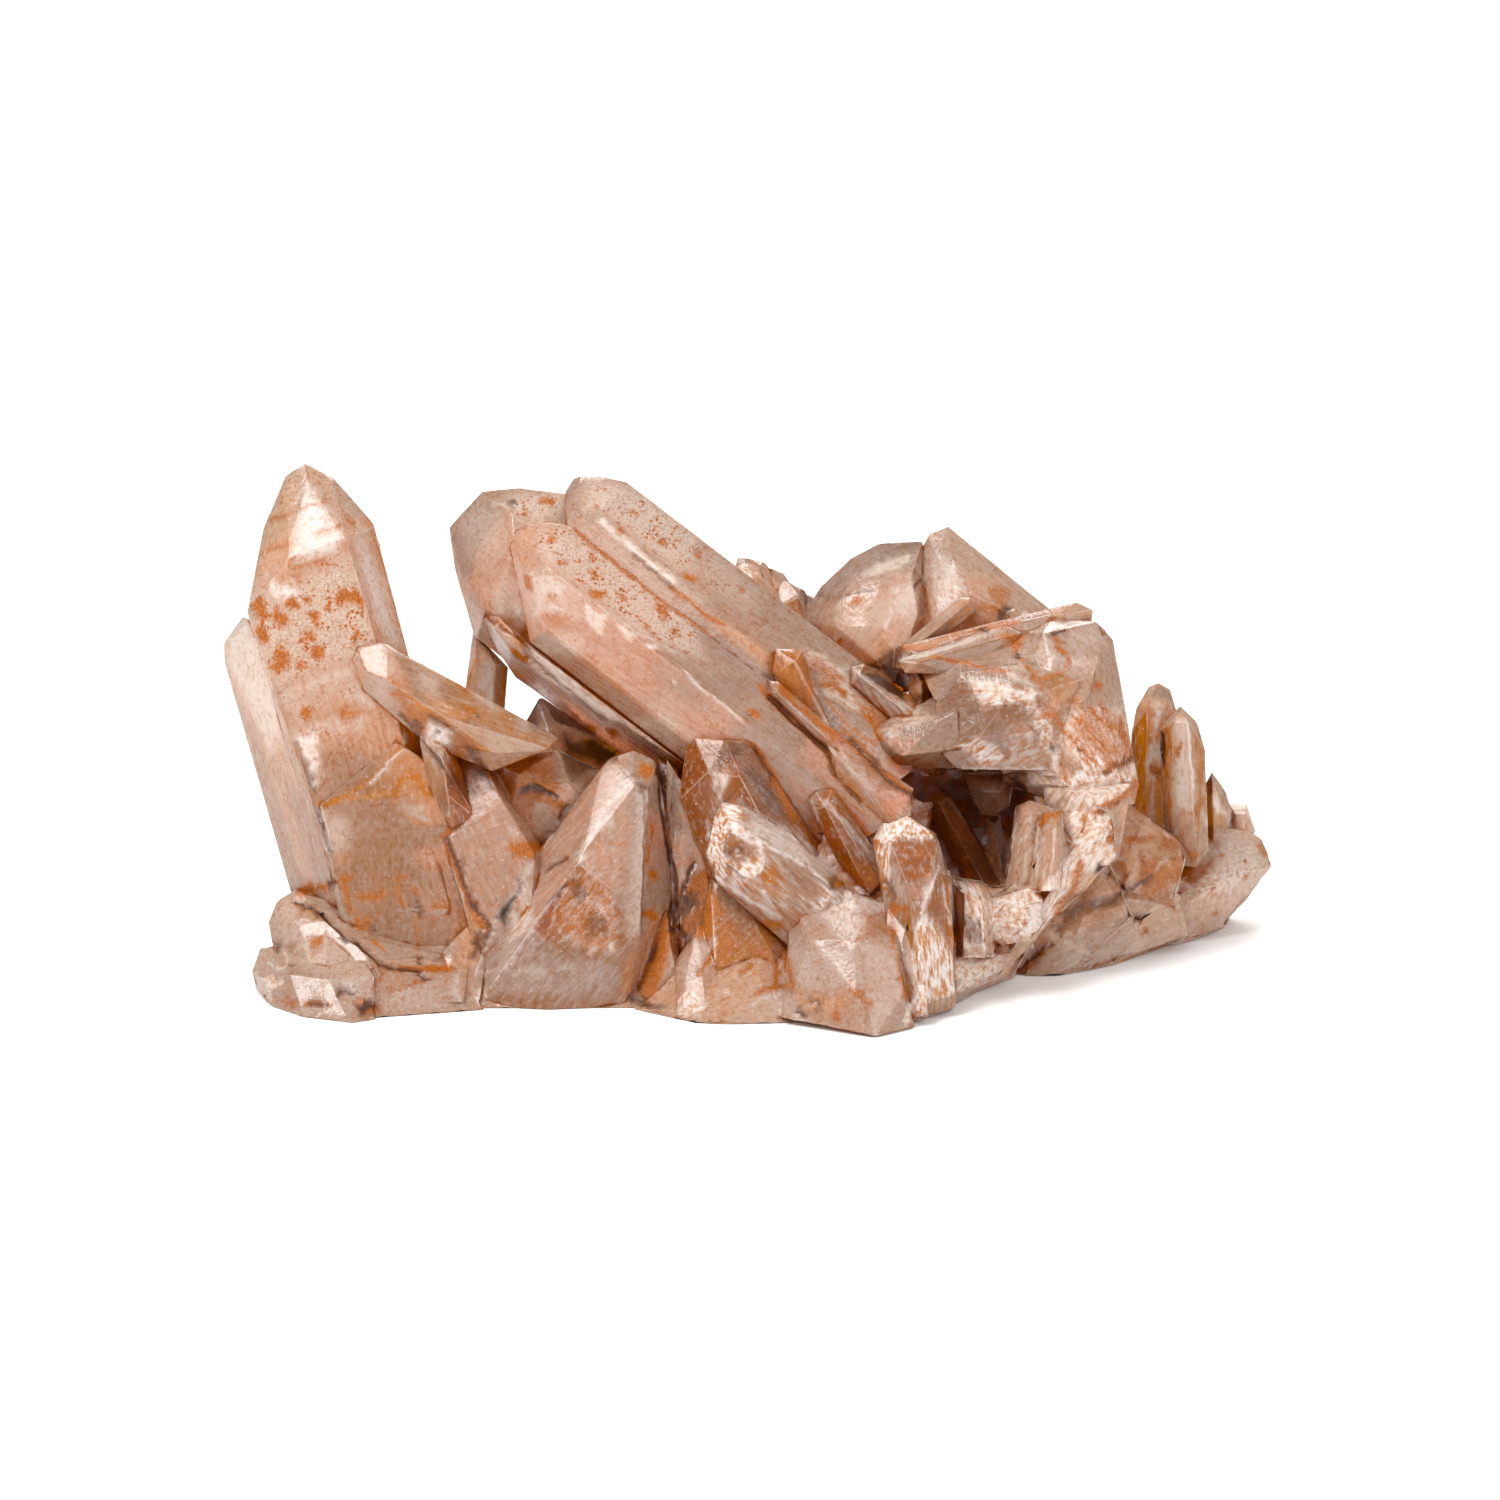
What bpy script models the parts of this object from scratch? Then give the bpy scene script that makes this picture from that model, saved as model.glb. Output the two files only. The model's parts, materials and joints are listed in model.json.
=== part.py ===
"""Quartz crystal cluster: six-sided crystals grown together on a foot of massive quartz, as one solid.

Sizes are in millimetres and are turned to metres at the end. Places are read in a perspective drawing that
looks down on the cluster by DRAWING_TILT from EYE away: u runs to the right, v up the drawing and w away from
the reader, and a place at depth w is drawn smaller by EYE / (EYE + w) round (0, EYE_HEIGHT).
"""

import math

import bmesh
import bpy
from mathutils import Matrix, Vector

MM = 0.001
DRAWING_TILT = 14.0
EYE = 1200.0
EYE_HEIGHT = 34.0
# Height of the drawing's zero above the floor, and where the middle of the cluster lies in the turned drawing.
DRAWING_LIFT = -4.84
MIDDLE = (0.5, 18.0)

# Quartz's sloping tip faces stand at this angle to the long axis.
TIP_SLOPE = 38.2
TAPER = 1.2
# How far past the tip each tip face would meet the axis. Unequal values give unequal faces.
TIP_STEPS = (0.0, 1.6, 0.3, 2.2, 0.0, 1.2)
BLOCK = 240.0
# Points of the joined surface nearer than this are one.
WELD = 0.008
# Flats of a drawn crystal that turn less than this from each other are one face.
SAME_FACE = 9.0

# Crystals and lumps that show. Each is the solid round its corners (u, v, d), at depth w: a corner lies
# d in front of that depth and again d behind it.
DRAWN = {
    # Tall flat crystal at the left, with its left flank, a growth ledge and what leans on it
    "left_tower": (6.0, [
        (-53.3, 68.4, 1.0), (-55.7, 66.9, 0.8), (-58.4, 60.5, 1.0), (-60.2, 50.5, 3.2), (-57.2, 42.0, 7.0),
        (-47.7, 14.5, 7.0), (-43.0, 8.2, 5.0), (-50.0, 12.0, 1.5), (-52.9, 66.2, 2.6), (-55.3, 57.2, 6.6),
        (-48.4, 59.4, 6.8), (-44.5, 47.0, 7.0), (-36.0, 14.5, 7.0), (-50.0, 66.7, 1.0), (-46.2, 62.4, 1.0),
        (-40.6, 46.0, 2.0), (-33.3, 15.0, 2.0), (-35.0, 8.0, 3.0)]),
    "left_tower_flank": (8.0, [
        (-60.9, 50.0, 1.0), (-63.1, 46.8, 1.5), (-63.0, 44.8, 1.6), (-59.9, 33.5, 2.0), (-55.0, 17.0, 2.0),
        (-57.4, 42.5, 8.0), (-59.8, 49.6, 5.0), (-54.6, 35.5, 8.2), (-48.3, 15.0, 8.2), (-45.0, 12.0, 2.0)]),
    "left_tower_ledge": (6.0, [
        (-42.2, 35.0, 7.25), (-46.0, 30.6, 7.25), (-51.4, 27.4, 7.2), (-48.4, 14.7, 7.3), (-48.6, 11.6, 6.6),
        (-44.4, 8.4, 6.6), (-39.6, 7.4, 6.8), (-33.6, 9.6, 6.6), (-31.6, 12.8, 6.4), (-36.2, 23.6, 7.2),
        (-36.2, 30.2, 7.0), (-39.0, 33.0, 7.2)]),
    "left_prop": (-1.0, [
        (-47.7, 44.9, 0.3), (-47.0, 46.3, 0.5), (-44.3, 47.0, 0.8), (-46.3, 41.2, 0.8), (-46.2, 43.8, 2.0),
        (-43.0, 42.2, 3.4), (-42.0, 38.6, 1.5), (-36.0, 37.6, 3.8), (-30.6, 33.6, 3.8), (-34.5, 41.5, 1.5),
        (-22.8, 35.4, 1.5), (-39.2, 35.0, 1.5), (-31.0, 31.4, 1.5), (-24.4, 34.0, 2.6)]),
    "left_glint": (0.0, [
        (-38.9, 38.2, 1.0), (-36.0, 36.6, 1.0), (-39.7, 35.5, 3.0), (-36.8, 33.0, 4.2), (-36.2, 28.6, 3.6),
        (-33.0, 26.0, 1.0), (-38.4, 29.0, 1.0), (-35.8, 24.6, 1.8)]),
    "red_wedge": (3.0, [
        (-35.5, 36.6, 0.8), (-33.0, 35.3, 1.0), (-37.0, 28.5, 2.4), (-36.6, 23.0, 4.0), (-33.4, 15.0, 5.4),
        (-32.0, 7.0, 5.4), (-30.0, 28.6, 4.8), (-25.8, 21.8, 5.8), (-26.0, 12.0, 7.2), (-24.4, 21.6, 2.0),
        (-23.0, 6.0, 3.0)]),
    "red_wedge_twin": (7.0, [
        (-32.9, 36.7, 1.0), (-30.3, 32.8, 1.0), (-24.5, 23.5, 1.0), (-31.5, 33.0, 3.0), (-28.0, 25.0, 5.0),
        (-24.0, 13.0, 5.0), (-34.0, 30.0, 1.0), (-31.0, 10.0, 2.0), (-20.0, 14.0, 2.0)]),
    "left_shelf": (9.0, [
        (-31.5, 33.0, 7.4), (-23.0, 34.2, 6.6), (-19.4, 31.4, 6.0), (-16.0, 31.0, 3.0), (-14.0, 22.0, 5.0),
        (-30.0, 20.0, 6.0), (-33.0, 28.0, 5.0), (-24.0, 29.5, 9.0), (-27.6, 31.2, 9.2), (-21.4, 30.0, 8.4)]),
    "front_pyramid": (1.0, [
        (-14.0, 34.0, 0.5), (-17.0, 32.9, 0.8), (-11.0, 32.6, 0.8), (-22.5, 25.4, 1.0), (-27.2, 19.6, 1.0),
        (-30.4, 13.5, 1.5), (-33.2, 6.5, 4.6), (-32.6, 2.7, 7.4), (-17.0, 27.3, 4.0), (-20.5, 21.0, 6.4),
        (-13.7, 29.8, 3.6), (-15.0, 10.0, 9.0), (-13.2, 12.0, 9.0), (-12.2, 29.4, 3.4), (-10.1, 26.5, 1.2),
        (-8.7, 17.5, 1.5), (-9.4, 14.5, 3.0), (-14.8, 3.6, 7.5), (-25.0, 2.6, 8.5)]),
    "front_sliver": (4.0, [
        (-10.8, 33.0, 1.0), (-8.6, 31.8, 1.0), (-7.8, 24.0, 3.0), (-4.9, 19.5, 3.0), (-4.0, 8.0, 5.0),
        (-12.0, 8.0, 6.0), (-11.4, 26.0, 2.6), (-9.0, 20.0, 5.0)]),
    "front_splinter": (-3.0, [
        (-10.0, 14.6, 1.0), (-12.6, 10.0, 1.5), (-15.0, 4.6, 1.5), (-14.0, 3.2, 2.0), (-9.6, 12.0, 3.0),
        (-11.5, 3.0, 4.5), (-8.6, 11.0, 1.0), (-8.0, 3.0, 3.0)]),
    "front_gusset": (2.0, [
        (-10.0, 33.0, 0.8), (-8.0, 30.0, 1.6), (-6.6, 24.0, 2.6), (-4.4, 18.0, 3.4), (-3.0, 11.0, 4.6),
        (-8.0, 8.0, 5.4), (-10.6, 14.0, 3.2), (-9.4, 24.0, 2.2)]),
    "front_step": (-3.0, [
        (-4.8, 18.6, 1.0), (-1.0, 16.2, 2.0), (4.4, 11.8, 2.0), (4.6, 6.0, 6.0), (-4.0, 6.0, 6.0),
        (-5.8, 12.0, 2.4), (-0.6, 10.4, 3.8), (3.0, 9.0, 4.6)]),
    "front_chip": (-4.0, [
        (-6.3, 13.4, 1.0), (-3.8, 11.4, 1.0), (-8.9, 8.8, 1.5), (-6.5, 6.7, 5.0), (-10.5, 2.0, 3.0),
        (-5.0, 1.2, 9.0), (-1.5, 9.0, 1.5), (-1.5, 1.6, 8.0), (-9.0, 1.4, 8.0)]),
    # Big parallel crystals in the middle
    "middle_back": (15.0, [
        (-36.1, 60.5, 1.0), (-35.0, 62.0, 1.2), (-32.0, 65.0, 1.6), (-27.5, 65.4, 3.0), (-22.0, 64.7, 4.5),
        (18.3, 31.5, 4.5), (-35.6, 57.0, 2.0), (-34.8, 53.2, 3.0), (-32.9, 47.6, 4.0), (8.0, 14.6, 4.0),
        (-28.5, 62.5, 6.0), (-28.0, 57.5, 9.0), (15.5, 24.0, 9.0), (-29.2, 54.5, 9.0), (-31.6, 50.2, 7.4),
        (12.0, 16.4, 7.4)]),
    "middle_top": (14.0, [
        (-22.2, 64.9, 2.0), (-21.2, 66.5, 2.0), (-20.4, 66.8, 2.5), (-18.0, 66.8, 3.0), (-15.0, 66.2, 3.4),
        (-13.9, 65.5, 3.6), (20.0, 39.3, 3.6), (-18.3, 62.1, 7.8), (20.0, 32.5, 7.8), (-19.8, 61.6, 8.6),
        (19.0, 31.3, 8.6), (-21.8, 60.6, 9.4), (17.0, 29.8, 9.4), (-21.5, 57.0, 2.0), (15.0, 28.0, 2.0)]),
    "middle_front": (6.0, [
        (-28.7, 58.5, 1.6), (-28.0, 60.3, 1.6), (-25.5, 61.3, 2.0), (-22.0, 61.0, 3.0), (20.0, 28.2, 3.2),
        (-28.5, 57.0, 1.6), (-27.4, 52.5, 2.0), (-26.3, 46.8, 3.0), (9.0, 19.6, 3.2), (-26.7, 55.3, 5.0),
        (-23.8, 55.5, 7.4), (16.0, 24.8, 7.6), (-25.4, 50.0, 5.6), (-24.6, 48.4, 5.8), (10.5, 21.2, 6.4)]),
    "middle_under": (12.0, [
        (-32.4, 50.3, 2.0), (-31.0, 47.0, 2.0), (-29.0, 44.0, 2.4), (-16.0, 33.4, 3.0), (-4.0, 26.0, 3.0),
        (-30.6, 48.6, 6.8), (-28.4, 45.6, 8.0), (-27.0, 46.6, 9.3), (-12.0, 34.9, 9.3), (-30.0, 50.0, 6.4),
        (-21.0, 42.4, 9.4), (-6.0, 31.0, 9.3)]),
    "middle_splinter": (3.0, [
        (2.2, 42.4, 0.8), (3.4, 42.2, 1.2), (2.0, 40.6, 1.0), (19.5, 28.4, 1.6), (17.0, 24.5, 1.6),
        (3.2, 41.0, 2.6), (17.0, 28.0, 3.6)]),
    "middle_plate": (2.0, [
        (9.0, 35.4, 1.0), (11.6, 34.9, 1.0), (19.6, 29.4, 2.0), (9.2, 32.0, 1.2), (15.0, 24.0, 2.0),
        (10.0, 33.6, 2.6), (14.6, 29.0, 3.4), (19.0, 22.0, 3.0), (10.6, 30.0, 2.8)]),
    "middle_side": (9.0, [
        (12.2, 44.0, 1.0), (13.6, 44.4, 1.2), (12.0, 42.0, 1.2), (23.0, 38.0, 1.6), (22.0, 33.0, 1.8),
        (13.2, 42.8, 3.2), (22.0, 36.0, 4.2)]),
    "orange_facet": (5.0, [
        (3.0, 46.2, 1.0), (6.4, 46.2, 1.0), (7.4, 42.0, 1.4), (5.0, 39.0, 2.0), (2.6, 43.0, 1.6),
        (5.4, 44.6, 2.8), (10.0, 36.0, 3.0)]),
    "back_upright": (20.0, [
        (-34.5, 41.0, 1.0), (-33.0, 48.1, 1.0), (-31.5, 46.6, 1.0), (-29.0, 43.9, 1.0), (-30.2, 28.0, 1.2),
        (-35.6, 28.0, 1.2), (-32.9, 45.2, 2.6), (-30.5, 44.4, 2.6), (-31.6, 28.0, 2.8), (-34.0, 28.0, 2.8)]),
    "back_smoky": (22.0, [
        (-25.2, 40.4, 1.0), (-20.5, 37.6, 1.2), (-27.4, 36.6, 1.0), (-29.5, 30.0, 1.2), (-16.0, 28.0, 2.0),
        (-15.4, 34.2, 1.6), (-24.4, 36.4, 3.4), (-22.0, 28.0, 5.0), (-27.0, 28.0, 3.6)]),
    # Front group under the big crystals
    "red_flat_top": (1.0, [
        (-8.4, 28.8, 1.5), (-7.7, 34.4, 1.5), (-6.6, 35.4, 2.6), (-3.0, 35.3, 3.6), (0.1, 34.9, 2.4),
        (5.8, 26.3, 2.0), (12.0, 17.0, 2.0), (-7.7, 26.0, 2.0), (-4.6, 18.0, 3.0), (-4.9, 31.4, 5.4),
        (-1.0, 30.6, 6.0), (6.0, 17.0, 6.6), (0.0, 16.0, 6.6)]),
    "broken_tip": (-6.0, [
        (-3.4, 28.0, 1.0), (-0.9, 27.4, 1.2), (5.0, 24.1, 1.4), (10.4, 19.0, 1.6), (15.0, 13.0, 1.4),
        (-4.5, 26.0, 1.0), (-5.5, 21.5, 1.2), (-4.2, 18.0, 1.2), (0.0, 15.0, 1.4), (5.0, 10.0, 1.4),
        (-2.4, 25.6, 3.0), (2.0, 22.3, 5.4), (10.0, 16.8, 5.6), (-3.2, 20.6, 3.6), (1.0, 17.3, 5.0),
        (7.0, 12.5, 5.2)]),
    "pale_block": (-6.0, [
        (5.2, 16.4, 2.0), (8.5, 17.1, 2.0), (12.0, 17.4, 2.0), (17.2, 15.4, 2.0), (12.0, 15.0, 6.4),
        (7.0, 11.5, 9.0), (12.5, 11.2, 11.0), (17.6, 11.0, 9.6), (18.6, 5.0, 11.0), (15.0, 0.0, 14.0),
        (8.0, 1.2, 11.0), (4.0, 9.0, 4.0), (3.6, 2.0, 8.0), (19.6, 1.0, 10.0), (12.5, 5.4, 12.6)]),
    "standing_stub": (-9.0, [
        (15.5, 25.0, 1.0), (14.5, 23.3, 1.0), (19.0, 26.4, 1.6), (22.5, 24.1, 1.2), (24.0, 19.5, 1.2),
        (24.8, 11.0, 2.0), (24.6, 3.0, 1.5), (16.8, 15.0, 2.0), (17.4, 10.0, 2.0), (18.4, 1.0, 4.0),
        (17.0, 22.4, 3.6), (22.2, 20.2, 3.8), (20.6, 15.0, 5.2), (19.0, 17.0, 5.2), (20.4, 5.0, 6.0),
        (22.4, 2.4, 3.0)]),
    "stub_bed": (-7.0, [
        (16.4, 16.4, 4.0), (19.0, 17.4, 4.6), (20.6, 10.0, 7.0), (21.2, 2.2, 8.0), (17.0, 1.8, 8.0),
        (16.0, 8.0, 7.8), (18.2, 9.0, 7.9)]),
    "front_rod": (-1.0, [
        (6.9, 28.0, 0.7), (7.9, 29.0, 1.1), (9.9, 29.4, 0.9), (17.0, 19.2, 1.2), (7.3, 26.8, 1.1),
        (12.5, 16.5, 1.4), (9.0, 27.2, 2.8), (15.6, 18.0, 3.0), (10.4, 26.4, 2.8), (14.4, 16.6, 3.0)]),
    "rod_bed": (2.0, [
        (9.0, 26.0, 2.0), (17.0, 24.0, 2.0), (20.0, 20.0, 4.0), (18.0, 12.0, 8.0), (6.0, 14.0, 7.0),
        (12.0, 19.0, 5.0)]),
    # Back right group
    "smoky_block": (22.0, [
        (6.6, 49.6, 1.2), (7.3, 51.9, 1.2), (8.4, 53.6, 1.2), (12.0, 57.0, 1.4), (15.5, 58.9, 1.6),
        (20.7, 59.1, 1.4), (22.0, 50.0, 1.6), (20.0, 40.0, 2.0), (9.0, 42.0, 2.0), (11.3, 52.7, 5.0),
        (15.6, 53.2, 5.8), (19.5, 54.9, 4.4), (20.0, 50.0, 5.6), (15.0, 49.0, 6.6), (10.7, 48.4, 5.6),
        (17.5, 42.0, 7.0)]),
    "back_peak": (22.0, [
        (20.3, 57.6, 1.2), (21.4, 60.0, 1.2), (23.4, 60.8, 1.4), (25.3, 59.6, 1.4), (29.1, 56.2, 1.6),
        (33.3, 53.6, 1.6), (37.2, 49.7, 1.6), (20.0, 52.0, 1.6), (19.0, 42.0, 2.0), (40.0, 40.0, 2.0),
        (22.6, 56.2, 4.4), (25.2, 53.2, 6.6), (31.4, 50.4, 6.6), (22.0, 46.0, 7.0), (35.0, 42.0, 7.0)]),
    "long_rod": (9.0, [
        (17.0, 43.6, 1.0), (17.4, 46.4, 1.0), (36.2, 51.0, 0.8), (39.2, 51.8, 0.8), (41.2, 50.8, 0.8),
        (41.0, 49.2, 0.8), (36.0, 47.6, 1.0), (20.0, 45.6, 2.8), (37.6, 50.4, 2.4), (38.0, 49.2, 2.4),
        (20.0, 43.6, 2.6)]),
    "upper_rod": (14.0, [
        (17.0, 45.6, 1.0), (25.2, 52.4, 0.6), (26.5, 52.3, 0.8), (27.0, 50.6, 0.8), (20.0, 44.6, 1.2),
        (25.8, 51.4, 1.8), (19.0, 45.8, 2.2)]),
    "lower_rod": (6.0, [
        (17.6, 44.8, 0.6), (18.6, 43.2, 0.8), (30.6, 49.0, 0.8), (32.6, 48.0, 0.8), (31.6, 46.0, 0.8),
        (20.0, 44.4, 1.8), (31.0, 47.6, 1.8), (26.0, 43.0, 1.0)]),
    "right_plate": (8.0, [
        (32.3, 48.3, 1.2), (36.0, 49.8, 1.2), (41.5, 49.6, 1.2), (43.7, 47.3, 1.2), (44.3, 41.5, 1.4),
        (45.6, 36.8, 1.4), (46.8, 30.0, 1.4), (46.2, 27.4, 1.4), (40.0, 26.2, 2.4), (30.0, 30.0, 2.4),
        (35.0, 48.0, 4.6), (37.6, 45.2, 5.8), (42.0, 45.6, 4.4), (36.0, 43.0, 6.6), (40.0, 38.0, 7.2),
        (44.0, 31.0, 5.0), (38.0, 29.5, 7.2), (30.0, 34.0, 4.6)]),
    "plate_slope": (8.0, [
        (20.4, 43.4, 1.0), (25.4, 47.8, 1.2), (35.6, 50.2, 1.4), (42.6, 48.6, 1.4), (43.6, 44.0, 1.4),
        (25.0, 41.4, 5.8), (33.0, 41.4, 7.0), (40.5, 41.0, 6.6), (22.0, 40.0, 4.4), (28.0, 35.0, 6.4),
        (39.0, 34.0, 7.0)]),
    "plate_foot": (6.0, [
        (34.6, 31.4, 2.4), (45.6, 30.0, 2.0), (45.0, 24.6, 2.0), (44.0, 20.8, 2.0), (38.0, 17.6, 2.0),
        (36.0, 24.0, 2.0), (39.6, 28.4, 5.8), (42.4, 24.6, 5.4), (39.0, 21.0, 6.2)]),
    "right_face": (8.0, [
        (25.4, 43.4, 5.4), (22.2, 39.6, 5.0), (22.8, 33.6, 5.6), (24.6, 31.6, 5.4), (37.6, 31.4, 6.6),
        (39.4, 42.4, 6.8), (33.0, 44.4, 6.0), (30.0, 39.4, 8.4), (34.0, 36.0, 8.6), (27.0, 35.0, 7.6)]),
    "right_apron": (8.0, [
        (14.0, 36.4, 1.0), (20.4, 38.8, 1.6), (25.0, 42.0, 1.6), (26.0, 31.8, 1.6), (17.4, 31.6, 1.4),
        (14.4, 34.6, 1.0), (18.6, 36.6, 4.0), (24.5, 38.6, 6.6), (25.0, 34.0, 6.6), (18.2, 33.4, 4.8)]),
    "pocket_orange": (9.0, [
        (18.8, 41.6, 0.8), (19.6, 44.4, 0.8), (21.9, 42.6, 0.8), (21.6, 40.0, 0.8), (19.4, 39.6, 0.8),
        (20.4, 42.2, 2.6), (20.8, 38.0, 2.0)]),
    "cavity_roof": (14.0, [
        (14.0, 40.0, 4.0), (22.0, 42.0, 5.0), (30.0, 44.0, 5.0), (38.0, 40.0, 6.0), (36.0, 31.4, 6.0),
        (24.0, 31.8, 7.0), (16.0, 31.0, 7.0)]),
    "hanging_point": (9.0, [
        (25.2, 31.5, 2.0), (31.8, 31.5, 2.0), (26.2, 29.0, 1.0), (28.0, 26.0, 0.6), (29.4, 25.8, 0.6),
        (31.2, 27.2, 1.0), (28.0, 29.0, 3.4), (30.0, 29.0, 3.4)]),
    "cavity_rod": (11.0, [
        (20.6, 28.0, 1.0), (22.4, 29.4, 1.0), (24.4, 28.4, 1.0), (27.0, 15.0, 1.2), (31.0, 16.4, 1.2),
        (22.6, 27.6, 3.0), (28.6, 17.0, 3.2)]),
    "cavity_fin": (12.0, [
        (28.0, 26.0, 1.0), (30.0, 26.6, 1.0), (29.0, 16.0, 1.4), (32.0, 16.0, 1.4), (29.4, 25.0, 2.4),
        (30.8, 16.0, 2.8)]),
    "cavity_wall": (20.0, [
        (16.0, 34.0, 4.0), (34.0, 34.0, 4.0), (36.0, 18.0, 6.0), (18.0, 14.0, 6.0), (26.0, 26.0, 6.0)]),
    "rim_post": (1.0, [
        (32.0, 27.4, 0.8), (33.6, 28.1, 1.0), (37.4, 26.8, 1.0), (36.8, 18.0, 1.6), (30.4, 17.0, 1.6),
        (31.0, 22.5, 1.2), (33.0, 26.0, 3.0), (32.6, 18.0, 3.8), (35.6, 18.0, 3.8)]),
    "rim_post_front": (-2.0, [
        (34.3, 25.2, 0.8), (35.4, 26.7, 1.0), (37.3, 26.8, 1.0), (37.9, 25.0, 0.8), (37.4, 17.0, 1.2),
        (33.2, 17.0, 1.4), (35.2, 24.8, 2.6), (36.8, 24.8, 2.4), (35.0, 17.0, 3.2), (36.4, 17.0, 3.0)]),
    "white_rim": (2.0, [
        (37.0, 26.4, 1.6), (41.6, 27.6, 1.6), (43.8, 26.6, 1.2), (44.1, 24.0, 1.2), (44.5, 21.8, 1.2),
        (43.9, 20.4, 1.4), (42.0, 19.2, 1.6), (38.0, 15.2, 2.0), (34.0, 10.8, 3.0), (31.0, 9.4, 3.0),
        (31.0, 15.0, 4.0), (38.6, 23.0, 4.0), (41.6, 23.0, 3.6), (36.4, 18.0, 5.2), (33.6, 12.6, 5.6)]),
    "white_bank": (6.0, [
        (19.6, 1.2, 18.4), (22.4, 2.6, 15.0), (26.0, 4.9, 7.0), (30.0, 6.8, 2.0), (30.8, 9.8, 6.0),
        (25.4, 10.8, 12.0), (21.4, 13.0, 15.6), (24.0, 12.6, 12.0)]),
    "fluted_block": (-3.0, [
        (23.8, 19.2, 1.6), (28.0, 18.6, 1.6), (29.4, 16.5, 1.4), (29.6, 9.0, 2.4), (24.4, 9.0, 2.4),
        (25.6, 17.0, 4.0), (28.0, 16.0, 4.0), (28.4, 9.0, 5.6), (25.2, 9.0, 5.6)]),
    "white_lump": (-3.0, [
        (28.6, 16.4, 1.6), (31.5, 18.0, 1.6), (33.6, 18.0, 1.6), (35.5, 16.5, 1.6), (35.8, 13.0, 1.6),
        (34.0, 11.0, 2.0), (30.0, 10.0, 2.4), (28.6, 12.4, 2.4), (30.6, 15.4, 4.4), (33.6, 15.2, 4.4),
        (33.0, 12.4, 4.8)]),
    "cavity_bed": (4.0, [
        (20.0, 19.0, 2.0), (32.0, 18.0, 2.0), (37.0, 15.0, 2.0), (32.0, 7.0, 4.0), (22.0, 3.4, 9.0),
        (20.0, 8.0, 9.0), (29.6, 6.6, 6.0), (28.0, 5.2, 5.0)]),
    # Right end
    "right_needle": (28.0, [
        (49.0, 42.1, 0.8), (47.8, 41.6, 0.8), (46.3, 39.0, 1.0), (45.7, 36.0, 1.2), (46.2, 28.0, 1.4),
        (45.6, 20.0, 1.4), (50.4, 41.3, 0.8), (51.2, 38.6, 1.0), (52.0, 22.0, 1.4), (47.6, 39.4, 2.6),
        (49.8, 39.2, 2.6), (50.4, 20.0, 3.0), (47.4, 20.0, 3.0)]),
    "right_spear": (23.0, [
        (51.6, 39.3, 0.8), (50.1, 37.8, 0.8), (49.1, 36.4, 1.0), (49.8, 30.0, 1.2), (50.0, 20.0, 1.4),
        (53.6, 37.4, 0.8), (54.6, 34.0, 1.2), (55.0, 22.0, 1.4), (50.8, 37.2, 2.2), (52.4, 37.4, 2.4),
        (53.4, 20.0, 3.0), (50.6, 20.0, 2.6)]),
    "right_tooth": (27.0, [
        (55.4, 31.4, 0.8), (54.4, 29.6, 0.8), (57.1, 29.0, 0.8), (57.8, 26.6, 1.0), (56.4, 20.0, 1.4),
        (53.6, 20.0, 1.4), (55.4, 29.4, 2.2), (55.6, 20.0, 2.8)]),
    "right_step": (31.0, [
        (57.3, 27.6, 1.2), (59.6, 27.6, 1.2), (60.6, 24.4, 1.4), (61.0, 18.0, 1.6), (56.4, 18.0, 1.6),
        (58.0, 26.4, 3.0), (59.4, 26.2, 3.0), (59.0, 18.0, 3.6)]),
    "right_knob": (19.0, [
        (44.0, 29.0, 1.2), (47.4, 26.6, 1.6), (49.6, 24.0, 1.6), (51.8, 23.4, 1.2), (52.6, 21.0, 1.6),
        (51.0, 15.0, 2.4), (40.0, 14.0, 3.0), (40.0, 26.0, 3.0), (46.0, 23.6, 3.6), (49.0, 20.6, 3.6),
        (45.0, 17.0, 5.0)]),
    "right_foot": (29.0, [
        (45.0, 15.4, 4.0), (48.0, 18.8, 4.0), (50.2, 21.6, 4.0), (53.0, 25.2, 3.0), (57.2, 25.0, 3.0),
        (60.2, 24.4, 2.4), (61.6, 23.4, 2.4), (62.9, 20.2, 2.4), (61.6, 18.4, 2.6), (58.6, 14.6, 4.0),
        (56.6, 12.6, 5.0), (53.0, 11.5, 7.0), (45.0, 8.5, 10.0), (50.6, 17.0, 9.0), (57.0, 18.6, 8.0),
        (46.0, 12.0, 11.0)]),
    "right_sole": (20.0, [
        (30.4, 6.0, 12.0), (33.0, 9.4, 12.0), (38.0, 13.6, 9.4), (46.0, 17.4, 4.4), (52.0, 17.0, 2.0),
        (53.0, 12.0, 2.0), (45.0, 8.7, 7.0), (35.6, 6.0, 13.4), (32.6, 6.4, 13.0), (41.0, 10.4, 9.8)]),
    # Massive quartz under the crystals
    "left_heel": (4.0, [
        (-54.5, 17.5, 2.0), (-56.9, 15.9, 2.0), (-57.9, 13.4, 2.4), (-57.0, 9.6, 4.0), (-50.0, 6.0, 10.0),
        (-44.0, 8.4, 10.0), (-50.4, 13.6, 6.4), (-40.0, 7.0, 8.0), (-40.0, 12.0, 2.0), (-54.6, 13.4, 5.4)]),
    "heel_bed": (4.0, [
        (-56.0, 15.2, 2.0), (-51.0, 12.6, 6.4), (-44.6, 8.4, 8.6), (-39.4, 7.0, 9.0), (-33.4, 8.8, 8.0),
        (-34.0, 4.0, 12.0), (-50.0, 4.0, 14.0), (-55.0, 8.0, 7.0)]),
    "tower_toe": (0.0, [
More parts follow.
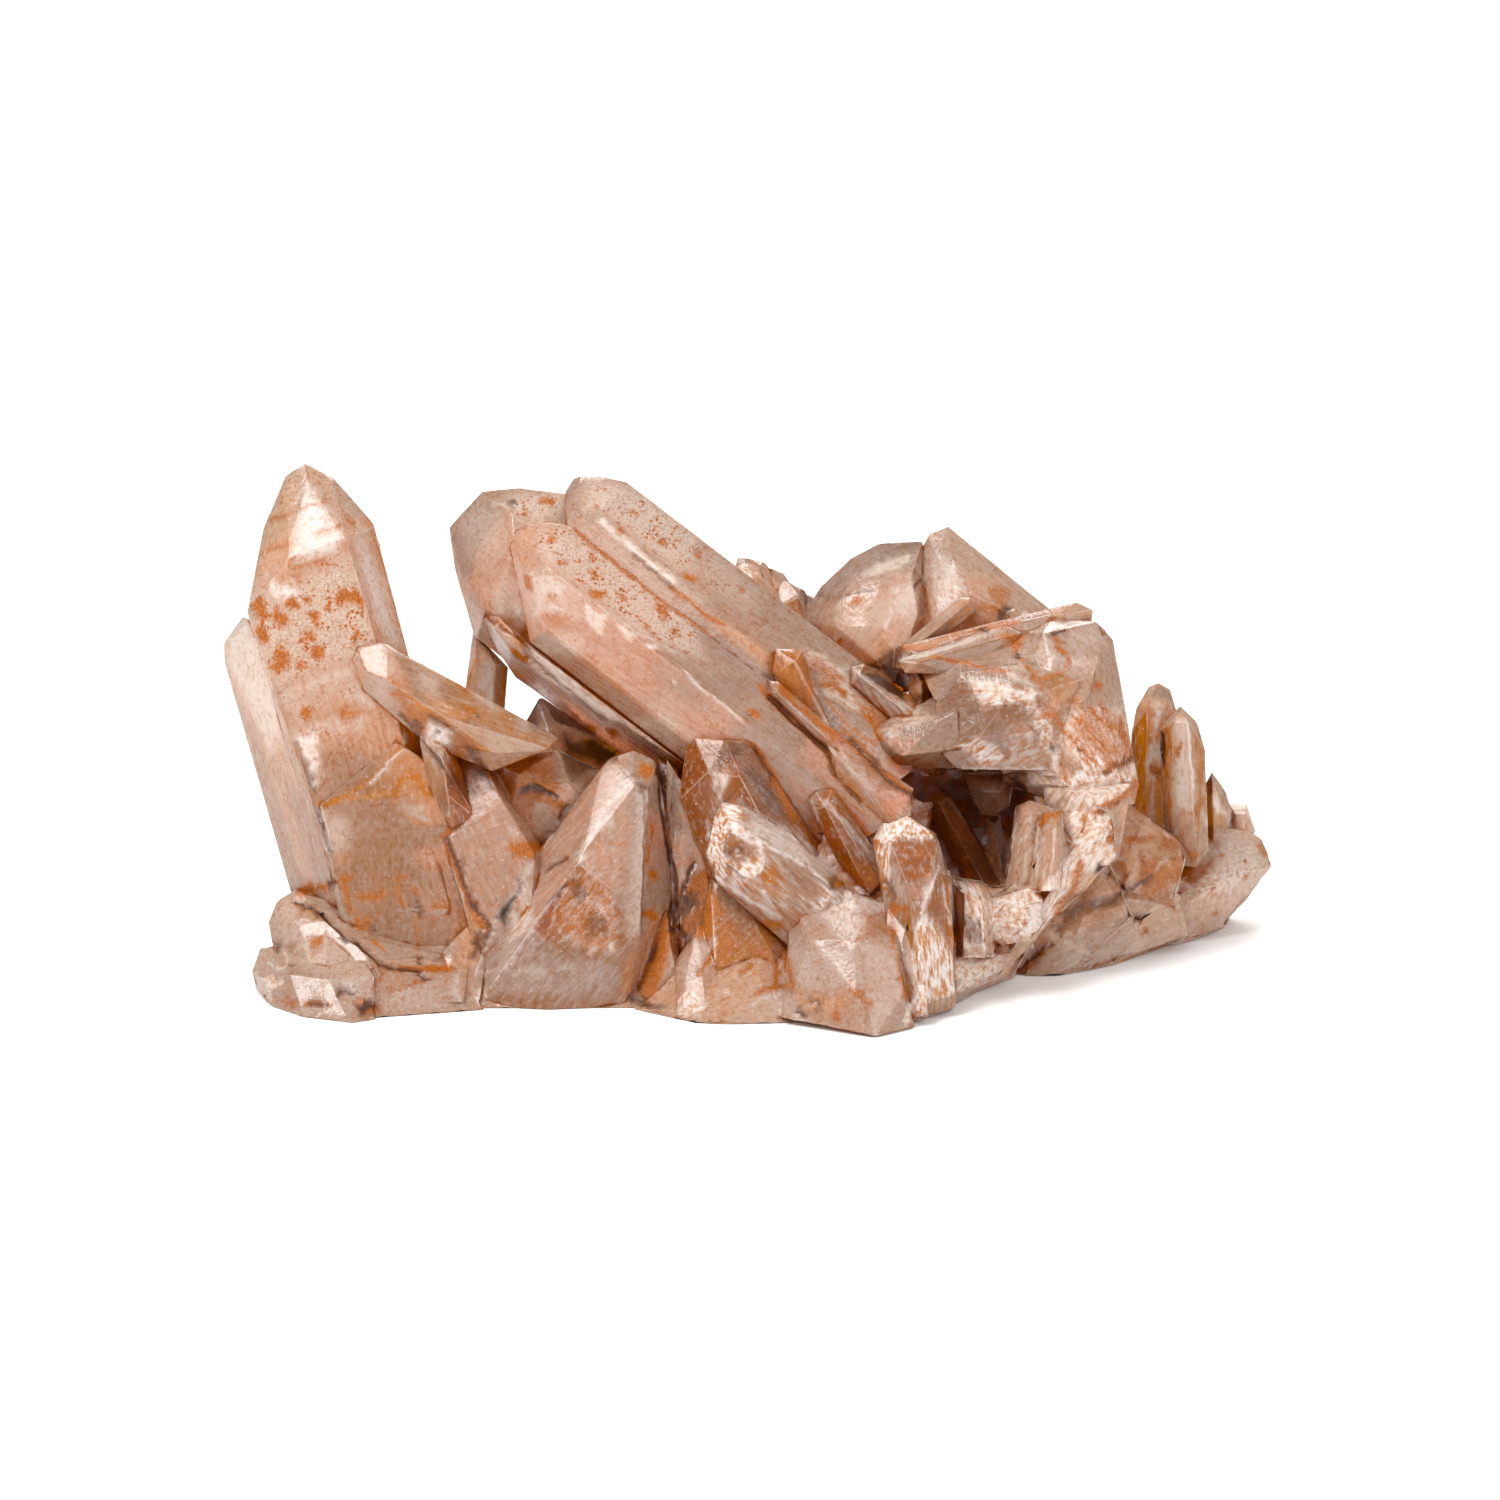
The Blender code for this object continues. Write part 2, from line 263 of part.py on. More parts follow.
        (-36.0, 11.0, 1.2), (-33.2, 13.6, 0.8), (-31.2, 11.4, 1.4), (-32.2, 4.0, 7.0), (-38.0, 3.6, 8.0),
        (-39.0, 7.4, 5.0), (-34.4, 8.6, 4.0)]),
    "left_toe": (3.0, [
        (-58.9, 10.4, 2.0), (-59.9, 7.5, 2.4), (-59.2, 5.3, 4.0), (-57.0, 3.4, 9.0), (-53.0, 2.1, 14.0),
        (-47.0, 1.5, 16.4), (-44.4, 1.8, 15.0), (-44.4, 7.0, 12.4), (-50.0, 6.4, 12.8), (-55.0, 8.0, 10.0),
        (-57.4, 6.4, 8.0), (-48.0, 12.0, 2.0)]),
    "left_sill": (6.0, [
        (-46.4, 1.6, 18.0), (-44.0, 7.6, 14.4), (-40.0, 7.4, 12.0), (-34.0, 8.0, 10.6), (-31.6, 3.0, 13.8),
        (-40.0, 2.6, 15.4), (-33.0, 12.0, 4.0), (-46.0, 12.0, 4.0)]),
    "front_sole": (6.0, [
        (-33.0, 2.9, 13.4), (-22.0, 3.2, 13.0), (-12.0, 3.1, 13.0), (-30.0, 9.0, 9.0), (-12.0, 9.0, 9.0)]),
    "front_lip": (-2.0, [
        (-13.8, 3.1, 5.6), (-7.5, 1.7, 10.8), (-4.0, 1.3, 12.4), (3.0, 1.6, 11.4), (7.0, 1.6, 11.0),
        (6.0, 9.0, 5.0), (-2.0, 8.4, 5.6), (-2.0, 14.0, 1.0), (4.6, 13.4, 1.0), (-10.0, 7.0, 4.0),
        (2.6, 6.0, 9.0)]),
    "under_left": (14.0, [
        (-44.0, 6.0, 12.0), (-20.0, 6.0, 15.0), (-20.0, 24.0, 5.0), (-44.0, 18.0, 5.0), (-30.0, 20.0, 9.0)]),
    "under_middle": (16.0, [
        (-24.0, 6.0, 15.0), (20.0, 6.0, 17.0), (22.0, 28.0, 7.0), (4.0, 30.0, 8.0), (-22.0, 28.0, 8.0),
        (-10.0, 16.0, 16.0), (10.0, 16.0, 16.0)]),
    "under_right": (20.0, [
        (16.0, 6.0, 14.0), (40.0, 9.0, 10.0), (46.0, 14.0, 9.0), (42.0, 24.0, 6.0), (18.0, 26.0, 8.0)]),
}

# Crystals grown straight from their measures: tip, foot, distance from the axis to each side, turn.
GROWN = {
    "druse_1": ((-1.6, 57.6, 27.0), (6.0, 46.0, 30.0), 2.4, 10),
    "druse_2": ((1.4, 56.4, 28.0), (8.0, 44.0, 31.0), 2.2, 35),
    "druse_3": ((4.0, 54.8, 27.0), (9.0, 42.0, 30.0), 2.0, 0),
    "druse_4": ((5.8, 53.4, 28.0), (11.0, 40.0, 30.0), 2.2, 20),
    "back_lean": ((-15.0, 44.0, 43.0), (-4.0, 18.0, 22.0), 6.4, 10),
    "back_stout": ((5.0, 48.0, 41.0), (8.0, 18.0, 24.0), 7.2, 25),
    "back_right": ((29.0, 48.0, 40.0), (18.0, 20.0, 24.0), 7.6, 40),
    "back_low": ((-30.0, 27.0, 37.0), (-20.0, 17.0, 20.0), 4.8, 5),
    "back_left": ((-52.0, 34.0, 25.0), (-38.0, 14.0, 16.0), 4.8, 15),
    "back_small_1": ((-7.0, 31.0, 47.0), (-2.0, 20.0, 30.0), 3.4, 25),
    "back_small_2": ((17.0, 36.0, 48.0), (12.0, 22.0, 30.0), 4.0, 0),
    "back_small_3": ((40.0, 36.0, 43.0), (30.0, 20.0, 28.0), 4.2, 35),
    "back_small_4": ((-42.0, 23.0, 33.0), (-32.0, 15.0, 20.0), 3.4, 30),
}

# Lumps that don't show from the front: middle, half sizes, number of flats, seed.
LUMPS = {
    "lump_left": ((-36.0, 15.0, 18.0), (17.0, 9.0, 16.0), 26, 1.0),
    "lump_middle": ((-8.0, 18.0, 26.0), (20.0, 11.0, 17.0), 30, 2.0),
    "lump_right": ((22.0, 20.0, 29.0), (22.0, 12.0, 15.0), 30, 3.0),
}


def inside_planes(planes, centre):
    """The closed mesh of the space behind every (point, normal) plane round centre."""
    mesh = bmesh.new()
    bmesh.ops.create_cube(mesh, size=BLOCK, matrix=Matrix.Translation(centre))
    for point, normal in planes:
        cut = bmesh.ops.bisect_plane(
            mesh,
            geom=mesh.verts[:] + mesh.edges[:] + mesh.faces[:],
            dist=1e-5,
            plane_co=point,
            plane_no=normal,
            clear_outer=True,
        )
        rim = [e for e in cut["geom_cut"] if isinstance(e, bmesh.types.BMEdge)]
        if rim:
            bmesh.ops.contextual_create(mesh, geom=rim)
    bmesh.ops.remove_doubles(mesh, verts=mesh.verts[:], dist=0.02)
    bmesh.ops.recalc_face_normals(mesh, faces=mesh.faces[:])
    return mesh


def face_groups(mesh):
    """The faces of a convex mesh, gathered where they turn less than SAME_FACE from the largest of them."""
    waiting = sorted(mesh.faces, key=lambda f: -f.calc_area())
    while waiting:
        first = waiting[0]
        group = [f for f in waiting if f.normal.angle(first.normal, 3.0) < math.radians(SAME_FACE)]
        waiting = [f for f in waiting if f not in group]
        yield group


def drawn_planes(w, corners):
    """The flat faces of a drawn crystal: the hull of its corners, with nearly level faces made one."""
    hull = bmesh.new()
    farther = (EYE + w) / EYE
    for u, v, d in corners:
        for side in (-d, d):
            hull.verts.new((u * farther, EYE_HEIGHT + (v - EYE_HEIGHT) * farther, w + side))
    made = bmesh.ops.convex_hull(hull, input=hull.verts[:])
    spare = [v for v in made["geom_interior"] if isinstance(v, bmesh.types.BMVert)]
    bmesh.ops.delete(hull, geom=spare, context="VERTS")
    bmesh.ops.recalc_face_normals(hull, faces=hull.faces[:])
    planes = []
    for group in face_groups(hull):
        area = sum(f.calc_area() for f in group)
        normal = sum((f.normal * f.calc_area() for f in group), Vector()).normalized()
        point = sum((f.calc_center_median() * f.calc_area() for f in group), Vector()) / area
        planes.append((point, normal))
    centre = sum((v.co for v in hull.verts), Vector()) / len(hull.verts)
    hull.free()
    return planes, centre


def grown_planes(tip, foot, side, turn):
    """The faces of a six-sided crystal: prism faces round its axis and sloping faces that close the tip."""
    tip, foot = Vector(tip), Vector(foot)
    axis = (tip - foot).normalized()
    front = Vector((0, 0, -1))
    front = (front - axis * front.dot(axis)).normalized()
    right = front.cross(axis)
    middle = (tip + foot) / 2
    planes = [(foot, -axis)]
    for k, step in enumerate(TIP_STEPS):
        turned = math.radians(turn + 60 * k)
        outward = front * math.cos(turned) + right * math.sin(turned)
        for slope, point in ((TAPER, middle + outward * side), (TIP_SLOPE, tip + axis * step * side / 5)):
            slope = math.radians(slope)
            planes.append((point, outward * math.cos(slope) + axis * math.sin(slope)))
    return planes, middle


def lump_planes(centre, radii, count, seed):
    """The faces of a lump of massive quartz: flats in even directions, at uneven distances."""
    golden = math.pi * (3 - math.sqrt(5))
    planes = []
    for k in range(count):
        height = 1 - 2 * (k + 0.5) / count
        ring = math.sqrt(1 - height * height)
        turned = golden * k + seed
        normal = Vector((ring * math.cos(turned), height, ring * math.sin(turned)))
        reach = math.sqrt(sum((n * r) ** 2 for n, r in zip(normal, radii)))
        uneven = 0.9 + 0.1 * math.sin(7.3 * k * seed)
        planes.append((Vector(centre) + normal * reach * uneven, normal))
    return planes, Vector(centre)


def pieces():
    """(name, planes, centre) of every crystal and lump, in the drawing."""
    for name, row in DRAWN.items():
        yield (name, *drawn_planes(*row))
    for name, row in GROWN.items():
        yield (name, *grown_planes(*row))
    for name, row in LUMPS.items():
        yield (name, *lump_planes(*row))


def to_world(mesh):
    """Turns a mesh from the drawing, in millimetres, to the standing cluster, in metres."""
    tilt = math.radians(DRAWING_TILT)
    for v in mesh.verts:
        x, up, away = v.co
        v.co = (
            (x - MIDDLE[0]) * MM,
            (up * math.sin(tilt) + away * math.cos(tilt) - MIDDLE[1]) * MM,
            (up * math.cos(tilt) - away * math.sin(tilt) + DRAWING_LIFT) * MM,
        )
    bmesh.ops.recalc_face_normals(mesh, faces=mesh.faces[:])


def mesh_object(name, mesh, collection):
    """An object that holds the mesh, which is freed."""
    data = bpy.data.meshes.new(name)
    mesh.to_mesh(data)
    mesh.free()
    made = bpy.data.objects.new(name, data)
    collection.objects.link(made)
    return made


def grown_together(helpers):
    """One mesh of all the crystals and lumps, without what lies below the floor."""
    rest = list(helpers.objects)
    body = rest[0]
    helpers.objects.unlink(body)
    bpy.context.scene.collection.objects.link(body)
    join = body.modifiers.new("Join crystals", "BOOLEAN")
    join.operation = "UNION"
    join.solver = "EXACT"
    join.operand_type = "COLLECTION"
    join.collection = helpers
    ground = bmesh.new()
    bmesh.ops.create_cube(ground, size=1.0, matrix=Matrix.Translation((0, 0, -0.5)))
    ground = mesh_object("ground", ground, bpy.context.scene.collection)
    flat = body.modifiers.new("Flat underside", "BOOLEAN")
    flat.operation = "DIFFERENCE"
    flat.solver = "EXACT"
    flat.object = ground
    bpy.context.view_layer.update()
    whole = bmesh.new()
    whole.from_object(body, bpy.context.evaluated_depsgraph_get())
    for helper in [body, ground] + rest[1:]:
        bpy.data.objects.remove(helper)
    return whole


def shells(mesh):
    """The separate closed surfaces of a mesh, as lists of faces."""
    left = set(mesh.faces)
    while left:
        shell, edge = [], [left.pop()]
        while edge:
            face = edge.pop()
            shell.append(face)
            for side in face.edges:
                for other in side.link_faces:
                    if other in left:
                        left.remove(other)
                        edge.append(other)
        yield shell


def tidy(mesh):
    """Fills the pockets that nothing reaches, and drops points and edges that make no corner."""
    bmesh.ops.remove_doubles(mesh, verts=mesh.verts[:], dist=WELD * MM)
    outside = max(shells(mesh), key=len)
    spare = [f for f in mesh.faces if f not in set(outside)]
    bmesh.ops.delete(mesh, geom=spare, context="FACES")
    bmesh.ops.dissolve_limit(
        mesh, angle_limit=math.radians(0.3), verts=mesh.verts[:], edges=mesh.edges[:]
    )
    bmesh.ops.triangulate(mesh, faces=mesh.faces[:])


def main():
    for old in list(bpy.data.objects):
        bpy.data.objects.remove(old)
    helpers = bpy.data.collections.new("crystals")
    bpy.context.scene.collection.children.link(helpers)
    for name, planes, centre in pieces():
        mesh = inside_planes(planes, centre)
        to_world(mesh)
        mesh_object(name, mesh, helpers)
    whole = grown_together(helpers)
    bpy.data.collections.remove(helpers)
    tidy(whole)
    cluster = mesh_object("quartz_cluster", whole, bpy.context.scene.collection)
    quartz = bpy.data.materials.new("quartz")
    quartz.use_nodes = True
    surface = quartz.node_tree.nodes["Principled BSDF"]
    surface.inputs["Base Color"].default_value = (0.72, 0.42, 0.28, 1.0)
    surface.inputs["Roughness"].default_value = 0.25
    surface.inputs["IOR"].default_value = 1.544
    cluster.data.materials.append(quartz)


if __name__ == "__main__":
    main()
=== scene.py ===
"""Dresses the quartz crystal cluster: its crystals grown into one fine mesh, with worn edges, broken faces,
growth lines and rust in the seams, and the pale floor, soft lights and camera round it.

Places in the tables are millimetres in a perspective drawing that looks down on the cluster by DRAWING_TILT
from EYE away: u runs to the right, v up the drawing and w away from the reader.
"""

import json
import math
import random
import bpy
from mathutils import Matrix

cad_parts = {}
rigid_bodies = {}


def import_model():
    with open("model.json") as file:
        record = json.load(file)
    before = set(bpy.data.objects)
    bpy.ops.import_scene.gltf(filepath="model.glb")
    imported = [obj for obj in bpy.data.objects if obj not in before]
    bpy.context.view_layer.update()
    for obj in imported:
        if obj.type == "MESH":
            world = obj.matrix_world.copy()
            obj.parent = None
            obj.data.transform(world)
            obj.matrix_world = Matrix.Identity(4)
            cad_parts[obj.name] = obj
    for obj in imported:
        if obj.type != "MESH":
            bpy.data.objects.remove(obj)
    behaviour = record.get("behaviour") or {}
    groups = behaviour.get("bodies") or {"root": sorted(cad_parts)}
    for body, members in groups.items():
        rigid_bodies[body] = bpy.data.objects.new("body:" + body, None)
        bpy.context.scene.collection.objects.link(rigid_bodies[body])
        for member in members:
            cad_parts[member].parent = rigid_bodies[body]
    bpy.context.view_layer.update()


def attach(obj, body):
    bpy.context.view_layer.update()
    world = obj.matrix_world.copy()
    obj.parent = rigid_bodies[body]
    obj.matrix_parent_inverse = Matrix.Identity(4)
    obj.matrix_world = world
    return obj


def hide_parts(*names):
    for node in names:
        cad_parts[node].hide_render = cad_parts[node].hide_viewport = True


bl_info = {
    "name": "Quartz Crystal Cluster",
    "version": (1, 0, 0),
    "blender": (4, 5, 0),
    "location": "View3D > Sidebar > Quartz",
    "description": "Builds a peach-pink quartz crystal cluster with its finishes, floor and lights",
    "category": "Add Mesh",
}

import bmesh
import bpy
import numpy as np
from mathutils import Matrix, Vector, noise
from mathutils.bvhtree import BVHTree
from mathutils.kdtree import KDTree

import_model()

MM = 0.001

# The drawing's view: degrees that it looks down, how far away its eye is and how high, how far the cluster is
# let down to stand on the floor, and the place that becomes the origin.
DRAWING_TILT = 14.0
EYE = 1200.0
EYE_HEIGHT = 34.0
DRAWING_LIFT = -4.84
MIDDLE = (0.5, 18.0)

# The crystals: how their tip faces and sides slope, how far each tip face is set back in fifths of the half
# width, the block that they are cut from, how near two points are one, and how little one face turns.
TIP_SLOPE = 38.2
TAPER = 1.2
TIP_STEPS = (0.0, 1.6, 0.3, 2.2, 0.0, 1.2)
BLOCK = 240.0
ONE_POINT = 0.02
WELD = 0.004
SAME_FACE = 9.0

# Wear: edges that bend less than BLUNT degrees stay, the others lose more or less, and some are chipped.
# CREST is the cosine under which a strip counts as worn, SEAM_BEND how many degrees a seam is hollow, and
# SHARP how many the shading may bend.
BLUNT = 15.0
UNEVEN_WEAR = (0.6, 1.5)
CHIPPED = 0.12
CHIP = 2.5
CREST = 0.99
SEAM_BEND = 12.0
SHARP = 24.0

# What the drawing's eye sees: how edge-on a face may be, and how many metres off the surface a line of sight
# starts.
EDGE_ON = -0.02
CLEAR_OF_FACE = 6e-4

# The mesh: rounds of splitting, its shortest edges and the depth of dark cracks in millimetres, and in metres
# how high a point on the floor may be and how far a hollow's walls are looked for.
SPLITS = 9
FINEST = 0.54
CRACK_DEPTH = 0.22
ON_FLOOR = 2e-5
HOLLOW = 0.014

# The camera's sensor and the width it sees at the cluster, in millimetres, and each light's name, place, size
# and power.
SENSOR = 36.0
SEEN_WIDTH = 180.0
LIGHTS = (
    ("key", (-0.45, -0.35, 0.75), 0.5, 9.0),
    ("fill", (0.6, -0.6, 0.45), 0.6, 4.0),
    ("back", (0.1, 0.6, 0.6), 0.5, 5.0),
)

# Crystals and lumps that show. Each is the solid round its corners (u, v, d), at depth w: a corner lies
# d in front of that depth and again d behind it.
DRAWN = {
    # Tall flat crystal at the left, with its left flank, a growth ledge and what leans on it
    "left_tower": (6, [
        (-53.3, 68.4, 1), (-55.7, 66.9, 0.8), (-58.4, 60.5, 1), (-60.2, 50.5, 3.2), (-57.2, 42, 7),
        (-47.7, 14.5, 7), (-43, 8.2, 5), (-50, 12, 1.5), (-52.9, 66.2, 2.6), (-55.3, 57.2, 6.6),
        (-48.4, 59.4, 6.8), (-44.5, 47, 7), (-36, 14.5, 7), (-50, 66.7, 1), (-46.2, 62.4, 1),
        (-40.6, 46, 2), (-33.3, 15, 2), (-35, 8, 3)]),
    "left_tower_flank": (8, [
        (-60.9, 50, 1), (-63.1, 46.8, 1.5), (-63, 44.8, 1.6), (-59.9, 33.5, 2), (-55, 17, 2),
        (-57.4, 42.5, 8), (-59.8, 49.6, 5), (-54.6, 35.5, 8.2), (-48.3, 15, 8.2), (-45, 12, 2)]),
    "left_tower_ledge": (6, [
        (-42.2, 35, 7.25), (-46, 30.6, 7.25), (-51.4, 27.4, 7.2), (-48.4, 14.7, 7.3), (-48.6, 11.6, 6.6),
        (-44.4, 8.4, 6.6), (-39.6, 7.4, 6.8), (-33.6, 9.6, 6.6), (-31.6, 12.8, 6.4), (-36.2, 23.6, 7.2),
        (-36.2, 30.2, 7), (-39, 33, 7.2)]),
    "left_prop": (-1, [
        (-47.7, 44.9, 0.3), (-47, 46.3, 0.5), (-44.3, 47, 0.8), (-46.3, 41.2, 0.8), (-46.2, 43.8, 2),
        (-43, 42.2, 3.4), (-42, 38.6, 1.5), (-36, 37.6, 3.8), (-30.6, 33.6, 3.8), (-34.5, 41.5, 1.5),
        (-22.8, 35.4, 1.5), (-39.2, 35, 1.5), (-31, 31.4, 1.5), (-24.4, 34, 2.6)]),
    "left_glint": (0, [
        (-38.9, 38.2, 1), (-36, 36.6, 1), (-39.7, 35.5, 3), (-36.8, 33, 4.2), (-36.2, 28.6, 3.6),
        (-33, 26, 1), (-38.4, 29, 1), (-35.8, 24.6, 1.8)]),
    "red_wedge": (3, [
        (-35.5, 36.6, 0.8), (-33, 35.3, 1), (-37, 28.5, 2.4), (-36.6, 23, 4), (-33.4, 15, 5.4),
        (-32, 7, 5.4), (-30, 28.6, 4.8), (-25.8, 21.8, 5.8), (-26, 12, 7.2), (-24.4, 21.6, 2),
        (-23, 6, 3)]),
    "red_wedge_twin": (7, [
        (-32.9, 36.7, 1), (-30.3, 32.8, 1), (-24.5, 23.5, 1), (-31.5, 33, 3), (-28, 25, 5),
        (-24, 13, 5), (-34, 30, 1), (-31, 10, 2), (-20, 14, 2)]),
    "left_shelf": (9, [
        (-31.5, 33, 7.4), (-23, 34.2, 6.6), (-19.4, 31.4, 6), (-16, 31, 3), (-14, 22, 5),
        (-30, 20, 6), (-33, 28, 5), (-24, 29.5, 9), (-27.6, 31.2, 9.2), (-21.4, 30, 8.4)]),
    "front_pyramid": (1, [
        (-14, 34, 0.5), (-17, 32.9, 0.8), (-11, 32.6, 0.8), (-22.5, 25.4, 1), (-27.2, 19.6, 1),
        (-30.4, 13.5, 1.5), (-33.2, 6.5, 4.6), (-32.6, 2.7, 7.4), (-17, 27.3, 4), (-20.5, 21, 6.4),
        (-13.7, 29.8, 3.6), (-15, 10, 9), (-13.2, 12, 9), (-12.2, 29.4, 3.4), (-10.1, 26.5, 1.2),
        (-8.7, 17.5, 1.5), (-9.4, 14.5, 3), (-14.8, 3.6, 7.5), (-25, 2.6, 8.5)]),
    "front_sliver": (4, [
        (-10.8, 33, 1), (-8.6, 31.8, 1), (-7.8, 24, 3), (-4.9, 19.5, 3), (-4, 8, 5),
        (-12, 8, 6), (-11.4, 26, 2.6), (-9, 20, 5)]),
    "front_splinter": (-3, [
        (-10, 14.6, 1), (-12.6, 10, 1.5), (-15, 4.6, 1.5), (-14, 3.2, 2), (-9.6, 12, 3),
        (-11.5, 3, 4.5), (-8.6, 11, 1), (-8, 3, 3)]),
    "front_gusset": (2, [
        (-10, 33, 0.8), (-8, 30, 1.6), (-6.6, 24, 2.6), (-4.4, 18, 3.4), (-3, 11, 4.6),
        (-8, 8, 5.4), (-10.6, 14, 3.2), (-9.4, 24, 2.2)]),
    "front_step": (-3, [
        (-4.8, 18.6, 1), (-1, 16.2, 2), (4.4, 11.8, 2), (4.6, 6, 6), (-4, 6, 6),
        (-5.8, 12, 2.4), (-0.6, 10.4, 3.8), (3, 9, 4.6)]),
    "front_chip": (-4, [
        (-6.3, 13.4, 1), (-3.8, 11.4, 1), (-8.9, 8.8, 1.5), (-6.5, 6.7, 5), (-10.5, 2, 3),
        (-5, 1.2, 9), (-1.5, 9, 1.5), (-1.5, 1.6, 8), (-9, 1.4, 8)]),
    # Big parallel crystals in the middle
    "middle_back": (15, [
        (-36.1, 60.5, 1), (-35, 62, 1.2), (-32, 65, 1.6), (-27.5, 65.4, 3), (-22, 64.7, 4.5),
        (18.3, 31.5, 4.5), (-35.6, 57, 2), (-34.8, 53.2, 3), (-32.9, 47.6, 4), (8, 14.6, 4),
        (-28.5, 62.5, 6), (-28, 57.5, 9), (15.5, 24, 9), (-29.2, 54.5, 9), (-31.6, 50.2, 7.4),
        (12, 16.4, 7.4)]),
    "middle_top": (14, [
        (-22.2, 64.9, 2), (-21.2, 66.5, 2), (-20.4, 66.8, 2.5), (-18, 66.8, 3), (-15, 66.2, 3.4),
        (-13.9, 65.5, 3.6), (20, 39.3, 3.6), (-18.3, 62.1, 7.8), (20, 32.5, 7.8), (-19.8, 61.6, 8.6),
        (19, 31.3, 8.6), (-21.8, 60.6, 9.4), (17, 29.8, 9.4), (-21.5, 57, 2), (15, 28, 2)]),
    "middle_front": (6, [
        (-28.7, 58.5, 1.6), (-28, 60.3, 1.6), (-25.5, 61.3, 2), (-22, 61, 3), (20, 28.2, 3.2),
        (-28.5, 57, 1.6), (-27.4, 52.5, 2), (-26.3, 46.8, 3), (9, 19.6, 3.2), (-26.7, 55.3, 5),
        (-23.8, 55.5, 7.4), (16, 24.8, 7.6), (-25.4, 50, 5.6), (-24.6, 48.4, 5.8), (10.5, 21.2, 6.4)]),
    "middle_under": (12, [
        (-32.4, 50.3, 2), (-31, 47, 2), (-29, 44, 2.4), (-16, 33.4, 3), (-4, 26, 3),
        (-30.6, 48.6, 6.8), (-28.4, 45.6, 8), (-27, 46.6, 9.3), (-12, 34.9, 9.3), (-30, 50, 6.4),
        (-21, 42.4, 9.4), (-6, 31, 9.3)]),
    "middle_splinter": (3, [
        (2.2, 42.4, 0.8), (3.4, 42.2, 1.2), (2, 40.6, 1), (19.5, 28.4, 1.6), (17, 24.5, 1.6),
        (3.2, 41, 2.6), (17, 28, 3.6)]),
    "middle_plate": (2, [
        (9, 35.4, 1), (11.6, 34.9, 1), (19.6, 29.4, 2), (9.2, 32, 1.2), (15, 24, 2),
        (10, 33.6, 2.6), (14.6, 29, 3.4), (19, 22, 3), (10.6, 30, 2.8)]),
    "middle_side": (9, [
        (12.2, 44, 1), (13.6, 44.4, 1.2), (12, 42, 1.2), (23, 38, 1.6), (22, 33, 1.8),
        (13.2, 42.8, 3.2), (22, 36, 4.2)]),
    "orange_facet": (5, [
        (3, 46.2, 1), (6.4, 46.2, 1), (7.4, 42, 1.4), (5, 39, 2), (2.6, 43, 1.6),
        (5.4, 44.6, 2.8), (10, 36, 3)]),
    "back_upright": (20, [
        (-34.5, 41, 1), (-33, 48.1, 1), (-31.5, 46.6, 1), (-29, 43.9, 1), (-30.2, 28, 1.2),
        (-35.6, 28, 1.2), (-32.9, 45.2, 2.6), (-30.5, 44.4, 2.6), (-31.6, 28, 2.8), (-34, 28, 2.8)]),
    "back_smoky": (22, [
        (-25.2, 40.4, 1), (-20.5, 37.6, 1.2), (-27.4, 36.6, 1), (-29.5, 30, 1.2), (-16, 28, 2),
        (-15.4, 34.2, 1.6), (-24.4, 36.4, 3.4), (-22, 28, 5), (-27, 28, 3.6)]),
    # Front group under the big crystals
    "red_flat_top": (1, [
        (-8.4, 28.8, 1.5), (-7.7, 34.4, 1.5), (-6.6, 35.4, 2.6), (-3, 35.3, 3.6), (0.1, 34.9, 2.4),
        (5.8, 26.3, 2), (12, 17, 2), (-7.7, 26, 2), (-4.6, 18, 3), (-4.9, 31.4, 5.4),
        (-1, 30.6, 6), (6, 17, 6.6), (0, 16, 6.6)]),
    "broken_tip": (-6, [
        (-3.4, 28, 1), (-0.9, 27.4, 1.2), (5, 24.1, 1.4), (10.4, 19, 1.6), (15, 13, 1.4),
        (-4.5, 26, 1), (-5.5, 21.5, 1.2), (-4.2, 18, 1.2), (0, 15, 1.4), (5, 10, 1.4),
        (-2.4, 25.6, 3), (2, 22.3, 5.4), (10, 16.8, 5.6), (-3.2, 20.6, 3.6), (1, 17.3, 5),
        (7, 12.5, 5.2)]),
    "pale_block": (-6, [
        (5.2, 16.4, 2), (8.5, 17.1, 2), (12, 17.4, 2), (17.2, 15.4, 2), (12, 15, 6.4),
        (7, 11.5, 9), (12.5, 11.2, 11), (17.6, 11, 9.6), (18.6, 5, 11), (15, 0, 14),
        (8, 1.2, 11), (4, 9, 4), (3.6, 2, 8), (19.6, 1, 10), (12.5, 5.4, 12.6)]),
    "standing_stub": (-9, [
        (15.5, 25, 1), (14.5, 23.3, 1), (19, 26.4, 1.6), (22.5, 24.1, 1.2), (24, 19.5, 1.2),
        (24.8, 11, 2), (24.6, 3, 1.5), (16.8, 15, 2), (17.4, 10, 2), (18.4, 1, 4),
        (17, 22.4, 3.6), (22.2, 20.2, 3.8), (20.6, 15, 5.2), (19, 17, 5.2), (20.4, 5, 6),
        (22.4, 2.4, 3)]),
    "stub_bed": (-7, [
        (16.4, 16.4, 4), (19, 17.4, 4.6), (20.6, 10, 7), (21.2, 2.2, 8), (17, 1.8, 8),
        (16, 8, 7.8), (18.2, 9, 7.9)]),
    "front_rod": (-1, [
        (6.9, 28, 0.7), (7.9, 29, 1.1), (9.9, 29.4, 0.9), (17, 19.2, 1.2), (7.3, 26.8, 1.1),
        (12.5, 16.5, 1.4), (9, 27.2, 2.8), (15.6, 18, 3), (10.4, 26.4, 2.8), (14.4, 16.6, 3)]),
    "rod_bed": (2, [
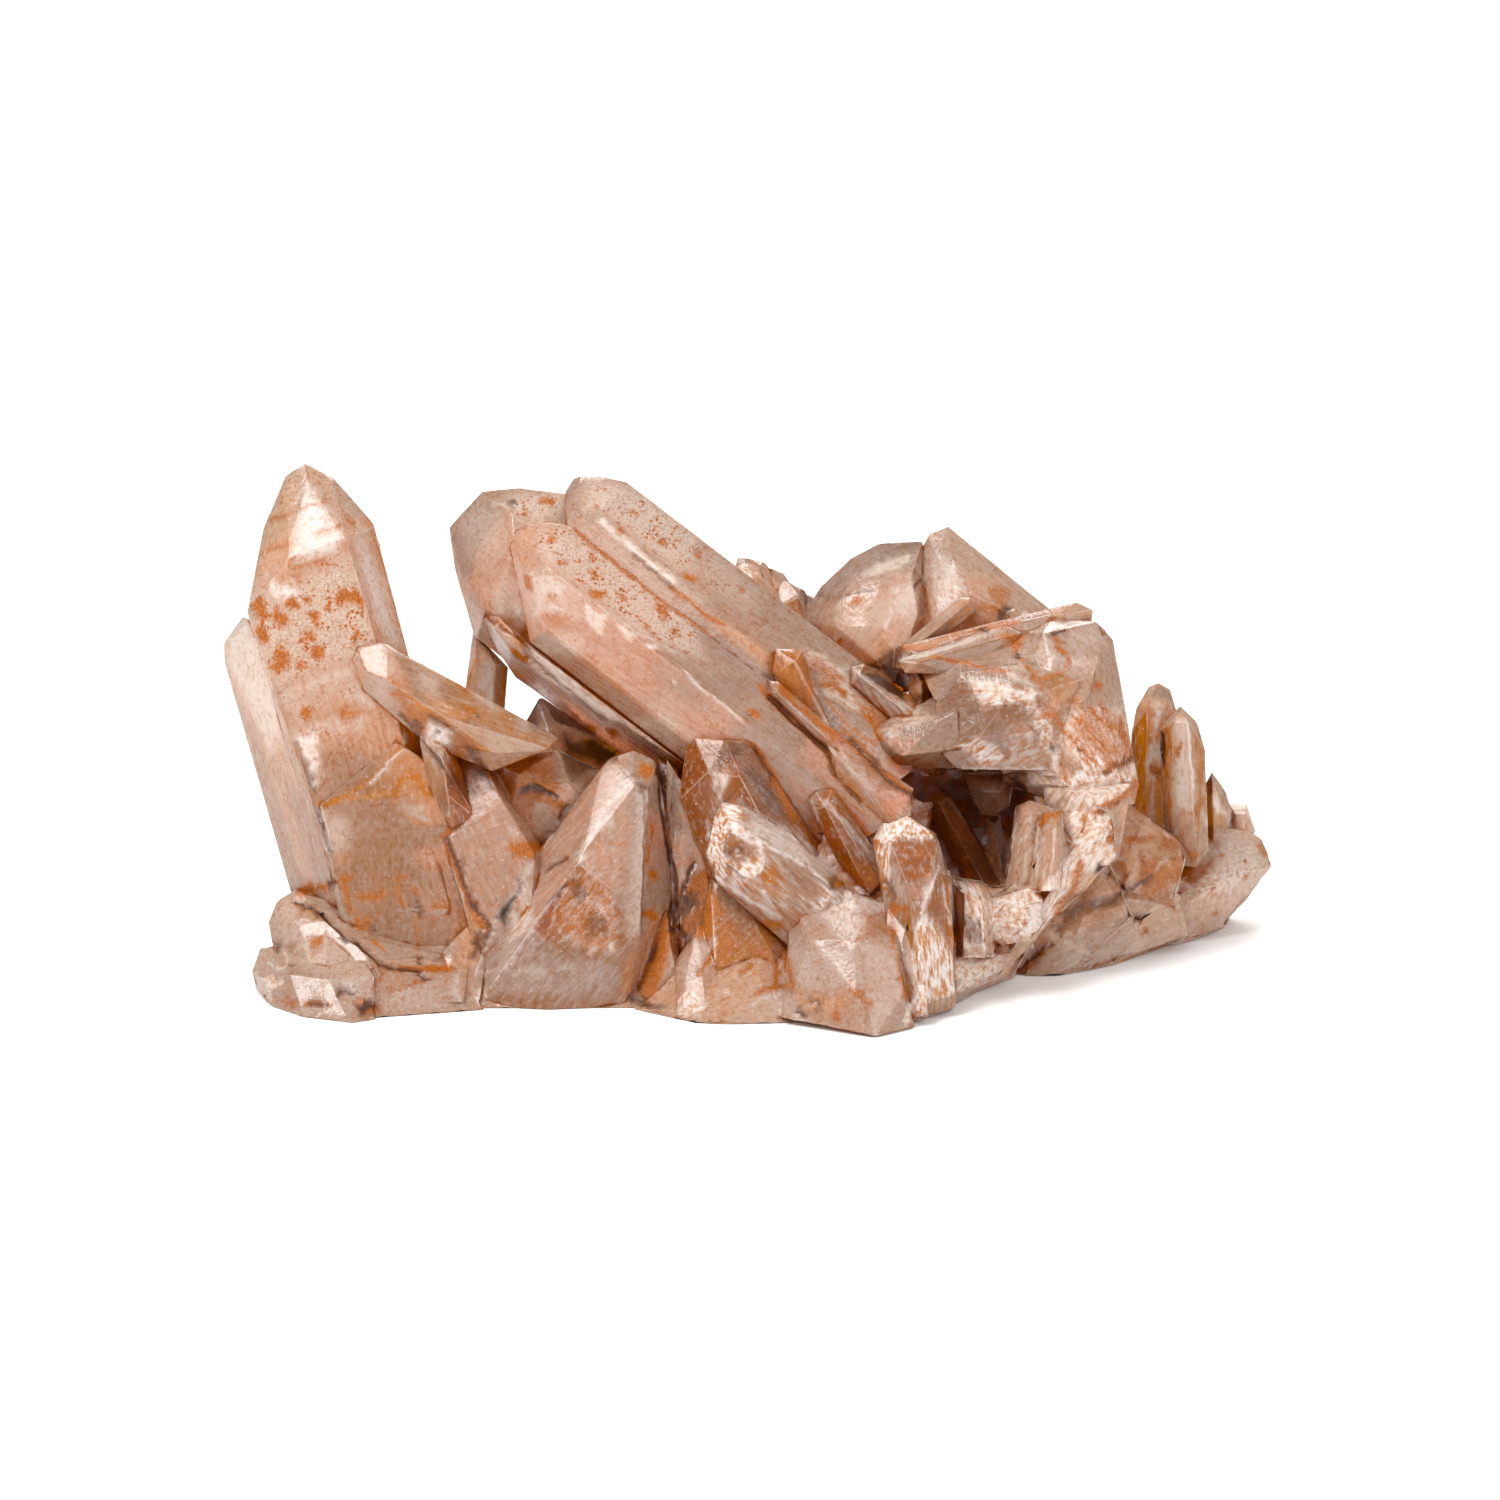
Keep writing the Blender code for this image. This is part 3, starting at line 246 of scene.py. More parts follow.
        (9, 26, 2), (17, 24, 2), (20, 20, 4), (18, 12, 8), (6, 14, 7),
        (12, 19, 5)]),
    # Back right group
    "smoky_block": (22, [
        (6.6, 49.6, 1.2), (7.3, 51.9, 1.2), (8.4, 53.6, 1.2), (12, 57, 1.4), (15.5, 58.9, 1.6),
        (20.7, 59.1, 1.4), (22, 50, 1.6), (20, 40, 2), (9, 42, 2), (11.3, 52.7, 5),
        (15.6, 53.2, 5.8), (19.5, 54.9, 4.4), (20, 50, 5.6), (15, 49, 6.6), (10.7, 48.4, 5.6),
        (17.5, 42, 7)]),
    "back_peak": (22, [
        (20.3, 57.6, 1.2), (21.4, 60, 1.2), (23.4, 60.8, 1.4), (25.3, 59.6, 1.4), (29.1, 56.2, 1.6),
        (33.3, 53.6, 1.6), (37.2, 49.7, 1.6), (20, 52, 1.6), (19, 42, 2), (40, 40, 2),
        (22.6, 56.2, 4.4), (25.2, 53.2, 6.6), (31.4, 50.4, 6.6), (22, 46, 7), (35, 42, 7)]),
    "long_rod": (9, [
        (17, 43.6, 1), (17.4, 46.4, 1), (36.2, 51, 0.8), (39.2, 51.8, 0.8), (41.2, 50.8, 0.8),
        (41, 49.2, 0.8), (36, 47.6, 1), (20, 45.6, 2.8), (37.6, 50.4, 2.4), (38, 49.2, 2.4),
        (20, 43.6, 2.6)]),
    "upper_rod": (14, [
        (17, 45.6, 1), (25.2, 52.4, 0.6), (26.5, 52.3, 0.8), (27, 50.6, 0.8), (20, 44.6, 1.2),
        (25.8, 51.4, 1.8), (19, 45.8, 2.2)]),
    "lower_rod": (6, [
        (17.6, 44.8, 0.6), (18.6, 43.2, 0.8), (30.6, 49, 0.8), (32.6, 48, 0.8), (31.6, 46, 0.8),
        (20, 44.4, 1.8), (31, 47.6, 1.8), (26, 43, 1)]),
    "right_plate": (8, [
        (32.3, 48.3, 1.2), (36, 49.8, 1.2), (41.5, 49.6, 1.2), (43.7, 47.3, 1.2), (44.3, 41.5, 1.4),
        (45.6, 36.8, 1.4), (46.8, 30, 1.4), (46.2, 27.4, 1.4), (40, 26.2, 2.4), (30, 30, 2.4),
        (35, 48, 4.6), (37.6, 45.2, 5.8), (42, 45.6, 4.4), (36, 43, 6.6), (40, 38, 7.2),
        (44, 31, 5), (38, 29.5, 7.2), (30, 34, 4.6)]),
    "plate_slope": (8, [
        (20.4, 43.4, 1), (25.4, 47.8, 1.2), (35.6, 50.2, 1.4), (42.6, 48.6, 1.4), (43.6, 44, 1.4),
        (25, 41.4, 5.8), (33, 41.4, 7), (40.5, 41, 6.6), (22, 40, 4.4), (28, 35, 6.4),
        (39, 34, 7)]),
    "plate_foot": (6, [
        (34.6, 31.4, 2.4), (45.6, 30, 2), (45, 24.6, 2), (44, 20.8, 2), (38, 17.6, 2),
        (36, 24, 2), (39.6, 28.4, 5.8), (42.4, 24.6, 5.4), (39, 21, 6.2)]),
    "right_face": (8, [
        (25.4, 43.4, 5.4), (22.2, 39.6, 5), (22.8, 33.6, 5.6), (24.6, 31.6, 5.4), (37.6, 31.4, 6.6),
        (39.4, 42.4, 6.8), (33, 44.4, 6), (30, 39.4, 8.4), (34, 36, 8.6), (27, 35, 7.6)]),
    "right_apron": (8, [
        (14, 36.4, 1), (20.4, 38.8, 1.6), (25, 42, 1.6), (26, 31.8, 1.6), (17.4, 31.6, 1.4),
        (14.4, 34.6, 1), (18.6, 36.6, 4), (24.5, 38.6, 6.6), (25, 34, 6.6), (18.2, 33.4, 4.8)]),
    "pocket_orange": (9, [
        (18.8, 41.6, 0.8), (19.6, 44.4, 0.8), (21.9, 42.6, 0.8), (21.6, 40, 0.8), (19.4, 39.6, 0.8),
        (20.4, 42.2, 2.6), (20.8, 38, 2)]),
    "cavity_roof": (14, [
        (14, 40, 4), (22, 42, 5), (30, 44, 5), (38, 40, 6), (36, 31.4, 6),
        (24, 31.8, 7), (16, 31, 7)]),
    "hanging_point": (9, [
        (25.2, 31.5, 2), (31.8, 31.5, 2), (26.2, 29, 1), (28, 26, 0.6), (29.4, 25.8, 0.6),
        (31.2, 27.2, 1), (28, 29, 3.4), (30, 29, 3.4)]),
    "cavity_rod": (11, [
        (20.6, 28, 1), (22.4, 29.4, 1), (24.4, 28.4, 1), (27, 15, 1.2), (31, 16.4, 1.2),
        (22.6, 27.6, 3), (28.6, 17, 3.2)]),
    "cavity_fin": (12, [
        (28, 26, 1), (30, 26.6, 1), (29, 16, 1.4), (32, 16, 1.4), (29.4, 25, 2.4),
        (30.8, 16, 2.8)]),
    "cavity_wall": (20, [
        (16, 34, 4), (34, 34, 4), (36, 18, 6), (18, 14, 6), (26, 26, 6)]),
    "rim_post": (1, [
        (32, 27.4, 0.8), (33.6, 28.1, 1), (37.4, 26.8, 1), (36.8, 18, 1.6), (30.4, 17, 1.6),
        (31, 22.5, 1.2), (33, 26, 3), (32.6, 18, 3.8), (35.6, 18, 3.8)]),
    "rim_post_front": (-2, [
        (34.3, 25.2, 0.8), (35.4, 26.7, 1), (37.3, 26.8, 1), (37.9, 25, 0.8), (37.4, 17, 1.2),
        (33.2, 17, 1.4), (35.2, 24.8, 2.6), (36.8, 24.8, 2.4), (35, 17, 3.2), (36.4, 17, 3)]),
    "white_rim": (2, [
        (37, 26.4, 1.6), (41.6, 27.6, 1.6), (43.8, 26.6, 1.2), (44.1, 24, 1.2), (44.5, 21.8, 1.2),
        (43.9, 20.4, 1.4), (42, 19.2, 1.6), (38, 15.2, 2), (34, 10.8, 3), (31, 9.4, 3),
        (31, 15, 4), (38.6, 23, 4), (41.6, 23, 3.6), (36.4, 18, 5.2), (33.6, 12.6, 5.6)]),
    "white_bank": (6, [
        (19.6, 1.2, 18.4), (22.4, 2.6, 15), (26, 4.9, 7), (30, 6.8, 2), (30.8, 9.8, 6),
        (25.4, 10.8, 12), (21.4, 13, 15.6), (24, 12.6, 12)]),
    "fluted_block": (-3, [
        (23.8, 19.2, 1.6), (28, 18.6, 1.6), (29.4, 16.5, 1.4), (29.6, 9, 2.4), (24.4, 9, 2.4),
        (25.6, 17, 4), (28, 16, 4), (28.4, 9, 5.6), (25.2, 9, 5.6)]),
    "white_lump": (-3, [
        (28.6, 16.4, 1.6), (31.5, 18, 1.6), (33.6, 18, 1.6), (35.5, 16.5, 1.6), (35.8, 13, 1.6),
        (34, 11, 2), (30, 10, 2.4), (28.6, 12.4, 2.4), (30.6, 15.4, 4.4), (33.6, 15.2, 4.4),
        (33, 12.4, 4.8)]),
    "cavity_bed": (4, [
        (20, 19, 2), (32, 18, 2), (37, 15, 2), (32, 7, 4), (22, 3.4, 9),
        (20, 8, 9), (29.6, 6.6, 6), (28, 5.2, 5)]),
    # Right end
    "right_needle": (28, [
        (49, 42.1, 0.8), (47.8, 41.6, 0.8), (46.3, 39, 1), (45.7, 36, 1.2), (46.2, 28, 1.4),
        (45.6, 20, 1.4), (50.4, 41.3, 0.8), (51.2, 38.6, 1), (52, 22, 1.4), (47.6, 39.4, 2.6),
        (49.8, 39.2, 2.6), (50.4, 20, 3), (47.4, 20, 3)]),
    "right_spear": (23, [
        (51.6, 39.3, 0.8), (50.1, 37.8, 0.8), (49.1, 36.4, 1), (49.8, 30, 1.2), (50, 20, 1.4),
        (53.6, 37.4, 0.8), (54.6, 34, 1.2), (55, 22, 1.4), (50.8, 37.2, 2.2), (52.4, 37.4, 2.4),
        (53.4, 20, 3), (50.6, 20, 2.6)]),
    "right_tooth": (27, [
        (55.4, 31.4, 0.8), (54.4, 29.6, 0.8), (57.1, 29, 0.8), (57.8, 26.6, 1), (56.4, 20, 1.4),
        (53.6, 20, 1.4), (55.4, 29.4, 2.2), (55.6, 20, 2.8)]),
    "right_step": (31, [
        (57.3, 27.6, 1.2), (59.6, 27.6, 1.2), (60.6, 24.4, 1.4), (61, 18, 1.6), (56.4, 18, 1.6),
        (58, 26.4, 3), (59.4, 26.2, 3), (59, 18, 3.6)]),
    "right_knob": (19, [
        (44, 29, 1.2), (47.4, 26.6, 1.6), (49.6, 24, 1.6), (51.8, 23.4, 1.2), (52.6, 21, 1.6),
        (51, 15, 2.4), (40, 14, 3), (40, 26, 3), (46, 23.6, 3.6), (49, 20.6, 3.6),
        (45, 17, 5)]),
    "right_foot": (29, [
        (45, 15.4, 4), (48, 18.8, 4), (50.2, 21.6, 4), (53, 25.2, 3), (57.2, 25, 3),
        (60.2, 24.4, 2.4), (61.6, 23.4, 2.4), (62.9, 20.2, 2.4), (61.6, 18.4, 2.6), (58.6, 14.6, 4),
        (56.6, 12.6, 5), (53, 11.5, 7), (45, 8.5, 10), (50.6, 17, 9), (57, 18.6, 8),
        (46, 12, 11)]),
    "right_sole": (20, [
        (30.4, 6, 12), (33, 9.4, 12), (38, 13.6, 9.4), (46, 17.4, 4.4), (52, 17, 2),
        (53, 12, 2), (45, 8.7, 7), (35.6, 6, 13.4), (32.6, 6.4, 13), (41, 10.4, 9.8)]),
    # Massive quartz under the crystals
    "left_heel": (4, [
        (-54.5, 17.5, 2), (-56.9, 15.9, 2), (-57.9, 13.4, 2.4), (-57, 9.6, 4), (-50, 6, 10),
        (-44, 8.4, 10), (-50.4, 13.6, 6.4), (-40, 7, 8), (-40, 12, 2), (-54.6, 13.4, 5.4)]),
    "heel_bed": (4, [
        (-56, 15.2, 2), (-51, 12.6, 6.4), (-44.6, 8.4, 8.6), (-39.4, 7, 9), (-33.4, 8.8, 8),
        (-34, 4, 12), (-50, 4, 14), (-55, 8, 7)]),
    "tower_toe": (0, [
        (-36, 11, 1.2), (-33.2, 13.6, 0.8), (-31.2, 11.4, 1.4), (-32.2, 4, 7), (-38, 3.6, 8),
        (-39, 7.4, 5), (-34.4, 8.6, 4)]),
    "left_toe": (3, [
        (-58.9, 10.4, 2), (-59.9, 7.5, 2.4), (-59.2, 5.3, 4), (-57, 3.4, 9), (-53, 2.1, 14),
        (-47, 1.5, 16.4), (-44.4, 1.8, 15), (-44.4, 7, 12.4), (-50, 6.4, 12.8), (-55, 8, 10),
        (-57.4, 6.4, 8), (-48, 12, 2)]),
    "left_sill": (6, [
        (-46.4, 1.6, 18), (-44, 7.6, 14.4), (-40, 7.4, 12), (-34, 8, 10.6), (-31.6, 3, 13.8),
        (-40, 2.6, 15.4), (-33, 12, 4), (-46, 12, 4)]),
    "front_sole": (6, [
        (-33, 2.9, 13.4), (-22, 3.2, 13), (-12, 3.1, 13), (-30, 9, 9), (-12, 9, 9)]),
    "front_lip": (-2, [
        (-13.8, 3.1, 5.6), (-7.5, 1.7, 10.8), (-4, 1.3, 12.4), (3, 1.6, 11.4), (7, 1.6, 11),
        (6, 9, 5), (-2, 8.4, 5.6), (-2, 14, 1), (4.6, 13.4, 1), (-10, 7, 4),
        (2.6, 6, 9)]),
    "under_left": (14, [
        (-44, 6, 12), (-20, 6, 15), (-20, 24, 5), (-44, 18, 5), (-30, 20, 9)]),
    "under_middle": (16, [
        (-24, 6, 15), (20, 6, 17), (22, 28, 7), (4, 30, 8), (-22, 28, 8),
        (-10, 16, 16), (10, 16, 16)]),
    "under_right": (20, [
        (16, 6, 14), (40, 9, 10), (46, 14, 9), (42, 24, 6), (18, 26, 8)]),
}

# Crystals grown straight from their measures: tip, foot, distance from the axis to each side, turn.
GROWN = {
    "druse_1": ((-1.6, 57.6, 27), (6, 46, 30), 2.4, 10),
    "druse_2": ((1.4, 56.4, 28), (8, 44, 31), 2.2, 35),
    "druse_3": ((4, 54.8, 27), (9, 42, 30), 2, 0),
    "druse_4": ((5.8, 53.4, 28), (11, 40, 30), 2.2, 20),
    "back_lean": ((-15, 44, 43), (-4, 18, 22), 6.4, 10),
    "back_stout": ((5, 48, 41), (8, 18, 24), 7.2, 25),
    "back_right": ((29, 48, 40), (18, 20, 24), 7.6, 40),
    "back_low": ((-30, 27, 37), (-20, 17, 20), 4.8, 5),
    "back_left": ((-52, 34, 25), (-38, 14, 16), 4.8, 15),
    "back_small_1": ((-7, 31, 47), (-2, 20, 30), 3.4, 25),
    "back_small_2": ((17, 36, 48), (12, 22, 30), 4, 0),
    "back_small_3": ((40, 36, 43), (30, 20, 28), 4.2, 35),
    "back_small_4": ((-42, 23, 33), (-32, 15, 20), 3.4, 30),
}

# Lumps that don't show from the front: middle, half sizes, number of flats, seed.
LUMPS = {
    "lump_left": ((-36, 15, 18), (17, 9, 16), 26, 1),
    "lump_middle": ((-8, 18, 26), (20, 11, 17), 30, 2),
    "lump_right": ((22, 20, 29), (22, 12, 15), 30, 3),
}

# The finishes that are drawn on the crystals, three to a layer of the mesh. Their outlines are uneven by
# RAGGED, in a noise that NOISE_SEED keeps the same each run. They reach a little past their points, and fade
# over an edge, which is wide for the soft kinds.
# white is painted highlights, pale partly painted reflections, dark cracks and joints plus painted shade in
# holes, black painted shade
KINDS = ("white", "pale", "frost", "smoky", "tan", "amber", "rust", "red", "specks", "dark", "black")
SOFT_KINDS = ("pale", "tan", "smoky", "red", "specks", "amber")
THIN_KINDS = ("white", "frost")
RAGGED = 0.28
NOISE_SEED = 7
REACH = 0.6
SOFT_EDGE = 1.8
PATCH_EDGE = 0.5
STROKE_EDGE = 0.22

# The two colours of each finish, as they look on screen, mottled into each other by a noise.
COLOURS = {
    "peach": ((206, 164, 140), (222, 190, 171)),
    "warm": ((160, 98, 70), (190, 132, 104)),
    "tan": ((196, 146, 116), (214, 172, 146)),
    "red": ((122, 58, 38), (168, 100, 72)),
    "amber": ((196, 112, 66), (220, 158, 116)),
    "smoky": ((136, 108, 98), (184, 160, 150)),
    # pale: pale milky quartz, with painted reflections on its glossy facets
    "pale": ((226, 216, 209), (240, 234, 230)),
    "frost": ((206, 164, 142), (250, 245, 242)),
    "specked": ((230, 218, 210), (196, 176, 164)),
    "rust": ((204, 134, 100), (154, 90, 62)),
}

# How worn, broken or stained each crystal is, where it differs from a clean crystal:
# rough (0 flat face, 1 broken rock), warmth (0 pale, 1 dark red-brown), frost (0 clear, 1 white fractures)
# and specks (rust specks on its faces).
PLAIN = (0, 0.25, 0.1, 0.15)
FINISH = {
    "left_tower": (0, 0.15, 0.15, 0.9),
    "left_tower_flank": (0, 0, 0.5, 0.05),
    "left_tower_ledge": (0, 0.22, 0.05, 0.15),
    "left_prop": (0, 0.35, 0.05, 0.25),
    "left_glint": (0, 0.1, 0.6, 0.2),
    "red_wedge": (0.05, 0.95, 0.1, 0.4),
    "red_wedge_twin": (0, 0.8, 0.1, 0.4),
    "left_shelf": (0.5, 0.8, 0.1, 0.5),
    "front_pyramid": (0, 0.7, 0.25, 0.2),
    "front_sliver": (0.2, 0.8, 0.1, 0.5),
    "front_splinter": (0.2, 0.8, 0.1, 0.3),
    "front_chip": (0.3, 0.5, 0.2, 0.3),
    "middle_back": (0, 0.2, 0.2, 0.3),
    "middle_top": (0, 0.3, 0.15, 0.8),
    "middle_front": (0, 0.25, 0.2, 0.7),
    "middle_under": (0, 0.15, 0.5, 0.3),
    "middle_splinter": (0, 0.5, 0.1, 0.4),
    "middle_plate": (0, 0.5, 0.1, 0.4),
    "middle_side": (0, 0.5, 0.1, 0.6),
    "orange_facet": (0.1, 0.9, 0.1, 0.4),
    "back_smoky": (0, 0.6, 0, 0.2),
    "red_flat_top": (0, 0.9, 0.3, 0.2),
    "broken_tip": (0.25, 0.2, 0.9, 0.05),
    "pale_block": (0.35, 0.25, 0.45, 0.1),
    "standing_stub": (0.3, 0.4, 0.5, 0.2),
    "front_rod": (0, 0.45, 0.1, 0.2),
    "rod_bed": (0.7, 0.9, 0.1, 0.6),
    "smoky_block": (0.1, 0.3, 0.2, 0.1),
    "back_peak": (0.3, 0.35, 0.3, 0.2),
    "long_rod": (0, 0.4, 0.2, 0.2),
    "right_plate": (0.25, 0.4, 0.5, 0.3),
    "right_face": (0.1, 0.15, 0.2, 0.3),
    "cavity_roof": (0.6, 0.9, 0.1, 0.5),
    "cavity_wall": (0.7, 1, 0, 0.3),
    "cavity_rod": (0, 0.9, 0.1, 0.2),
    "cavity_fin": (0, 0.9, 0.1, 0.2),
    "hanging_point": (0, 0.7, 0.1, 0.2),
    "rim_post": (0.1, 0.5, 0.4, 0.1),
    "rim_post_front": (0.1, 0.4, 0.5, 0.1),
    "white_rim": (0.8, 0.15, 0.95, 0.1),
    "fluted_block": (0.6, 0.2, 0.9, 0.1),
    "white_lump": (0.9, 0.1, 1, 0),
    "cavity_bed": (0.8, 0.35, 0.7, 0.2),
    "right_needle": (0, 0.5, 0.1, 0.3),
    "right_spear": (0, 0.35, 0.3, 0.2),
    "right_knob": (0.7, 0.9, 0, 0.6),
    "right_foot": (0.6, 0.3, 0.4, 0.2),
    "right_sole": (0.9, 0.45, 0.2, 0.4),
    "left_heel": (0.3, 0.35, 0.2, 0.3),
    "left_toe": (0.4, 0.35, 0.3, 0.3),
    "left_sill": (0.5, 0.6, 0.1, 0.5),
    "front_sole": (0.4, 0.5, 0.3, 0.2),
    "front_lip": (0.6, 0.4, 0.3, 0.2),
    "under_left": (0.8, 0.6, 0.1, 0.4),
    "under_middle": (0.8, 0.7, 0.1, 0.4),
    "under_right": (0.8, 0.7, 0.1, 0.4),
    "lump_left": (0.9, 0.4, 0.3, 0.3),
    "lump_middle": (0.9, 0.4, 0.3, 0.3),
    "lump_right": (0.9, 0.4, 0.3, 0.3),
}
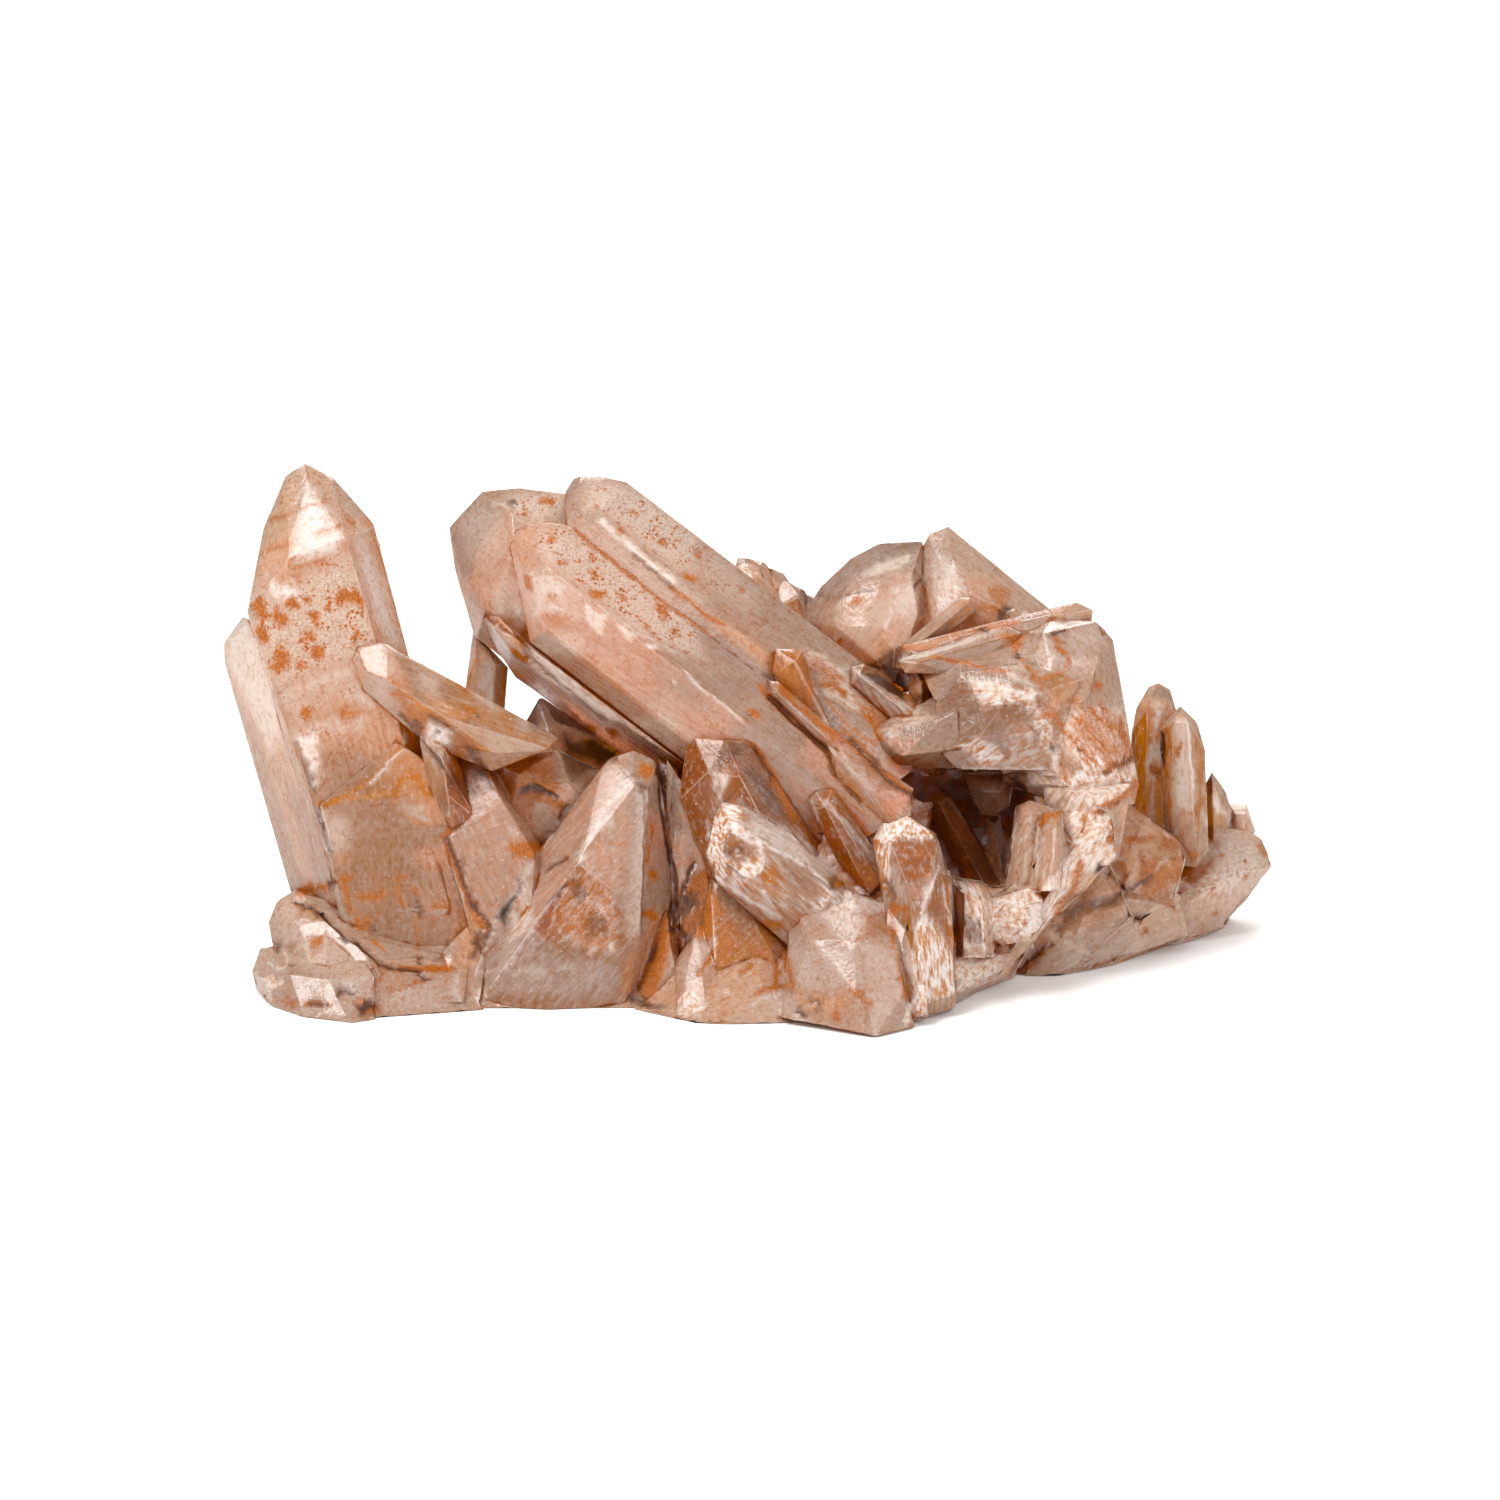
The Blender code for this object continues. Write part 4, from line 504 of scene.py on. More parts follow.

# What shows on the crystals from the front, drawn over them: a finish, its strength, and the corners (u, v)
# of the patch that has it.
# White patches here are painted highlights, pale ones partly painted reflections, and some dark ones painted
# shade
PATCHES = (
    # Left tower: pale striped tip, tan faces, rust-specked front, whitish flank
    ("pale", 0.95, (-53.3, 66.2), (-51.7, 64.8), (-49.7, 61.6), (-48.5, 59.4), (-49.6, 57.6), (-54.7, 56.2),
     (-54.3, 60), (-53.9, 64)),
    ("tan", 0.9, (-55.9, 66.6), (-54.1, 66), (-54.1, 62), (-54.7, 57), (-55.2, 55), (-58.5, 55.2),
     (-59.2, 58), (-58.2, 61), (-57.4, 63.6)),
    ("tan", 0.7, (-56, 67), (-53.4, 68.6), (-50, 67), (-47.6, 60), (-47.3, 56.8), (-49, 57.6),
     (-49.4, 61.8), (-51.5, 65.3), (-53.4, 66.6)),
    ("white", 1, (-58.3, 55), (-57.6, 53), (-56.9, 52.1), (-56, 51.4), (-54.8, 52.2), (-53, 52.2),
     (-52.9, 53.1), (-54.2, 53.2), (-55.2, 54.6), (-56.4, 53.6), (-57.2, 54.7), (-57.8, 54)),
    ("specks", 1, (-60.3, 52.6), (-59.6, 49.6), (-56.9, 41.2), (-50, 44.6), (-47.4, 44.8), (-44.6, 47),
     (-46.3, 53), (-48, 58), (-52, 56.5), (-56, 51), (-58.5, 54)),
    ("specks", 0.75, (-56.2, 40), (-51, 41), (-47.3, 42.4), (-47, 40), (-50, 39.4), (-55, 36.6)),
    ("pale", 0.9, (-60.8, 50.2), (-63.4, 46.8), (-63.2, 44.8), (-62.4, 43), (-58.3, 35), (-57.5, 33.8),
     (-56, 37), (-57.2, 41.8), (-58.8, 47), (-60, 49.6)),
    ("pale", 0.6, (-57, 41), (-50, 43.8), (-47.6, 44.4), (-47.6, 42.6), (-50, 41.6), (-54, 40.2),
     (-56.4, 39)),
    ("pale", 0.6, (-56, 36.4), (-51.4, 37.4), (-46, 38.8), (-46.4, 36.4), (-51, 36), (-54.8, 35)),
    ("white", 0.75, (-54.6, 35.4), (-51.8, 36.4), (-51.7, 33), (-51.9, 29), (-52.6, 29.6)),
    ("pale", 0.9, (-47.7, 58.9), (-46.2, 60.2), (-41.4, 46), (-43.8, 46.8), (-45.3, 50), (-46.8, 55)),
    ("specks", 0.7, (-50, 66.6), (-46.3, 62.4), (-45.6, 60), (-47.6, 58.6), (-49.5, 63)),
    ("tan", 0.35, (-41.5, 36.4), (-36.5, 31), (-38, 27), (-43, 28.6), (-46, 30), (-43.8, 32.2)),
    ("pale", 0.9, (-47.7, 44.4), (-47.5, 42.2), (-45.6, 40.2), (-44.4, 39.4), (-46, 39.2), (-48, 41)),
    ("pale", 0.45, (-42, 28), (-41, 27.2), (-38.6, 27.4), (-38.2, 25.2), (-40, 25.6), (-41.6, 26.6)),
    ("tan", 0.6, (-39.4, 32.2), (-36.9, 31.6), (-36.9, 27), (-38.2, 27.4), (-38.9, 30.4)),
    ("white", 0.8, (-52.3, 27.3), (-51.5, 26.9), (-49.9, 22), (-50.7, 21.8), (-51.5, 24.4)),
    ("pale", 0.5, (-51.2, 26.6), (-48.2, 25.4), (-48.4, 22.6), (-49.8, 21.6)),
    ("amber", 0.9, (-34.2, 15), (-33, 14.8), (-31.1, 13), (-32, 10), (-32.8, 8.2), (-34.5, 7.7),
     (-36.2, 8.2), (-34.9, 10), (-35.6, 11.5), (-34.6, 13.5)),
    # Base at the left
    ("tan", 0.9, (-45, 8.8), (-43, 8.2), (-40, 7.8), (-36, 8), (-33, 8.4), (-35.5, 6), (-38, 6.8),
     (-41, 5.8), (-44.9, 4.6), (-44.2, 7)),
    ("pale", 0.3, (-43, 5), (-38.5, 6.6), (-37, 5.4), (-37, 3.2), (-42, 2.6), (-45, 4.2)),
    ("pale", 0.35, (-57.6, 15), (-55.4, 15.4), (-50, 12.8), (-46, 9.2), (-44.6, 7), (-46.6, 5.2),
     (-49, 5.4), (-52.6, 6.4), (-56.4, 10.6)),
    ("frost", 0.8, (-59.2, 6.4), (-58, 7.3), (-56, 6.6), (-56.8, 5.4), (-58.2, 5.2)),
    ("white", 0.8, (-33.3, 5), (-32.3, 5.4), (-31.2, 4.7), (-32.5, 4.1)),
    ("red", 0.45, (-45, 8.6), (-40, 7.6), (-34, 8.6), (-32.4, 4), (-38, 2.4), (-46, 1.6)),
    ("smoky", 0.5, (-59.8, 8), (-56, 8.4), (-50, 7), (-45, 6.4), (-46, 1.8), (-54, 2.2), (-59.4, 5)),
    ("tan", 0.7, (-57.6, 15.4), (-54, 17.4), (-50, 12.8), (-44.6, 8), (-46, 5.8), (-55, 8)),
    ("amber", 0.4, (-12, 14), (-8, 16), (-1, 16), (3, 12), (4, 2), (-8, 2), (-13, 4)),
    ("red", 0.35, (5, 16), (17, 15.6), (19, 2), (14, 0.6), (4.6, 2.4)),
    # Crystal that leans on the tower, and the gap behind it
    ("tan", 0.55, (-48, 45.4), (-44.5, 47.2), (-46, 43.8), (-43, 42), (-40.4, 39.6), (-42, 38.4),
     (-45.2, 40.2), (-47.4, 43.4)),
    ("pale", 0.55, (-44.5, 46.8), (-43.4, 46.4), (-42.2, 42.4), (-43.2, 42.4), (-45.2, 43.6)),
    ("pale", 0.6, (-44.9, 42.9), (-43.5, 42.3), (-43, 40.8), (-44.4, 40.8)),
    ("pale", 0.4, (-40.6, 45), (-37.2, 42.4), (-37.4, 39.6), (-39.4, 41.6)),
    ("rust", 0.8, (-43.6, 41.4), (-42.4, 41.2), (-41.2, 40), (-42.6, 39.8)),
    ("rust", 0.65, (-42.2, 38.8), (-40.4, 39.4), (-38.4, 38.2), (-38.9, 36.2), (-39.4, 35.6),
     (-40.6, 36.8)),
    ("white", 0.8, (-38.8, 37.9), (-36.3, 36.5), (-36.2, 34.5), (-38, 34.8), (-39.1, 35.8)),
    ("pale", 0.5, (-38.4, 34.8), (-36.3, 34.2), (-36.8, 32.2), (-37.6, 32.8)),
    ("tan", 0.35, (-39, 38.4), (-34.4, 41.2), (-30, 39), (-24, 35.4), (-30, 32.2), (-33, 35.4),
     (-36, 36.6)),
    ("rust", 0.5, (-30, 31.6), (-26, 33.2), (-24, 34.2), (-22.8, 33), (-22.6, 29), (-27, 27),
     (-29.4, 29.4)),
    ("amber", 0.8, (-33, 48.2), (-31.9, 46.4), (-32.8, 44), (-33.4, 40.6), (-34.6, 41.6)),
    ("pale", 0.95, (-31.4, 45.6), (-30.4, 44.6), (-30.6, 39), (-33.1, 40.7), (-32.4, 44)),
    ("tan", 0.9, (-30.2, 44.4), (-28.6, 43), (-29.6, 38.2), (-30.5, 39)),
    ("smoky", 0.8, (-25.2, 40), (-21.4, 37), (-21.6, 35.6), (-24.4, 35.6), (-27.2, 36.8)),
    ("pale", 0.8, (-25.4, 40.2), (-24.8, 39.8), (-26.8, 36.8), (-27.4, 37.2)),
    # Painted shade in the hole under the big crystals
    ("dark", 0.85, (-22.2, 36.4), (-22.2, 33), (-21.2, 30.4), (-16, 33.2), (-18.6, 35.2), (-21.4, 35)),
    ("smoky", 0.8, (-21.9, 36.6), (-20.4, 36.9), (-19.4, 35.6), (-20.6, 34.8), (-21.8, 35.2)),
    # Dark red pyramid
    ("red", 0.9, (-35.7, 36.6), (-34.2, 36.2), (-31, 32), (-27.2, 25), (-25.1, 21.6), (-27.6, 20.4),
     (-35, 20.6), (-36.6, 23.6), (-35.9, 25.6), (-36.9, 28), (-36.8, 31.4)),
    ("red", 0.6, (-35, 20.8), (-26.6, 21), (-25.4, 21.4), (-30.6, 13), (-31.4, 12.8), (-33.2, 15.6)),
    ("dark", 0.7, (-34.2, 34.8), (-33, 34.2), (-30.8, 30.2), (-30.4, 28.6), (-31.6, 29.4), (-33.4, 32)),
    ("dark", 0.4, (-36.4, 31.6), (-35, 31.2), (-32, 29), (-33.6, 28.4), (-36.2, 29.4)),
    ("rust", 0.55, (-35.6, 34.6), (-34.6, 35.2), (-33.8, 33), (-35.4, 32)),
    ("amber", 0.65, (-34.2, 36.4), (-32.4, 35.6), (-30.2, 32.2), (-24.5, 23), (-25.2, 21.8), (-27.4, 25.4),
     (-30.6, 31), (-33.2, 34.8)),
    ("rust", 0.8, (-29, 22.4), (-25.8, 23.2), (-25, 22.2), (-25.6, 20.8), (-28.2, 21.4)),
    # Front pyramid
    ("red", 0.85, (-14.2, 34), (-18, 32.4), (-22.6, 26), (-25.6, 21.2), (-30.4, 13.4), (-24, 11),
     (-21.6, 17), (-20.4, 22), (-17.2, 27.4)),
    ("red", 0.85, (-14.2, 30.2), (-17, 27.2), (-20.2, 21.8), (-20.4, 19.6), (-17.6, 17.6), (-15.2, 17),
     (-14.6, 24)),
    ("rust", 0.35, (-21.8, 19), (-19.6, 19.4), (-16.6, 17), (-16, 11), (-19.4, 10.6), (-24, 12.6)),
    ("dark", 0.5, (-21.6, 18.6), (-20.6, 18.8), (-19.6, 16.4), (-21, 15.4)),
    ("dark", 0.4, (-19.4, 14.4), (-17.4, 14.2), (-17, 12), (-19.8, 11.4)),
    ("frost", 0.35, (-21.6, 19.4), (-19.2, 19.8), (-16.4, 16.6), (-16.2, 10), (-19.4, 9.8), (-24.4, 13)),
    ("white", 0.8, (-18.5, 15.6), (-17.4, 15.6), (-16.9, 13.7), (-17.9, 14)),
    ("white", 0.9, (-17.5, 26), (-17, 25.9), (-16.9, 24.5), (-17.4, 24.6)),
    ("smoky", 0.35, (-14, 30), (-12.5, 29.7), (-12.4, 20), (-12.6, 13.5), (-14.1, 10), (-15, 9.4),
     (-14.9, 17), (-14.4, 24)),
    ("pale", 0.45, (-13.9, 30), (-12.7, 29.7), (-12.9, 20), (-13.1, 13.5), (-14, 11), (-14.4, 12),
     (-14.3, 17), (-13.9, 24)),
    ("rust", 0.75, (-13.4, 32.4), (-12, 32.8), (-11.2, 31.4), (-12.4, 30.2), (-13.6, 31)),
    ("rust", 0.7, (-12.3, 25.6), (-11.5, 25.4), (-11.5, 23.2), (-12.1, 22.8)),
    ("smoky", 0.6, (-11, 33), (-9.4, 31.8), (-9.6, 26.4), (-10.4, 27)),
    ("dark", 0.65, (-9.4, 31.6), (-8.3, 30.7), (-8.8, 28), (-7.8, 24.4), (-9.4, 23.8), (-9.8, 26.2)),
    ("red", 0.8, (-9.4, 24), (-7.6, 24.2), (-4.8, 19.9), (-8.4, 18)),
    ("smoky", 0.4, (-30.2, 12.8), (-26.6, 14), (-23, 10), (-16, 9), (-15.2, 4), (-32.4, 4.4), (-32.6, 6.8)),
    ("pale", 0.2, (-30, 12.4), (-26.8, 13.6), (-24, 9.8), (-16.2, 8.2), (-15.6, 4.4), (-31, 4.6)),
    # Near-black sliver: painted shade in a deep gap
    ("black", 1, (-30.4, 13.8), (-29.3, 13.1), (-28.9, 15.1), (-27.9, 16.9), (-27.3, 18.3), (-28.4, 16.7),
     (-29.7, 15.1)),
    ("frost", 0.5, (-28.4, 17.2), (-26.4, 18.4), (-25.6, 13), (-28.8, 10.6), (-29.4, 13)),
    ("amber", 0.9, (-11.9, 14.6), (-10, 13.7), (-11, 9.6), (-13.2, 4.6), (-15.2, 3.6), (-14.9, 7),
     (-13.2, 10.6)),
    ("rust", 0.6, (-11, 12.4), (-9.2, 12.6), (-9.6, 8), (-12.4, 3.6), (-13.4, 5)),
    # Small crystals at the foot, between the pyramid and the pale block
    ("rust", 0.7, (-9.2, 16.8), (-4.9, 19.9), (-3.4, 15), (-4.8, 11.6), (-7, 11.8), (-9.6, 12.4)),
    ("dark", 0.6, (-8.8, 16), (-6.8, 17.4), (-6, 15.6), (-8, 13.4), (-9.4, 13.4)),
    ("pale", 0.5, (-8.8, 8), (-6.2, 11.4), (-3.9, 11.6), (-4.5, 10), (-6.4, 7.2), (-7.6, 5.9), (-8.5, 6.8)),
    ("frost", 0.6, (-8.8, 4.6), (-6.6, 5.4), (-5, 3.4), (-6, 1.8), (-9, 2.2)),
    ("amber", 0.95, (-3.9, 2.3), (-1.5, 8.4), (-1.9, 5.5), (-2.2, 2.3)),
    ("rust", 0.5, (-3.6, 12.8), (-2.4, 13.2), (-2, 9.2), (-4, 8.8)),
    ("smoky", 0.45, (-3.2, 14.8), (-1.6, 11.8), (0.8, 11.4), (1.4, 14.6), (-1, 17), (-3.8, 17.8)),
    ("pale", 0.3, (-1.7, 2.4), (0, 3.4), (2.5, 5.2), (4.8, 5.4), (6, 2.4)),
    ("rust", 0.9, (3.1, 13), (4.1, 13.9), (3.6, 11.9)),
    # Flat-topped red crystal and the broken, glassy one in front of it
    ("red", 0.7, (-8, 34.8), (-4.6, 34.6), (-4.4, 28), (-4.8, 25.6), (-5.2, 20), (-6.6, 23), (-8.6, 29)),
    ("smoky", 0.95, (-4.9, 32.6), (-2.5, 35), (0.1, 34.8), (0.2, 33), (-1, 32), (-3, 32.6), (-4.6, 31)),
    ("dark", 0.4, (-4, 34), (-2.2, 35), (0, 34.4), (0, 33.2), (-1.4, 33.4), (-2.6, 33.6)),
    ("smoky", 0.95, (-1, 32.2), (0.9, 32.2), (4.4, 27), (3.8, 25.6), (1.6, 27), (0, 30)),
    ("red", 0.6, (-2.4, 32), (0, 30), (1.6, 26.8), (4.8, 24.6), (0, 26.4), (-1.6, 28)),
    ("white", 0.85, (-4.8, 29.6), (-3.9, 31), (-3.3, 31.2), (-3.9, 29.8)),
    ("white", 0.85, (-3.5, 31), (-2.6, 31.4), (-2.7, 29.6), (-3.6, 28.2), (-3.4, 29.6)),
    ("frost", 1, (-3.3, 27.7), (-2.2, 28.2), (-0.8, 27.2), (-1, 25.4), (-0.8, 24), (-2.6, 24.2),
     (-3.6, 22.8), (-2.8, 20.6), (-2.6, 19.2), (-3.6, 18), (-5.3, 20.8), (-5.5, 23), (-4.9, 25.5),
     (-4, 26.8)),
    ("red", 0.5, (-2.6, 23.6), (-0.8, 23.4), (0.2, 21.6), (-1.8, 20.6), (-2.8, 22)),
    ("frost", 0.85, (-2.9, 21), (-1.6, 20.2), (1.4, 21.4), (1.6, 20), (0, 18.2), (-2.2, 18.4)),
    ("pale", 0.55, (-0.8, 25.6), (1, 26), (4.5, 24.2), (9.8, 19.6), (10.2, 18.6), (6, 21), (2.5, 22.6),
     (0, 24.2)),
    ("amber", 0.7, (1.4, 19.4), (2.8, 19.4), (3, 17.8), (1.6, 17.6)),
    ("smoky", 0.5, (3.6, 21.4), (5, 20.8), (8.6, 18), (7, 16.4), (4.6, 17.4)),
    ("white", 1, (1.2, 17), (1.8, 17.1), (2.6, 15.4), (1.8, 15.4)),
    ("frost", 0.5, (-1.6, 18.4), (1, 17.4), (4.4, 13.6), (3.4, 13.2), (-4, 18)),
    # Pale block, its neighbours and the white breaks round it
    ("frost", 0.55, (5.4, 16.4), (8, 16), (9.6, 17.6), (12.8, 17), (15, 16.6), (17, 15.4), (13.6, 12.8),
     (12.4, 10.8), (9.5, 13.4), (7.2, 15.4)),
    ("pale", 0.7, (5.4, 16.4), (8, 15.9), (9.6, 17.6), (12.8, 17), (15, 16.6), (17, 15.4), (13.6, 12.8),
     (12.4, 10.8), (9.5, 13.4), (7.2, 15.4)),
    ("red", 0.4, (5.9, 15.2), (7.2, 14.6), (11.1, 11.6), (9.4, 11.3), (6.8, 11.8)),
    ("pale", 0.35, (7, 10.8), (12.6, 10.6), (13.6, 6), (9.6, 5.2), (8, 8)),
    ("pale", 0.45, (3.6, 12.4), (4.9, 11.6), (7, 9.6), (8.6, 6.2), (7.4, 5.6), (5.4, 6.2), (4.6, 9.4)),
    ("amber", 0.95, (4.8, 5.7), (6.5, 4.8), (9, 4.4), (11.5, 5.2), (12.4, 3.6), (10.4, 1.9), (8.6, 2.3),
     (6.6, 2.9), (5.2, 4.3)),
    ("frost", 1, (15.8, 24.8), (19.3, 26.4), (21.9, 24.6), (22.2, 23.5), (20, 23.3), (18, 23.6),
     (16.8, 23.2), (16.8, 21.4), (16.4, 17.4), (15.4, 20), (14.6, 23)),
    ("red", 0.65, (17, 23.2), (21.8, 23.4), (23, 20.6), (20.8, 15.4), (19.6, 15.2), (17.8, 18.4),
     (17, 20.5)),
    ("pale", 0.5, (16.5, 19.6), (17.2, 20), (18.6, 16.6), (17.4, 16.2)),
    ("red", 0.5, (22.8, 19.8), (23.4, 18), (24.4, 12), (23.4, 12.4), (20.8, 14.6)),
    ("amber", 0.9, (24, 13.2), (25.1, 10.6), (23.5, 10.8)),
    ("frost", 1, (20, 13), (21.2, 14.6), (22.8, 12.4), (24, 10.2), (26, 9.2), (28, 9), (30.5, 9.4),
     (30.2, 7.2), (24, 4.4), (21.5, 3.5), (20.4, 1.2), (18.2, 0.8), (19.4, 3.6), (20, 6.5), (19.2, 10)),
    ("rust", 0.25, (13.6, 14.8), (16.6, 15.2), (17.2, 12), (13.2, 11.2)),
    ("red", 0.6, (7.2, 28.2), (9.8, 29.6), (11, 27.4), (14.8, 23.4), (15.6, 19.6), (10.6, 20), (8.4, 23.4),
     (8, 26)),
    ("smoky", 0.4, (10.2, 26.4), (12.6, 24.4), (11.8, 22), (9.2, 23.8)),
    ("amber", 1, (10.4, 19.4), (12, 20.2), (14.9, 19.7), (16.3, 17.6), (13, 17.2), (9.8, 17.9)),
    ("frost", 0.4, (12.4, 23.8), (14.2, 23.6), (14.6, 20.6), (13, 21)),
    # Big parallel crystals in the middle
    ("smoky", 0.3, (-35.9, 60.2), (-33.2, 64.2), (-30, 62.4), (-29, 58), (-30, 53.4), (-33, 52),
     (-34.9, 56)),
    ("pale", 0.25, (-34.8, 61), (-32.6, 64), (-30, 62), (-29.4, 58), (-31, 55), (-34, 57)),
    ("pale", 0.4, (-31.6, 53.2), (-29, 55.8), (-28.6, 51.4), (-30.2, 50.4)),
    ("white", 0.7, (-30.3, 51.2), (-29.6, 51.3), (-29.6, 50.4), (-30.2, 50.4)),
    ("white", 0.6, (-28.3, 52), (-27.8, 52), (-27.6, 47.8), (-28.2, 48.2)),
    ("amber", 0.6, (-32.2, 50.7), (-30, 50), (-28, 48.8), (-27.2, 46), (-29.4, 47.8), (-31.8, 49.8)),
    ("specks", 1, (-29, 64.6), (-22.4, 64.6), (-22, 61.4), (-26, 61.2), (-28.2, 61.8)),
    ("white", 0.8, (-30.6, 63.9), (-27.9, 63.4), (-28, 62.9), (-29.4, 63.2)),
    ("tan", 0.5, (-28.7, 57.4), (-28.2, 60), (-25.6, 61), (-24.8, 59), (-25.2, 56), (-26.8, 55.3),
     (-26.4, 47), (-27.5, 52)),
    ("specks", 1, (-25.6, 60.4), (-21.5, 60.9), (-14, 55.2), (-6.4, 48.8), (-6, 45.2), (-9, 46),
     (-14, 48.6), (-19, 52.5), (-23.6, 56), (-25.8, 57.6)),
    ("pale", 0.95, (-26.6, 55.4), (-23.8, 55.6), (-21.9, 53.8), (-21.9, 50.6), (-24, 50.4), (-26, 49.5),
     (-26.2, 47.6)),
    ("pale", 0.6, (-26, 48.6), (-22.6, 47.8), (-20, 47.4), (-20.8, 45.4), (-24.4, 45.2), (-25.8, 46.6)),
    ("pale", 0.4, (-21.9, 53.8), (-20.4, 52.6), (-20.2, 49.4), (-21.6, 49.6)),
    ("rust", 0.35, (-24.6, 52.9), (-23.2, 52.9), (-23, 51.6), (-24.4, 51.6)),
    ("rust", 0.4, (-25, 50.9), (-23.4, 50.2), (-22, 49.4), (-22.4, 48.7), (-24, 48.9), (-24.8, 50)),
    ("white", 0.75, (-19.9, 51.9), (-18, 50.5), (-17.2, 50.2), (-17.8, 47.6), (-18.9, 48.5), (-20, 50.2)),
    ("white", 0.75, (-16.4, 49.7), (-13.3, 47.6), (-14.5, 47.2), (-15.8, 48.2)),
    ("tan", 0.35, (-19, 45.2), (-15.4, 44.6), (-15, 41.4), (-18.4, 40.6)),
    ("smoky", 0.45, (-7, 42.8), (-2, 43.4), (3, 42.2), (1.6, 40.8), (-4, 40.4), (-5.6, 41.3)),
    ("specks", 0.65, (-14.2, 37), (-10.2, 39.4), (-8, 36.5), (-9.5, 34.4), (-13, 35.2)),
    ("white", 0.85, (-26.7, 46.9), (-26, 46.6), (-22, 42.9), (-20.4, 41.3), (-15.9, 37.6), (-16.8, 37.3),
     (-20.6, 39.9), (-23, 42), (-25.9, 45)),
    ("pale", 0.7, (-33, 48.9), (-32.1, 50), (-31, 48.9), (-32.2, 47.8)),
    ("pale", 0.75, (-31.7, 47.7), (-30.7, 48.8), (-26.2, 45), (-18, 38.2), (-15.6, 35.6), (-18.4, 36.8),
     (-24, 41.4), (-29.5, 45.8)),
    ("white", 1, (-18.7, 61.9), (-17.6, 61.8), (-9.3, 55), (-8.1, 54.7), (-9.3, 53.6), (-14, 57.6),
     (-18.1, 61.1)),
    ("pale", 0.5, (-8.4, 54.5), (-5.2, 52.2), (-5.9, 51.5), (-9, 53.5)),
    ("pale", 0.3, (-21.2, 61.6), (-19.6, 62), (-9.6, 53.4), (-5.2, 49.9), (-6, 49.5), (-11.5, 53),
     (-15.2, 55.4)),
    ("specks", 1, (-19.4, 66.2), (-14, 65.6), (-6, 59.6), (-7, 55.4), (-8.8, 55.4), (-17, 62.2),
     (-19.8, 62.6)),
    ("specks", 0.4, (-6, 59.4), (-2, 56), (1.4, 51.4), (-1, 51), (-7, 55.2)),
    ("amber", 1, (-5.2, 49.7), (-3.2, 49.4), (0, 47.5), (3, 45.4), (2.9, 43.2), (1.2, 44), (-1.4, 46.4),
     (-3.6, 48)),
    ("smoky", 0.55, (-6, 49.2), (-1.4, 46.2), (1.6, 43.4), (-2, 44.2), (-6.6, 47.4)),
    ("amber", 0.75, (2.9, 45.8), (6.4, 46), (7.1, 42.5), (5.6, 39.8), (3.6, 41.2), (2.8, 43.4)),
    ("frost", 0.5, (6.2, 46.2), (9, 45.4), (13, 42.2), (20, 39.2), (22, 37.8), (19, 36.8), (13, 38.4),
     (8.2, 40.8)),
    ("rust", 0.45, (6.4, 45.6), (9.4, 44.6), (11.6, 42.6), (9, 41.4), (7.2, 42.8)),
    ("rust", 0.5, (12.6, 39.8), (14.4, 39.6), (16.4, 38.4), (15.6, 36.8), (13.4, 38)),
    ("pale", 0.55, (11.6, 43.8), (13.2, 43.4), (18.2, 40.1), (17, 39.7), (13, 41.8)),
    ("pale", 0.5, (3, 41.5), (9.1, 36.1), (9.2, 34.6), (5.5, 37.2), (2.6, 40.6)),
    ("amber", 0.9, (8.9, 35.9), (9.9, 35.5), (10, 32.5), (14, 28.2), (13.3, 27.3), (9.7, 31.2)),
    ("pale", 0.5, (10, 34.4), (11.1, 34.7), (15.3, 29.3), (14.2, 28.4), (10.2, 32.6)),
    ("amber", 0.8, (15.4, 33.4), (19, 33.6), (23, 33.3), (22.8, 31.2), (18, 30.8), (16.4, 31.6)),
    ("pale", 0.6, (18, 30.9), (21.6, 31.2), (19.6, 29.7)),
    ("tan", 0.6, (12.4, 28.4), (16, 28.8), (20, 28), (22, 26.4), (16, 25.2), (13.8, 26)),
    # Back right: smoky block, pale peak, rods
    ("smoky", 1, (7.8, 53.2), (12, 57.2), (15.5, 59.2), (20.4, 59), (19.9, 55.2), (15, 53.4), (10.5, 52.2)),
    ("white", 0.6, (13.3, 55), (15.8, 56.7), (19.8, 57.8), (18.8, 56.2), (15.5, 55.2)),
    ("red", 0.55, (14.2, 54), (19.9, 56.6), (19.9, 54.6), (17, 53.6)),
    ("pale", 0.35, (11, 52.4), (15, 52.8), (16.6, 49.8), (14, 46.4), (11.6, 47), (10.6, 50)),
    ("pale", 0.8, (17.7, 53.6), (19.8, 54.7), (20.5, 51), (19, 49.4), (17, 50.2)),
    ("amber", 0.55, (18.2, 51), (19.4, 51.2), (19.8, 49.4), (18.4, 48.6)),
    ("white", 0.7, (10.2, 48), (11, 48.2), (11.4, 46.6), (10.4, 46.6)),
    ("amber", 0.85, (13.2, 45.3), (17.3, 48.7), (18.7, 47.4), (14.2, 43.4)),
    ("dark", 1, (13.8, 43), (17.8, 46.2), (18.2, 45.4), (17.4, 44.2), (19, 42), (18.6, 40), (15.8, 41.6)),
    ("amber", 1, (17.6, 44.5), (20.6, 44.3), (21.9, 42.2), (20.6, 40), (18.9, 40.5), (19.1, 42.2)),
    ("pale", 0.7, (20.3, 56.2), (22, 58), (25, 56.6), (25.8, 53.4), (24, 50.6), (22.4, 50.2), (21, 53)),
    ("frost", 0.5, (21, 56), (23.2, 57.2), (25.6, 55), (26.2, 52.6), (23, 50.6)),
    ("tan", 0.7, (20.2, 57), (21.6, 57.6), (22.6, 55.4), (21, 54)),
    ("tan", 0.5, (25.8, 54.8), (28, 55.6), (31.6, 53), (29, 51.6), (26, 52.4)),
